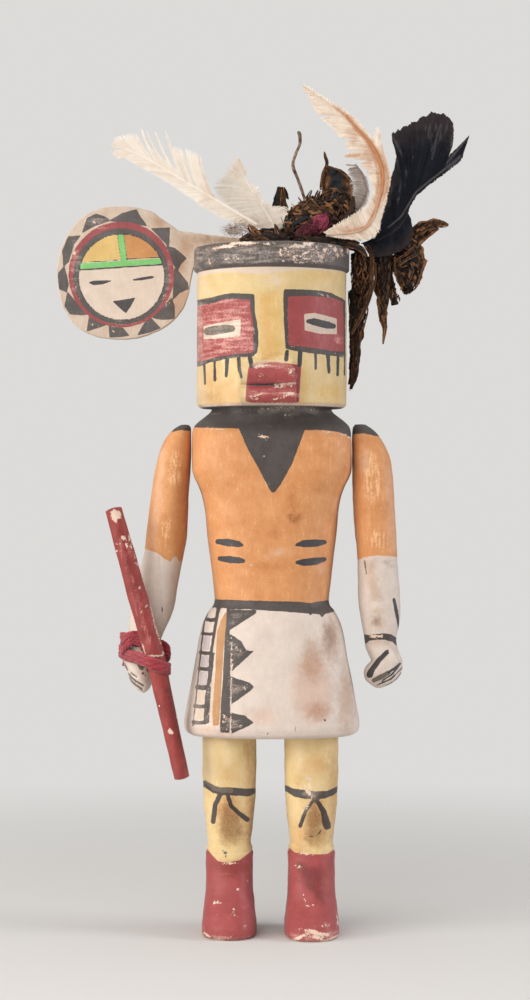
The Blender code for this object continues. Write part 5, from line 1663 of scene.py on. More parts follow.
def vane(rows, quill, depths, drop, widest, rng, loose, frayed, cover):
    """Barbs of one stretch of a vane. Each runs from the quill to the edge on a bowed line, and is as wide
    as the room to its neighbours, so that they overlap like shingles. Groups of barbs draw together."""
    rows = np.array(rows, float)
    gaps = [np.linalg.norm(np.diff(rows[:, ends], axis=0), axis=1) for ends in ((0, 1), (2, 3))]
    length = np.concatenate([[0], np.cumsum((gaps[0] + gaps[1]) / 2 + 1e-6)])
    count = max(3, int(length[-1] * PIXEL / BARB_SPACING))
    at = (np.arange(count) + 0.5) / count * length[-1]
    base_x, base_y, tip_x, tip_y, bow = (np.interp(at, length, column) for column in rows.T)
    group = np.cumsum(rng.random(count) < 1 / BARB_GROUP)
    for number in range(group[-1] + 1):
        same = group == number
        if same.any():
            pull = rng.uniform(0.05, 0.6) * loose
            tip_x[same] += (tip_x[same].mean() - tip_x[same]) * pull
            tip_y[same] += (tip_y[same].mean() - tip_y[same]) * pull
    span = np.hypot(tip_x - base_x, tip_y - base_y).clip(4)
    longer = 1 + rng.normal(0, 0.35, count) * (1 + 2 * loose) / span
    tip_x, tip_y = base_x + (tip_x - base_x) * longer, base_y + (tip_y - base_y) * longer
    base, tip = np.stack([base_x, base_y], axis=1), np.stack([tip_x, tip_y], axis=1)
    nearest = np.argmin(np.linalg.norm(base[:, None] - quill[None], axis=2), axis=1)
    way = unit(np.gradient(quill, axis=0)[nearest], guard=1e-9)
    share = nearest / (len(quill) - 1)
    steps = np.linspace(0, 1, BARB_POINTS) ** 1.4
    t = steps[None, :, None]
    flat = base[:, None] + (tip - base)[:, None] * t + way[:, None] * (bow[:, None, None] * 4 * t * (1 - t))
    reach = np.linalg.norm(flat - base[:, None], axis=2) / widest
    lift = 0.13 * np.sin(group * 2.1)[:, None] * t[..., 0] * np.minimum(1, reach * 3)
    uneven = rng.normal(0, 0.02, (count, 1))
    y = between(depths, share)[:, None] + drop * reach**2 + lift
    paths = at_depth(flat[..., 0], flat[..., 1], y)
    along = unit(np.gradient(paths, axis=1), guard=1e-9)
    room = np.linalg.norm(np.cross(np.gradient(paths, axis=0), along), axis=2)
    paths[..., 1] += uneven * np.minimum(1, room / 0.4)
    taper = 1 - frayed * np.interp(steps, (0, 0.8, 0.93, 1), (0, 0, 0.25, 0.78))
    half = np.clip(room * cover, 0.07, 0.80) * taper
    across = np.stack([way[:, 0], 0 * share, -way[:, 1]], axis=1)
    face = across[:, None] * 0.22 + FORWARD
    points, faces = bundle(paths, half, np.minimum(0.05 + 0.25 * half, 0.6 * half), face)
    tone = rng.uniform(0, 1, (count, 1)) * 0.5 + 0.5 * rng.random(group[-1] + 1)[group][:, None]
    ends, tone = (per_ring(np.broadcast_to(field, half.shape)) for field in (steps[None], tone))
    return points, faces, {"along": ends, "tone": tone}


DOWN_POINTS = 8
DOWN_PLACES = 40  # places along the lines of roots and tips where hairs begin and end


def downy(roots, tips, y, seed, count, curl, thick=0.07):
    """Loose down: fine hairs that leave a line of roots and wander towards a line of tips."""
    rng = np.random.default_rng(seed)
    at = (rng.uniform(0, 1, count) * (DOWN_PLACES - 1)).astype(int)
    start, end = trace(roots, DOWN_PLACES)[at], trace(tips, DOWN_PLACES)[at]
    start, end = start + rng.normal(0, 1.0, start.shape), end + rng.normal(0, 2.2, end.shape)
    t = np.linspace(0, 1, DOWN_POINTS)[None, :, None]
    way = (end - start)[:, None]
    side = np.stack([-way[..., 1], way[..., 0]], axis=-1)
    bend = rng.normal(0, curl, (count, 1, 1))
    sway = np.sin(math.pi * t * rng.uniform(0.8, 2.2, (count, 1, 1)))
    flat = start[:, None] + way * t + side * bend * sway
    depth = y + rng.normal(0, 0.8, (count, 1)) + rng.normal(0, 1.6, (count, 1)) * t[..., 0]
    paths = at_depth(flat[..., 0], flat[..., 1], depth)
    half = thick * np.linspace(1, 0.45, DOWN_POINTS)[None] * rng.uniform(0.7, 1.3, (count, 1))
    points, faces = bundle(paths, half, half, FORWARD)
    tone = per_ring(np.broadcast_to(rng.uniform(0, 1, (count, 1)), half.shape))
    return points, faces, {"along": per_ring(np.broadcast_to(t[..., 0], half.shape)), "tone": tone}


QUILL_POINTS = 120
QUILL_SIDES = 8


def feather(quill, depths, drop, radii, stretches, seed, loose, quill_tone=1.25, frayed=1.0, cover=0.66):
    """A feather: a tapered quill on a smooth line, and vanes of separate barbs to both sides of it. Depths
    and radii are given at its root and tip, and the vanes drop behind the quill towards their edge."""
    rng = np.random.default_rng(seed)
    line = trace(quill, QUILL_POINTS)
    widest = max(np.hypot(row[2] - row[0], row[3] - row[1]) for rows in stretches for row in rows)
    parts = [vane(rows, line, depths, drop, widest, rng, loose, frayed, cover) for rows in stretches]
    share = np.linspace(0, 1, QUILL_POINTS)
    radius = between(radii, share**0.8)
    path = at_depth(line[:, 0], line[:, 1], between(depths, share) - radius * 0.5)
    points, faces = bundle(path[None], radius[None], radius[None] * 0.8, FORWARD, QUILL_SIDES)
    fields = {"along": np.zeros(len(points)), "tone": np.full(len(points), quill_tone)}
    parts.append((points, faces, fields))
    return parts


def plumage(name, pale, deep, edge, tint, stripe, roughness=0.5, sheen=0.2, specular=0.3):
    """Flight feather, which is keratin: fine parallel barbs with a soft gloss, paler or browner towards
    the vane's edge, with stained or striped areas and a smooth pale quill. On the black feather the tint is
    a painted bluish sheen, and on the white feathers the stripe is painted shade along their folds. Edge,
    tint and stripe are each a colour and its strength, and the edge's third number is where it starts, from
    quill to tip."""
    grains = (("mottle", 3.0, 3.0, EVEN), ("fine", 0.5, 3.0, EVEN))
    made, shader, add, grain = new_finish(name, roughness, specular, grains)
    shader.inputs["Sheen Weight"].default_value = sheen
    tone = add("Attribute", out=2, attribute_name="tone")
    for label, share in (("mottle", 0.35), ("fine", 0.25)):
        tone = add("Math", {0: grain[label], 1: share, 2: tone}, **ADDED)
    colour = add("Mix", {0: tone, 6: linear(deep), 7: linear(pale)}, **COLOURS)
    # Each layer: the field it follows, its grain and that grain's share, where it starts and is full
    layers = (
        ("along", "mottle", 0.16, edge[2], 1.0, edge, "MIX"),
        ("tint", "mottle", 3.0, 2.4, -2.4, tint, "MULTIPLY"),
        ("stripe", "fine", 0.8, 0.9, -0.9, stripe, "MIX"),
    )
    for field, label, share, start, full, paint, how in layers:
        amount = add("Attribute", out=2, attribute_name=field)
        amount = add("Math", {0: grain[label], 1: share, 2: amount}, **ADDED)
        spread = {"Value": amount, "From Min": start, "From Max": full, "To Max": paint[1]}
        amount = add("MapRange", spread, **SMOOTH)
        colour = add("Mix", {0: amount, 6: colour, 7: linear(paint[0])}, blend_type=how, **COLOURS)
    join = made.node_tree.links.new
    join(colour, shader.inputs["Base Color"])
    barbs = {"Height": grain["fine"], "Distance": 0.05 * MM, "Strength": 1.0}
    join(add("Bump", barbs), shader.inputs["Normal"])
    return made


# The white feathers' stripe colour is painted shade along their folds
WHITE_PLUMAGE = plumage("white_flight_feather", "efe6da", "d9cbbb", ("f4ece0", 0.5, 0.7), ("d8b494", 0.30),
                        ("a88a70", 0.55), 0.5, 0.1)
BUFF_PLUMAGE = plumage("buff_flight_feather", "ebdfd0", "cbb5a0", ("f0e6d8", 0.5, 0.75), ("cf9f7c", 0.5),
                       ("b06c34", 0.85), 0.55, 0.06)
# The black feather's tint is a painted bluish sheen
BLACK_PLUMAGE = plumage("blue_black_flight_feather", "20242e", "0b0c10", ("3b3334", 0.75, 0.5),
                        ("a0a4b4", 0.5), ("7e787a", 0.75), 0.5, 0.0, 0.12)
GREY_PLUMAGE = plumage("grey_covert_feather", "b5aaa2", "7d736c", ("cfc6bd", 0.5, 0.7), ("a08878", 0.5),
                       ("6a4a38", 0.9))

LONG_QUILL = ((256.3, 224.4), (222, 203.7), (179, 177.5), (144.6, 157.7), (125.5, 148.8))
LONG_VANES = (
    # one stretch after another; each row: where a barb leaves the quill, where it ends, and its bow
    (
        (256.3, 224.4, 250, 228.4, 0), (240, 214.6, 222, 219, 1), (225, 205.5, 200, 206.6, 1.5),
        (212, 197.6, 196.6, 204.6, 1.5), (210, 196.4, 194, 201.4, 1.5), (200, 190.3, 176, 189, 1.5),
        (186, 181.7, 158, 177.4, 1.5), (172, 173.6, 146, 171, 1.5), (158, 165.3, 134, 164.4, 1.5),
        (144.6, 157.7, 124, 158.2, 1.5), (134, 152.6, 118, 159.6, 1), (127, 149.4, 112.6, 155, 0.5),
        (125.5, 148.8, 110.6, 150.0, 0),
    ),
    (
        (256.3, 224.4, 250, 217.6, 0), (240, 214.6, 231, 206, 1), (226, 206, 217, 197.6, 1),
        (216, 199.8, 211.6, 192.6, 1),
    ),
    (
        (214.6, 199, 200.8, 154.5, 3), (208, 195, 196.5, 152.4, 3), (203, 192, 193, 151.2, 3),
        (197, 188.4, 185.2, 148.2, 3),
    ),
    (
        (196, 187.8, 184, 152.4, 3), (193.6, 186.4, 182, 148.0, 3), (190, 184.2, 176.6, 146.2, 3),
        (185.6, 181.6, 172, 145.4, 3),
    ),
    (
        (187, 182.4, 177.4, 169, 1), (178, 177, 169, 163, 1), (168, 171.2, 160.4, 155, 1),
        (158, 165.4, 150, 147.6, 1),
    ),
    ((187.6, 182.8, 166.6, 130.8, 2.5), (184.5, 181, 166.0, 130.8, 2.5), (181.4, 179.2, 165.4, 131.2, 2.5)),
    ((180.2, 178.4, 156.2, 131.2, 3.2), (177.2, 176.6, 155.6, 131.3, 3.2), (174.4, 175, 155.0, 131.7, 3.2)),
    ((171.6, 173.4, 147.3, 130, 2.6), (168.6, 171.6, 146.7, 130.2, 2.6), (166, 170, 146.1, 130.6, 2.6)),
    ((163, 168.4, 142.2, 127.5, 4.0), (160, 166.6, 141.6, 127.7, 4.0), (157.6, 165.2, 141.0, 128.1, 4.0)),
    (
        (157, 165, 137.2, 134.6, 2), (149, 160.2, 131, 134.2, 2), (143, 156.8, 125, 134.6, 2),
        (137, 153.8, 119, 135.8, 1.5), (131, 151.2, 114.2, 137.4, 1), (127, 149.5, 111.6, 141.6, 0.5),
        (125.5, 149, 110.6, 149.4, 0),
    ),
)
SHORT_QUILL = ((276.5, 228.6), (268, 214), (254.3, 195), (246, 180), (237.6, 157))
SHORT_VANES = (
    (
        (276, 227.6, 262, 230, 0), (268, 214, 240, 222, 0), (262, 205.6, 228, 210, 0),
        (257, 198.6, 218, 199, 2), (252.4, 192.2, 213.5, 187.7, 3), (249.8, 187.6, 218.6, 177.5, 3),
        (247.6, 183.6, 227.6, 167.3, 2), (243.2, 172.4, 237.1, 155.8, 0),
    ),
    (
        (276.5, 228.6, 276.1, 230.8, 0), (275.6, 227.4, 288, 226.6, 0), (274, 224.6, 297, 219, -1),
        (271.4, 220, 299, 210, -1), (268, 214, 291, 207, -1), (264, 208.4, 276, 205.4, 0),
    ),
    (
        (266, 211.4, 276.5, 209.0, 0), (260, 203, 266, 201.6, 0), (255.6, 196.8, 260.6, 191.8, 1),
        (252.4, 192.2, 256.9, 186.2, 1), (249.8, 187.6, 249.6, 181.6, 1),
    ),
    (
        (250.6, 189, 248.6, 182.6, 1), (247, 182.4, 244.8, 176.2, 1), (245.4, 178.6, 246.7, 169.8, 0),
        (243, 172, 243.3, 165.4, 0), (240, 164, 240.9, 160.3, 0), (238, 158, 237.4, 156, 0),
    ),
)
BUFF_QUILL = (
    (326.8, 234.5), (353.6, 232.3), (365.9, 227.8), (374.8, 214.4), (379.2, 199.9), (382.6, 186.6),
    (383.2, 173.2), (379.2, 159.8), (372.6, 146.4), (361.4, 134.1), (349.1, 121.9), (336.9, 109.6),
    (320, 97.6), (304, 86),
)
BUFF_VANES = (
    (
        (326.8, 234.5, 325, 236, 0), (342, 233.6, 352, 240, 0), (354, 232.2, 364, 240.4, 1),
        (364, 228.8, 374.6, 238, 1), (371, 221, 379.6, 230.4, 1), (375.4, 212.6, 381.0, 220.8, 1),
        (378.4, 203, 386.4, 203, 1), (380.8, 194, 389, 189, 1), (382.4, 187, 390.8, 180, 1),
        (383.2, 176, 390.4, 170, 1), (382.2, 168, 386, 157, 1), (379.6, 160.6, 381.8, 143, 1),
        (377.4, 156, 380.9, 135.6, 1), (375.6, 152, 379.6, 128.6, 0.5), (374.2, 149.4, 376.2, 127.4, 0),
        (373, 147, 374.8, 131, 0),
    ),
    (
        (374, 149, 375.2, 139.9, 0), (369, 142.2, 373.6, 138.6, 0), (361, 133.6, 365, 128.6, 1),
        (351, 123.8, 355, 117.4, 1), (341, 113.8, 344.6, 109.8, 1), (331, 105, 332, 101.2, 1),
        (320, 97.6, 319, 93.4, 1), (309, 89.6, 309.6, 87.2, 0), (304, 86, 303, 84, 0),
    ),
    (
        (326.8, 234.5, 323, 232.2, 0), (338, 234, 332.4, 226.2, 0), (352, 232.6, 346, 218.6, -2),
        (362, 229.8, 355, 213, -2), (369, 223.6, 362, 208.6, -2), (374.6, 215, 367.4, 204.8, -2),
        (378.4, 203, 372, 195.4, -1), (381, 193, 373.4, 188, -1), (383, 182, 370.6, 181, 0),
        (383.2, 176, 368.6, 175.4, 1), (382.9, 172, 366, 170.8, 1),
    ),
    ((382.8, 172.4, 366.6, 169.8, 1), (381.8, 168, 362, 166.4, 2), (380.8, 163.6, 360, 161.8, 2)),
    (
        (380.8, 164, 359, 160.8, 2), (379, 160, 353, 158.6, 2), (377.8, 157.4, 344.6, 157.6, 2),
        (376.8, 155.4, 344, 155.2, 2), (375.8, 152, 350, 152, 2),
    ),
    (
        (376, 152.6, 347.4, 150.8, 2), (373.4, 148.4, 346.2, 147.4, 2), (371.6, 145.4, 345.2, 143.6, 2),
        (369.2, 142, 345, 141, 2),
    ),
    (
        (369.6, 142.8, 341, 138.8, 2), (364.6, 137.6, 336.6, 134.2, 2), (358, 130.8, 331.4, 127.4, 3),
        (350, 122.8, 325, 122.6, 3), (344.8, 117, 319.6, 117.8, 2),
    ),
    (
        (345.2, 118, 317.4, 115.2, 2), (340, 112.8, 314.4, 109.6, 2), (333, 106.6, 311.8, 104, 2),
        (326, 101.4, 309.4, 97.6, 2), (316, 94.8, 304.8, 91.6, 1), (308, 89, 302.6, 87, 0),
        (304, 86, 301.7, 83.6, 0),
    ),
)
BUFF_STRIPES = (
    (
        (334, 106.6, 0.8), (346, 115.6, 3.8), (360, 131.6, 5.0), (370.4, 143, 5.6), (377.6, 155, 6.0),
        (381.8, 168, 5.4), (382.8, 182, 4.6), (380.4, 196, 3.6), (375.4, 211, 3.2), (367, 226.6, 2.4),
        (354, 230.6, 1.6),
    ),
    (
        (352, 121, 0.8), (366, 139.6, 2.2), (373, 153, 2.4), (376.6, 166, 2.0), (378.4, 180, 2.0),
        (377, 193, 1.8), (374, 204, 0.8),
    ),
    ((380, 156, 0.6), (386, 168, 1.8), (388.2, 179, 2.0), (386.6, 190, 1.6), (383, 200, 0.6)),
    ((350, 231.6, 1.8), (343, 232, 0.8)), ((344.6, 156.6, 1.6), (352, 156, 2.0), (360, 155, 0.8)),
)
BLACK_QUILL = (
    (372, 240), (385.7, 229.6), (401, 216.6), (408.1, 204.8), (415.2, 193), (429.4, 181.2), (444.7, 169.4),
    (460, 156.4), (467, 141),
)
BLACK_VANES = (
    (
        (372, 240, 371, 237, 0), (378, 236, 376.6, 230, 0), (384, 231, 381.6, 218, 0),
        (388.4, 227.4, 384.6, 205, 1), (393, 223.6, 388.0, 190, 2), (397, 220.2, 391, 178, 3),
        (400, 217.6, 394.4, 168, 4), (402.2, 214.8, 396.4, 157, 5), (403.2, 213.2, 394.8, 149, 5),
        (404, 211.8, 392.2, 141, 6), (404.6, 210.6, 391.8, 133, 6),
    ),
    (
        (403.6, 212.4, 391.8, 136, 6), (404.6, 210.6, 392.8, 132.4, 6), (405.4, 209.4, 395.6, 132.8, 6),
        (406, 208.4, 397.2, 129.4, 6), (406.8, 207, 400.6, 130.6, 6), (407.6, 205.6, 403.6, 125.8, 5),
        (408.4, 204.2, 408, 126.6, 5), (409.4, 202.6, 412.4, 122, 5), (410.6, 200.6, 417.4, 121.6, 4),
        (411.8, 198.6, 421.6, 116.8, 4), (413, 196.6, 426.6, 116.4, 4), (414.2, 194.6, 431.6, 111.8, 3),
        (416, 192.4, 437, 113.6, 3), (419.4, 189.4, 443.6, 113.8, 3), (422.6, 186.8, 449.4, 118.2, 3),
        (426, 184, 452.8, 122.6, 3), (430.4, 180.4, 453.8, 131, 2), (434.6, 177.2, 453.4, 140, 2),
        (438, 174.6, 452.4, 146.4, 1), (441.4, 172, 450.4, 151.6, 1),
    ),
    (
        (441.4, 172, 450, 154.4, 0), (445.6, 168.6, 454.6, 150.4, 0), (450.4, 164.6, 460.6, 144, 0),
        (455.6, 160.2, 466, 138.6, 0), (460.6, 155.6, 469.4, 135.4, 0),
    ),
    (
        (372, 240, 376, 241.6, 0), (385.7, 229.6, 392, 234, 0), (394, 223, 401, 227, 0),
        (401, 216.6, 405.6, 219, 0), (408.1, 204.8, 410.4, 206, 0), (415.2, 193, 417, 195.2, 0),
        (429.4, 181.2, 431, 183.6, 0), (444.7, 169.4, 448, 171, 0), (452, 163.2, 457.6, 163.6, 0),
        (459, 157.4, 461.8, 158.4, 0), (462.6, 152, 466, 146, 0), (466, 144, 469, 137, 0),
    ),
    (
        (372, 239, 362, 243, 0), (378, 235, 366, 250, 1), (384, 231, 376, 257, 2),
        (390, 226.4, 387, 256, 2), (396, 221, 399, 252, 2), (401, 216.6, 409, 244, 1),
        (404, 212, 413, 231, 0), (406, 209, 411, 219, 0),
    ),
)
BLACK_STREAKS = (
    # the shaft's pale side, and folds of the vane where its brown side shows
    (
        (388, 227.6, 0.0), (401.6, 216, 0.3), (408.8, 204.4, 0.3), (415.8, 192.4, 0.2), (430, 180.6, 0.3),
        (445, 169, 0.6), (460, 156.2, 0.2),
    ),
    ((393.4, 135, 0.5), (397.4, 146, 0.6), (404.6, 160, -0.2)), ((395.4, 156, 0.2), (397.6, 166, -0.2)),
    ((413.6, 154, -0.4), (412.4, 161, 0.1), (406.6, 172, 0.0), (404, 186, -0.5)),
    ((388.6, 206, -0.2), (391.4, 190, 0.1), (393.6, 176, -0.2)),
    ((397, 206, -0.5), (400, 190, -0.1), (401, 178, -0.4)),
    ((452, 124, 0.3), (452.6, 136, 0.4), (451, 148, 0.0)), ((447.6, 119, 0.0), (445.6, 134, -0.4)),
    ((436, 118, 0.0), (436.6, 140, -0.1), (432, 160, -0.5)), ((424, 120, -0.1), (428, 138, -0.4)),
    ((441, 120, -0.1), (440, 146, -0.3)), ((430, 122, -0.1), (432, 150, -0.4)),
    ((447, 163, 0.2), (456, 152, 0.4), (467, 138, 0.1)), ((449, 168.6, 0.3), (460, 156.8, 0.2)),
)
BLACK_SHINE = ((406, 176, 9, 40), (414, 134, 12, 5))  # broad areas with the bluish gloss
GREY_QUILL = ((357, 212), (366, 202), (368.4, 190), (366, 180), (361, 170.6), (355, 164.6))
GREY_VANES = (
    (
        (357, 212, 352, 210, 0), (364, 204.6, 353, 203.6, 1), (368, 194, 352.4, 193, 2),
        (368.2, 186, 351, 184, 2), (366, 180, 349, 175.4, 2), (362, 172.4, 347.4, 167.4, 1),
        (355, 164.6, 345.8, 164.2, 0),
    ),
    (
        (357, 212, 358, 213, 0), (364, 204.6, 366, 206, 0), (368.4, 190, 370.4, 190, 0),
        (366, 180, 368, 179, 0), (355, 164.6, 356, 163.4, 0),
    ),
)


# Stained areas as (across, down, half wide, half tall), and painted shadows along folds as lines
# of (across, down, width)
LONG_STAINS = ((208, 188, 5, 12), (112, 152, 3, 5))
SHORT_STAINS = ((238, 164, 7, 10), (260, 226, 14, 5))
BUFF_STAINS = ((384, 172, 5, 30), (350, 230, 16, 4), (352, 136, 7, 8), (368, 158, 6, 12))
LONG_FOLD_SHADOWS = (((214, 199, 0.1), (206, 176, -0.2)), ((187, 182, 0.2), (181, 168, 0.3), (176, 158, -0.4)))
SHORT_FOLD_SHADOWS = (
    ((226, 204, -0.2), (232, 188, 0.2), (237, 170, -0.4)),
    ((243, 184, -0.2), (250, 204, 0.5), (258, 222, 0.1)),
    ((254, 192, -0.3), (262, 209, 0.4), (270, 225, 0.0)), ((266, 206, -0.4), (275, 220, 0.1)),
)
GREY_STREAKS = (((357, 212, 0.6), (367.8, 190, 1.0), (362, 172, 1.0), (354, 163, 0.8)),)
# Down at a feather's root: where its hairs begin, and where they end
SHORT_DOWN = ((274, 226), (284, 222), (290, 216)), ((296, 222), (305, 212), (311, 192))
BLACK_DOWN = ((370, 242), (384, 244), (398, 236)), ((366, 252), (380, 258), (404, 244))


def finish_feather(name, parts, finish, node_name, stains=(), stripes=()):
    """Joins a feather's parts and adds how far each point lies from its stained areas and stripes, some of
    which are a painted sheen and painted shade along folds.
    """
    points, faces, fields = joined(parts)
    spots = seen(points)
    fields["tint"] = drawn(spots, stains)
    fields["stripe"] = drawn(spots, stripes)
    piece(name, (points, faces, fields), finish, node_name, 60.0)


long_white = feather(LONG_QUILL, (-4.0, -6.0), 1.2, (0.75, 0.28), LONG_VANES, 101, 0.35)
finish_feather("long_white_feather", long_white, WHITE_PLUMAGE, "white_feather_long",
               LONG_STAINS, LONG_FOLD_SHADOWS)
short_white = feather(SHORT_QUILL, (4.0, 6.0), 1.2, (0.45, 0.2), SHORT_VANES, 102, 0.8)
short_white.append(downy(*SHORT_DOWN, 3.0, 112, 60, 0.10))
finish_feather("short_white_feather", short_white, WHITE_PLUMAGE, "white_feather_short",
               SHORT_STAINS, SHORT_FOLD_SHADOWS)
buff = feather(BUFF_QUILL, (-19.0, -8.0), 1.4, (0.7, 0.25), BUFF_VANES, 103, 0.25, 0.3, frayed=0.5,
               cover=0.75)
finish_feather("buff_feather_vanes", buff, BUFF_PLUMAGE, "buff_feather", BUFF_STAINS,
               BUFF_STRIPES)
black = feather(BLACK_QUILL, (-1.5, 6.0), 1.6, (0.7, 0.25), BLACK_VANES, 104, 0.05, 0.4, frayed=0.1,
                cover=1.1)
black.append(downy(*BLACK_DOWN, 2.0, 113, 40, 0.5, 0.10))
finish_feather("black_feather_vanes", black, BLACK_PLUMAGE, "black_feather",
               BLACK_SHINE, BLACK_STREAKS)
grey = feather(GREY_QUILL, (-3.9, -1.4), 0.8, (0.4, 0.2), GREY_VANES, 105, 0.8)
finish_feather("grey_feather_vanes", grey, GREY_PLUMAGE, "grey_feather", (), GREY_STREAKS)


# The dried fibre, the red tuft and the twig


def dried(name, pale, mid, dark, slate, roughness=0.78):
    """Dried bark and husk fibre: brittle strands from dark umber to tan, with thin slate-dark skins
    between them, finely ridged along and mottled."""
    grains = (("mottle", 2.2, 4.0, EVEN), ("fine", 0.4, 4.0, EVEN))
    made, shader, add, grain = new_finish(name, roughness, 0.25, grains)
    tone = add("Attribute", out=2, attribute_name="tone")
    for label, share in (("mottle", 0.45), ("fine", 0.3)):
        tone = add("Math", {0: grain[label], 1: share, 2: tone}, **ADDED)
    middle = add("MapRange", {"Value": tone, "From Max": 0.6}, **SMOOTH)
    colour = add("Mix", {0: middle, 6: linear(dark), 7: linear(mid)}, **COLOURS)
    top = add("MapRange", {"Value": tone, "From Min": 0.55, "From Max": 1.15}, **SMOOTH)
    colour = add("Mix", {0: top, 6: colour, 7: linear(pale)}, **COLOURS)
    skin = add("Attribute", out=2, attribute_name="skin")
    skin = add("Math", {0: grain["mottle"], 1: 0.25, 2: skin}, **ADDED)
    skin = add("MapRange", {"Value": skin, "From Min": 0.35, "From Max": 0.75}, **SMOOTH)
    colour = add("Mix", {0: skin, 6: colour, 7: linear(slate)}, **COLOURS)
    height = add("Math", {0: grain["fine"], 1: 0.25}, operation="MULTIPLY")
    height = add("Math", {0: grain["mottle"], 1: 0.3, 2: height}, **ADDED)
    join = made.node_tree.links.new
    join(colour, shader.inputs["Base Color"])
    join(add("Bump", {"Height": height, "Distance": 0.6 * MM, "Strength": 1.0}), shader.inputs["Normal"])
    return made


FIBRE = dried("dried_bark_fibre", "956844", "473123", "1a1310", "202428")
TWIG_BARK = dried("thin_twig", "a08a78", "6e5a4c", "3a2c24", "3a2c24")
DYED_FIBRE = dried("dyed_red_fibre", "b4526a", "6e3038", "302020", "683a40", 0.75)


def fibre_fields(points, tone):
    """The fibre's fields for a shape without thin skins; the tone is one number or one for each point."""
    return {"tone": np.zeros(len(points)) + tone, "skin": np.zeros(len(points))}


MOUND_ROWS, MOUND_COLUMNS = 40, 64


def mound(middle, half, seed):
    """A closed lump: an ellipsoid whose surface rises and falls in coarse and fine waves."""
    tilt = np.linspace(-math.pi / 2 + 0.03, math.pi / 2 - 0.03, MOUND_ROWS)[:, None]
    turn = np.arange(MOUND_COLUMNS)[None] * math.tau / MOUND_COLUMNS
    way = [np.cos(turn) * np.cos(tilt), np.sin(turn) * np.cos(tilt), np.sin(tilt) + 0 * turn]
    way = np.stack(way, axis=2)
    points = np.array(middle) + np.array(half) * way
    flat = points.reshape(-1, 3)
    swell = waves(flat, 7.0, seed) * 0.9 + waves(flat, 2.6, seed + 1) * 0.5
    flat = flat + way.reshape(-1, 3) * swell[:, None]
    flat[:, 2] = np.maximum(flat[:, 2], CROWN + 0.35)
    points, faces = shell(flat.reshape(points.shape))
    return points, faces, fibre_fields(points, 0.18 + 0.3 * waves(points, 4.0, seed + 2))


RIBBON_POINTS = 12
SKIN_TONE = 0.8  # how far a ribbon or strand that is skin takes the skin's colour


def wrapped(middle, half, seed, count, arc, wide, proud, tones, flat_share=0.0):
    """Crumpled ribbons that lie round a lump on arcs of great circles, lifted off it by a few waves."""
    rng = np.random.default_rng(seed)
    each, all_points = (count, 1), (count, RIBBON_POINTS)
    first = rng.normal(size=(count, 3)) * (1, 1, 0.7 if flat_share else 1)
    first[:, 1] -= 0.4
    first = unit(first)
    second = unit(np.cross(first, rng.normal(size=(count, 3)) + (0, 0, flat_share * 6)))
    length = rng.uniform(*arc, count) / np.mean(half)
    t = np.linspace(-0.5, 0.5, RIBBON_POINTS)[None] * length[:, None]
    wiggle = np.cumsum(rng.normal(0, 0.17, all_points), axis=1)
    wiggle += 0.35 * np.sin(t * rng.uniform(4, 9, each) + rng.uniform(0, 6, each))
    way = np.cos(t + wiggle * 0.3)[..., None] * first[:, None] + np.sin(t)[..., None] * second[:, None]
    way = unit(way + np.cross(first, second)[:, None] * (wiggle * 0.55)[..., None])
    lift = rng.uniform(*proud, each) + 0.9 * np.sin(t * rng.uniform(4, 11, each) + rng.uniform(0, 6, each))
    lift[:, -3:] += np.array([0.3, 0.9, 1.8]) * rng.uniform(0, 1, each)
    paths = np.array(middle) + way * (np.array(half) + lift[..., None])
    paths[..., 2] = np.maximum(paths[..., 2], CROWN + 0.7)
    taper = np.interp(np.linspace(0, 1, RIBBON_POINTS), (0, 0.2, 0.8, 1), (0.4, 1, 0.9, 0.2))
    width = rng.uniform(*wide, each) * taper[None]
    face = way + rng.normal(0, 0.45, (count, 1, 3)) + rng.normal(0, 0.25, (*all_points, 3))
    points, faces = bundle(paths, width, 0.09 + 0.10 * width, face)
    tone = rng.uniform(*tones, each) + np.linspace(-0.1, 0.1, RIBBON_POINTS)[None]
    skin = np.where(rng.random(each) < 0.14, SKIN_TONE, 0.0) + 0 * tone
    return points, faces, {"tone": per_ring(tone), "skin": per_ring(skin)}


BAND_ROWS = 26
STRAND_POINTS = 20


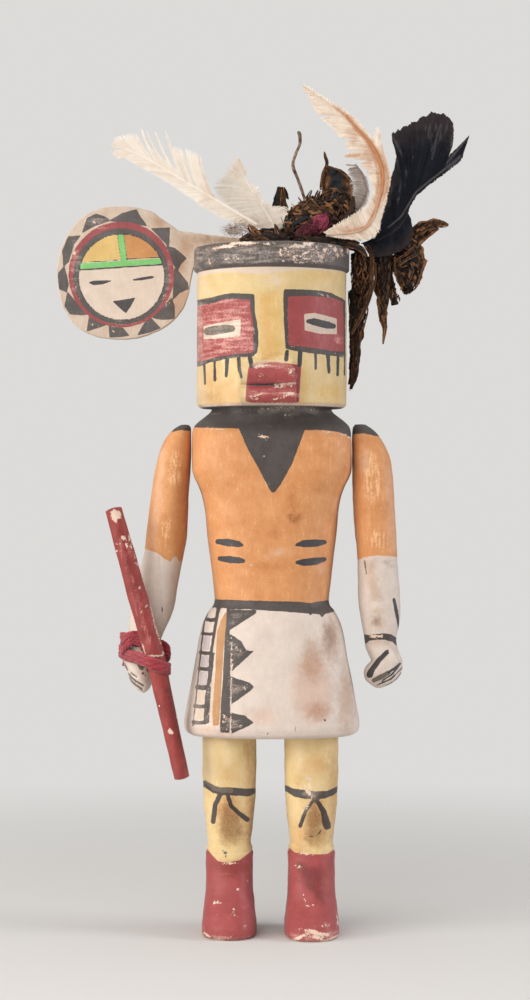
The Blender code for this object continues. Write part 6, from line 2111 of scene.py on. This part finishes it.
def strands(rows, seed, count, thick, tones, spread=0.85, wander=0.5, skin_share=0.1, curl=0.0):
    """Strands that run down a flat band together. A row of the band gives x, y, z, its half width and its
    half thickness; each strand keeps its place in the band and wanders a little from side to side."""
    rng = np.random.default_rng(seed)
    each, all_points = (count, 1), (count, STRAND_POINTS)
    band = trace(rows, BAND_ROWS)
    _, across, outward = directions(band[:, :3], FORWARD, guard=1e-9)
    turn, reach = rng.uniform(0, math.tau, each), np.sqrt(rng.random(each)) * spread
    drift = np.cumsum(rng.normal(0, 0.16, (count, BAND_ROWS)), axis=1) * wander
    drift -= drift.mean(axis=1, keepdims=True)
    side = np.clip(np.cos(turn) * reach + drift, -1.05, 1.05) * band[:, 3]
    deep = np.clip(np.sin(turn) * reach + np.roll(drift, 5, axis=0), -1.05, 1.05) * band[:, 4]
    run = lengths_along(band[:, :3])[None]
    wave = math.tau * run / rng.uniform(5, 13, each) + rng.uniform(0, math.tau, each)
    height = curl * rng.uniform(0.2, 1.0, each) * np.minimum(1, band[None, :, 3] / 2.8)
    side, deep = side + height * np.sin(wave), deep + height * np.cos(wave * 0.8)
    paths = band[None, :, :3] + side[..., None] * across + deep[..., None] * outward
    # Each strand begins and ends at its own row of the band
    start = rng.integers(0, 4, count)
    stop = BAND_ROWS - 1 - rng.integers(0, 8, count) * (rng.random(count) < 0.5)
    at = start[:, None] + (stop - start)[:, None] * np.linspace(0, 1, STRAND_POINTS)[None]
    low = np.minimum(at.astype(int), BAND_ROWS - 2)
    part = (at - low)[..., None]
    index = np.arange(count)[:, None]
    paths = paths[index, low] * (1 - part) + paths[index, low + 1] * part
    taper = np.interp(np.linspace(0, 1, STRAND_POINTS), (0, 0.15, 0.85, 1), (0.7, 1, 0.85, 0.25))
    half = rng.uniform(*thick, each) * taper[None]
    face = FORWARD + rng.normal(0, 0.7, (count, 1, 3)) + rng.normal(0, 0.5 * curl, (*all_points, 3))
    points, faces = bundle(paths, half, 0.3 * half + 0.07, face)
    tone = rng.uniform(*tones, each) + rng.normal(0, 0.12, all_points)
    skin = np.where(rng.random(each) < skin_share, SKIN_TONE, 0.0) + 0 * half
    return points, faces, {"tone": per_ring(tone), "skin": per_ring(skin)}


CORE_ROWS, CORE_SIDES = 44, 18
CORE_SHARE, CORE_TONE = 0.74, 0.12  # its size beside the band's, and its dark tone


def core(rows, seed):
    """The inside of a band of strands: a closed tube of flat ovals, roughened by waves."""
    band = trace(rows, CORE_ROWS)
    half_wide, half_thick = band[None, :, 3] * CORE_SHARE, band[None, :, 4] * CORE_SHARE
    points, faces = bundle(band[None, :, :3], half_wide, half_thick, FORWARD, CORE_SIDES)
    rough = waves(points, 2.4, seed) * 0.35 + waves(points * (1, 1, 0.2), 1.4, seed + 1) * 0.25
    out = unit(points - np.repeat(band[:, :3], CORE_SIDES, axis=0), guard=1e-9)
    tone = CORE_TONE + 0.2 * waves(points, 3.0, seed)
    return points + out * rough[:, None], faces, fibre_fields(points, tone)


SHEET_ROWS, SHEET_COLUMNS = 60, 40
SHEET_THICK = 0.44


def skin_sheet(left, right, depths, seed, ribs=0, bulge=1.2, edge_tone=0.8, skin=0.85, rough=0.6, slant=0.0,
               border=0.07):
    """A thin crumpled skin between two edges given in the photograph's pixels. It bulges forward between
    them, uneven ribs stand up along it, its edges are uneven and browner, and it is closed all round."""
    first, last = trace(left, SHEET_ROWS), trace(right, SHEET_ROWS)
    t = np.linspace(0, 1, SHEET_COLUMNS)[None]
    up = np.linspace(0, 1, SHEET_ROWS)[:, None]
    flat = first[:, None] * (1 - t[..., None]) + last[:, None] * t[..., None]
    places = at_depth(flat[..., 0], flat[..., 1], np.linspace(*depths, SHEET_ROWS)[:, None])
    uneven = waves(places, 5.0, seed + 2)
    rib = np.zeros((SHEET_ROWS, SHEET_COLUMNS))
    if ribs:
        phase = (t + slant * up + 0.10 * uneven) * ribs
        rib = np.abs(np.sin(phase * math.pi)) ** 3 * (0.75 + 0.5 * waves(places, 3.0, seed + 3))
    places[..., 1] -= bulge * np.sin(math.pi * t) + 1.1 * rib
    places += waves(places, 6.0, seed)[..., None] * (0.5, 1.0, 0.5) * rough
    places += waves(places, 2.2, seed + 1)[..., None] * (0.35, 0.6, 0.35) * rough
    points, faces = shell(np.concatenate([places, places[:, ::-1] + (0, SHEET_THICK, 0)], axis=1))
    near_edge = np.minimum(t, 1 - t) + 0 * up + 0.10 * uneven
    brown = np.clip(np.maximum(np.exp(-((near_edge.clip(0) / border) ** 2)), rib), 0, 1)
    brown = np.concatenate([brown, brown[:, ::-1]], axis=1).ravel()
    return points, faces, {"tone": brown * edge_tone + 0.1, "skin": skin * (1 - brown)}


def spike(line, y, seed, count, thick, tones):
    """A few strands that leave together along a line of (across, down, half width) in pixels, at depth y."""
    rows = np.array(line, float)
    half = rows[:, 2] * PIXEL
    band = np.column_stack([at_depth(rows[:, 0], rows[:, 1], y), half, half * 0.7])
    return strands(band, seed, count, thick, tones, wander=0.3)


CREST_LUMPS = (
    # middle, half size; the ribbons round it: count, length, half width, how far they stand off, tones
    ((3.0, -4.0, 326.6), (13.0, 14.0, 5.0), (150, (7, 20), (0.35, 1.0), (-0.2, 0.9), (0.0, 0.75), 0.6)),
    ((27.0, -3.0, 325.4), (17.0, 14.5, 4.0), (170, (7, 22), (0.35, 1.0), (-0.2, 0.9), (0.0, 0.7), 0.6)),
    ((24.5, 2.0, 335.4), (12.0, 11.0, 11.0), (280, (8, 24), (0.35, 1.4), (-0.2, 2.0), (0.1, 1.1))),
    ((34.0, 4.0, 341.0), (8.0, 8.0, 10.0), (180, (7, 20), (0.35, 1.3), (-0.2, 1.8), (0.1, 1.1))),
    ((7.5, 13.0, 331.0), (7.0, 5.0, 6.0), (60, (5, 12), (0.35, 1.0), (0.0, 1.0), (0.1, 0.8))),
    ((41.6, 6.5, 340.0), (5.4, 4.4, 6.4), (60, (5, 12), (0.3, 0.9), (-0.2, 0.8), (0.0, 0.6))),
)
CREST_SKIN = (
    ((321, 198), (322.4, 186), (324.6, 175), (327.6, 165.6)),
    ((352, 202), (354, 190), (351.4, 180), (338, 168.6)), (6.0, 7.5), 321,
)
CREST_SPIKES = (
    # line of (across, down, half width), depth, seed, count, half thickness, tones
    (
        ((322.6, 190, 3.4), (323.2, 176, 2.6), (327.6, 163, 2.4), (325.6, 156, 2.2), (324.8, 151.6, 1.6)),
        6.0, 322, 9, (0.35, 0.7), (0.5, 1.1),
    ),
    (
        ((324.6, 168, 1.6), (334, 168.6, 1.6), (345, 173.6, 1.8), (352, 184, 1.8)), 5.6, 323, 6,
        (0.3, 0.55), (0.5, 1.0),
    ),
    (
        ((287, 226, 12.0), (280, 210, 9.0), (279.6, 200, 6.8), (280.2, 186.8, 4.6)), 12.6, 324, 44,
        (0.4, 0.9), (0.25, 0.9),
    ),
    (((281, 190, 4.6), (284, 194, 4.0), (287, 200, 3.0)), 13.0, 325, 8, (0.4, 0.9), (0.15, 0.7)),
    (((308, 212, 4.0), (307.6, 200, 2.6), (311.6, 190, 1.0)), -2.0, 326, 7, (0.3, 0.6), (0.3, 0.9)),
    (((316, 210, 5.0), (316, 200, 3.2), (319.6, 190.6, 1.8)), -1.0, 327, 9, (0.3, 0.7), (0.3, 0.9)),
    (((330, 206, 4.0), (333, 196, 2.6), (336.4, 187.4, 1.2)), -1.0, 328, 7, (0.3, 0.6), (0.4, 1.0)),
    (((302, 216, 3.0), (303, 206, 2.0), (298, 197, 0.8)), -3.0, 329, 5, (0.3, 0.5), (0.4, 0.9)),
    (
        ((262, 239, 2.0), (255, 233, 4.4), (250.6, 228, 3.6), (248.4, 224.6, 1.0)), -16.5, 330, 11,
        (0.5, 1.0), (0.45, 0.95),
    ),
    (
        ((283, 240, 2.0), (278.6, 233, 3.6), (276.6, 228, 3.0), (274.6, 224, 0.8)), -16.0, 331, 9,
        (0.5, 1.0), (0.45, 0.95),
    ),
    (
        ((300, 248, 2.6), (322, 245.6, 3.0), (345, 244.6, 3.4), (362, 250, 2.6), (366.6, 256, 1.4)), -14.0,
        332, 26, (0.4, 0.9), (0.3, 0.9),
    ),
    (
        ((248, 243.6, 1.6), (262, 240.6, 2.6), (282, 241.6, 2.4), (304, 243.6, 1.6)), -17.0, 333, 18,
        (0.35, 0.8), (0.2, 0.8),
    ),
    (((296, 236, 3), (318, 240, 3), (344, 238, 3), (360, 242, 3)), -15.0, 334, 20, (0.4, 0.8), (0.1, 0.6)),
    (((340, 243, 3), (351, 246, 4), (360, 250, 5), (366, 260, 4)), 0.5, 336, 46, (0.35, 0.8), (0.1, 0.8)),
    (
        ((338, 222, 2.0), (346, 216, 3.0), (352, 208, 3.0), (353, 196, 2.0)), -6.0, 335, 10, (0.4, 0.9),
        (0.1, 0.6),
    ),
)


def make_crest():
    """The mat and tangle on the crown: dark lumps under crumpled ribbons, a standing skin, spikes and
    stalks, small leaf bits along the front, and grey down."""
    parts = [mound(middle, half, 200 + 10 * number) for number, (middle, half, _) in enumerate(CREST_LUMPS)]
    for number, (middle, half, ribbons) in enumerate(CREST_LUMPS):
        parts.append(wrapped(middle, half, 301 + number, *ribbons))
    parts.append(skin_sheet(*CREST_SKIN, bulge=1.8, skin=0.95, edge_tone=0.75, border=0.30))
    parts += [spike(*row) for row in CREST_SPIKES]
    down_roots, down_tips = ((229, 234), (240, 232), (250, 231)), ((222, 230), (226, 226), (238, 225))
    points, faces, fields = downy(down_roots, down_tips, -6.0, 340, 120, 0.3, 0.06)
    parts.append((points, faces, fibre_fields(points, fields["tone"] * 0.5 + 0.9)))
    return joined(parts)


HANKS = (
    # rows of x, y, z, half width and half thickness; strands; tones
    (
        (
            (45.3, 2.0, 323.0, 2.6, 5.0), (46.2, 3.0, 318.8, 3.8, 7.0), (47.0, 3.5, 312.2, 4.3, 7.5),
            (47.2, 3.5, 306.5, 4.1, 6.0), (46.7, 3.5, 302.7, 2.4, 4.0),
        ),
        60, (0.1, 0.75),
    ),
    (
        (
            (49.5, 2.0, 307.8, 1.9, 2.4), (48.3, 1.5, 301.1, 2.5, 2.2), (45.9, 1.5, 294.9, 2.5, 2.0),
            (43.8, 2.0, 289.2, 1.9, 1.6), (41.8, 3.0, 283.8, 0.6, 1.0),
        ),
        18, (0.3, 0.8),
    ),
    (
        (
            (43.2, 4.0, 305.1, 2.6, 3.0), (43.7, 4.0, 298.9, 3.1, 2.4), (44.6, 4.0, 292.7, 3.6, 2.0),
            (44.9, 4.0, 286.0, 3.3, 1.6), (44.9, 4.0, 279.4, 2.1, 1.3), (44.4, 4.0, 271.7, 1.8, 1.2),
            (43.8, 4.0, 264.6, 1.5, 1.0), (41.9, 4.0, 257.9, 0.6, 0.8),
        ),
        26, (0.1, 0.6),
    ),
    (
        (
            (47.3, 5.0, 317.0, 3.0, 3.6), (53.1, 6.5, 317.6, 4.6, 3.6), (59.8, 7.5, 318.2, 4.8, 3.6),
            (66.5, 8.5, 319.4, 4.2, 3.6),
        ),
        46, (0.1, 0.6),
    ),
    (
        (
            (58.4, 7.5, 321.0, 2.2, 3.4), (57.9, 8.0, 316.0, 3.6, 4.5), (57.7, 8.0, 309.3, 4.3, 4.5),
            (57.7, 8.0, 303.6, 3.6, 3.6), (57.2, 8.0, 297.8, 2.2, 2.6), (57.4, 8.0, 292.1, 1.6, 1.8),
            (58.3, 8.0, 287.3, 0.8, 1.0), (57.5, 8.0, 279.6, 0.25, 0.4),
        ),
        64, (0.2, 1.0),
    ),
    (
        ((61.2, 9.0, 309.4, 1.6, 2.6), (62.4, 9.0, 302.7, 2.1, 1.8), (63.3, 9.0, 298.4, 2.2, 1.4)), 18,
        (0.2, 0.8),
    ),
    (
        (
            (69.5, 10.0, 327.7, 2.9, 4.0), (74.8, 10.0, 333.2, 3.6, 3.4), (79.6, 10.0, 336.1, 3.1, 2.4),
            (83.9, 10.0, 337.7, 1.9, 1.6), (88.9, 10.0, 336.6, 0.6, 0.8),
        ),
        40, (0.35, 1.0),
    ),
    (
        (
            (68.0, 11.5, 330.5, 3.0, 3.0), (69.5, 12.5, 325.3, 4.6, 4.0), (71.0, 12.5, 318.6, 5.0, 4.5),
            (70.5, 12.5, 311.9, 4.6, 4.0), (69.5, 12.0, 307.1, 3.3, 3.5), (68.6, 11.0, 304.5, 1.6, 2.6),
        ),
        40, (0.1, 0.6),
    ),
)


LEAF_RIBS = (
    # lines of (across, down, width) in the photograph, and their depth
    (((395.8, 251.8, 1.2), (402.5, 242.9, 1.6), (413.7, 233.9, 1.2)), 2.6),
    (((394.7, 261.8, 1.2), (407, 252.9, 1.8), (417, 244, 1.2)), 1.4),
    (((395.8, 267.4, 1.0), (407, 259.6, 1.8), (418.1, 253.5, 1.6), (424, 247.6, 1.0)), 1.2),
    (((423.6, 252.9, 1.2), (424.2, 264, 1.4), (421.4, 271.9, 1.4), (417, 287, 1.0)), 3.6),
    (((395.6, 258.5, 1.2), (394.8, 267.4, 1.6), (396.8, 279, 1.4), (400, 287, 1.0)), 3.4),
    (((411.4, 261.8, 1.0), (413.2, 269.6, 1.4), (408, 284, 1.0)), 1.2),
)


HANGING_SKINS = (
    # left edge, right edge, depths at the top and the foot, seed; and how it is ribbed and coloured
    (
        ((352, 283), (350, 300), (348.6, 320), (349.6, 345), (349, 368), (348.6, 384)),
        ((361, 286), (362.4, 300), (361, 322), (357.6, 342), (354, 366), (350.6, 386)), (6.0, 6.0), 461,
        {"ribs": 2, "bulge": 0.8, "edge_tone": 0.55, "skin": 0.5, "border": 0.2},
    ),
    (
        ((395, 250), (394, 262), (396, 276), (401, 290)),
        ((409, 234), (420, 245), (425.6, 262), (420, 284)), (5.4, 5.8), 462,
        {
            "ribs": 4,
            "bulge": 2.6,
            "edge_tone": 1.0,
            "skin": 0.55,
            "rough": 1.1,
            "slant": -0.9,
            "border": 0.10,
        },
    ),
    (
        ((401, 246), (404, 238), (414, 230), (430, 226)), ((412, 262), (418, 249), (424, 242), (440, 229)),
        (6.6, 8.0), 463,
        {
            "ribs": 2,
            "bulge": 1.2,
            "edge_tone": 0.95,
            "skin": 0.25,
            "rough": 1.7,
            "slant": -0.3,
            "border": 0.3,
        },
    ),
    (
        ((380, 252), (379, 268), (379.6, 284), (381, 300)),
        ((391, 251), (392.6, 266), (390, 284), (386.6, 300)), (3.6, 4.4), 464,
        {"ribs": 3, "bulge": 1.4, "edge_tone": 0.6, "skin": 0.5, "rough": 1.3, "border": 0.15},
    ),
)
HANGING_SPIKES = (
    # line of (across, down, half width), depth, seed, count, half thickness, tones
    (
        (
            (366, 300, 1.0), (368, 310, 1.2), (365.8, 319.6, 1.0), (362, 335, 0.9), (358.2, 349, 0.9),
            (354.4, 370, 0.8), (349.7, 391, 0.5),
        ),
        3.4, 465, 3, (0.28, 0.42), (0.6, 0.9),
    ),
    (
        (
            (366, 246, 2.2), (372, 256, 2.4), (371.4, 272, 2.2), (371.2, 288, 2.0), (367, 303, 2.2),
            (358, 322, 2.0), (351, 334, 0.8),
        ),
        -2.6, 466, 12, (0.35, 0.7), (0.45, 0.95),
    ),
    (((375, 262, 1.2), (375.4, 276, 1.6), (373.6, 292, 1.0)), 0.0, 467, 10, (0.09, 0.16), (1.0, 1.3)),
)


def make_hanging():
    """Hanks beside the mask, each a dark core in a cover of strands, with thin skins and a ribbed leaf."""
    parts = []
    for number, (rows, count, tones) in enumerate(HANKS):
        parts.append(core(rows, 400 + 3 * number))
        tones = (tones[0] + 0.15, tones[1] + 0.2)
        parts.append(strands(rows, 430 + number, int(count * 1.5), (0.22, 0.75), tones, 0.95, 0.7, 0.08,
                             0.8))
    parts += [skin_sheet(*row, **looks) for *row, looks in HANGING_SKINS]
    parts += [spike(*row) for row in HANGING_SPIKES]
    for number, (line, y) in enumerate(LEAF_RIBS):
        parts.append(spike(line, y, 470 + number, 5, (0.22, 0.40), (0.55, 1.0)))
    return joined(parts)


TUFT = (
    (15.2, -13.2, 329.4, 0.8, 0.8), (19.0, -13.6, 330.6, 2.2, 1.5), (24.0, -13.8, 333.0, 2.6, 1.7),
    (28.4, -13.4, 336.4, 2.2, 1.5), (30.6, -12.2, 340.0, 0.8, 0.8),
)
TWIG = (
    (20.2, -5.4, 346.0), (18.3, -5.4, 351.6), (16.5, -5.6, 356.7), (14.2, -6.0, 363.5), (15.4, -6.0, 368.1),
    (17.6, -6.0, 374.4), (17.4, -6.0, 377.6), (16.5, -6.0, 379.2),
)


TUFT_POINTS, TUFT_FIBRES = 34, 230


def make_tuft():
    """Fine dyed fibres laid together and turned like a loose rope."""
    rng = np.random.default_rng(501)
    each, all_points = (TUFT_FIBRES, 1), (TUFT_FIBRES, TUFT_POINTS)
    share = np.linspace(0, 1, TUFT_POINTS)
    band = trace(TUFT, TUFT_POINTS)
    _, across, outward = directions(band[:, :3], FORWARD)
    reach = np.sqrt(rng.random(each)) * rng.uniform(0.5, 1.5, each)
    reach = reach + rng.normal(0, 0.06, all_points).cumsum(axis=1)
    turn = rng.uniform(0, math.tau, each) + rng.uniform(-1, 4, each) * share[None]
    turn += rng.normal(0, 0.3, all_points).cumsum(axis=1)
    side = (np.cos(turn) * reach)[..., None] * across * band[:, 3][None, :, None]
    deep = (np.sin(turn) * reach)[..., None] * outward * band[:, 4][None, :, None]
    paths = band[None, :, :3] + side + deep
    half = rng.uniform(0.07, 0.20, each) * np.interp(share, (0, 0.1, 0.9, 1), (0.5, 1, 1, 0.4))[None]
    points, faces = bundle(paths, half, half * 0.8, FORWARD)
    # The fibres are paler in a band near the bend: a painted highlight
    tone = per_ring(rng.uniform(-0.1, 0.8, each) + 0.9 * np.exp(-(((share - 0.72) / 0.16) ** 2))[None])
    return points, faces, fibre_fields(points, tone)


TWIG_RINGS, TWIG_SIDES = 60, 10


def make_twig():
    """A thin bent stalk with small swellings."""
    line, share = trace(TWIG, TWIG_RINGS), np.linspace(0, 1, TWIG_RINGS)
    swell = 1 + 0.18 * waves(line, 6.0, 511) + 0.35 * np.exp(-(((share - 0.96) / 0.05) ** 2))
    half = np.interp(share, (0, 1), (0.85, 0.66)) * swell
    half[0], half[-1] = 0.3, 0.3
    points, faces = bundle(line[None], half[None], half[None] * 0.9, FORWARD, TWIG_SIDES)
    return points, faces, fibre_fields(points, 0.6 + 0.4 * waves(points, 3.0, 512))


piece("fibre_mat_and_tangle", make_crest(), FIBRE, "crest_fibre", 70.0)
piece("hanging_bark_fibre", make_hanging(), FIBRE, "hanging_fibre", 70.0)
piece("twisted_red_tuft", make_tuft(), DYED_FIBRE, "red_tuft", 80.0)
piece("bent_twig", make_twig(), TWIG_BARK, "twig", 70.0)


# Camera, floor and light


def aim(thing, place, target):
    """Puts a lamp or camera at a place in millimetres and turns it towards another."""
    thing.location = Vector(place) * MM
    thing.rotation_euler = (Vector(target) - Vector(place)).to_track_quat("-Z", "Y").to_euler()


SENSOR = 36.0


def make_camera():
    """A level camera whose picture is as tall as the photograph in the plane y = 0."""
    lens = bpy.data.cameras.new("camera")
    lens.sensor_fit = "VERTICAL"
    lens.sensor_height = SENSOR
    lens.lens = SENSOR * -EYE[1] / (2 * PHOTO_MIDDLE[1] * PIXEL)
    lens.clip_start = 0.01
    camera = placed("camera", lens)
    aim(camera, EYE, (EYE[0], 0.0, EYE[2]))
    bpy.context.scene.camera = camera


def make_lamp(name, place, target, wide, tall, power, colour):
    """A soft rectangular lamp."""
    light = bpy.data.lights.new(name, "AREA")
    light.shape = "RECTANGLE"
    light.size, light.size_y = wide * MM, tall * MM
    light.energy = power
    light.color = linear(colour)[:3]
    aim(placed(name, light), place, target)


PALE = "dcdbd9"
FLOOR_RADIUS, FLOOR_CORNERS, FLOOR_DROP = 1500.0, 96, 0.05
FLOOR_CLEAR, FLOOR_GONE = 0.16, 0.62  # metres from the doll where the floor starts to fade, and is gone
AMBIENT = 0.24
LAMPS = (
    # name, place, what it points at, width, height, power and colour
    ("key", (-560, -1230, 640), (0, 0, 160), 1100, 1100, 11.8, "fffaf4"),
    ("left_side", (-1160, -560, 360), (-20, 0, 150), 800, 1000, 14.2, "fffaf4"),
    ("overhead", (0, -150, 1500), (0, -100, 0), 1500, 1500, 9.0, "ffffff"),
    ("right_side", (1260, -240, 460), (0, 0, 200), 500, 800, 10.0, "fdfbff"),
)


def make_floor():
    """A flat pale disc that fades into the pale world away from the doll."""
    made, shader, add, _ = new_finish("pale_floor", 0.9, 0.1)
    shader.inputs["Base Color"].default_value = linear(PALE)
    level = add("VectorMath", {0: add("TexCoord", out=3), 1: (1.0, 1.0, 0.0)}, operation="MULTIPLY")
    radius = add("VectorMath", {0: level}, out=1, operation="LENGTH")
    fade = {"Value": radius, "From Min": FLOOR_CLEAR, "From Max": FLOOR_GONE, "To Min": 1.0, "To Max": 0.0}
    made.node_tree.links.new(add("MapRange", fade, **SMOOTH), shader.inputs["Alpha"])
    turns = np.arange(FLOOR_CORNERS) * math.tau / FLOOR_CORNERS
    rim = [FLOOR_RADIUS * np.cos(turns), FLOOR_RADIUS * np.sin(turns), np.full(FLOOR_CORNERS, -FLOOR_DROP)]
    mesh = bpy.data.meshes.new("floor")
    mesh.from_pydata((np.stack(rim, axis=1) * MM).tolist(), [], [list(range(FLOOR_CORNERS))])
    mesh.materials.append(made)
    placed("floor", mesh)


def make_world():
    """A pale surround that is seen as it is and lights the doll only softly."""
    world = bpy.data.worlds.new("pale_surround")
    world.use_nodes = True
    bpy.context.scene.world = world
    shader = world.node_tree.nodes["Background"]
    shader.inputs["Color"].default_value = linear(PALE)
    strength = {"Value": node(world.node_tree, "LightPath"), "To Min": AMBIENT, "To Max": 1.0}
    world.node_tree.links.new(node(world.node_tree, "MapRange", strength), shader.inputs["Strength"])


make_camera()
make_floor()
make_world()
for lamp in LAMPS:
    make_lamp(*lamp)
bpy.context.scene.view_settings.view_transform = "Standard"
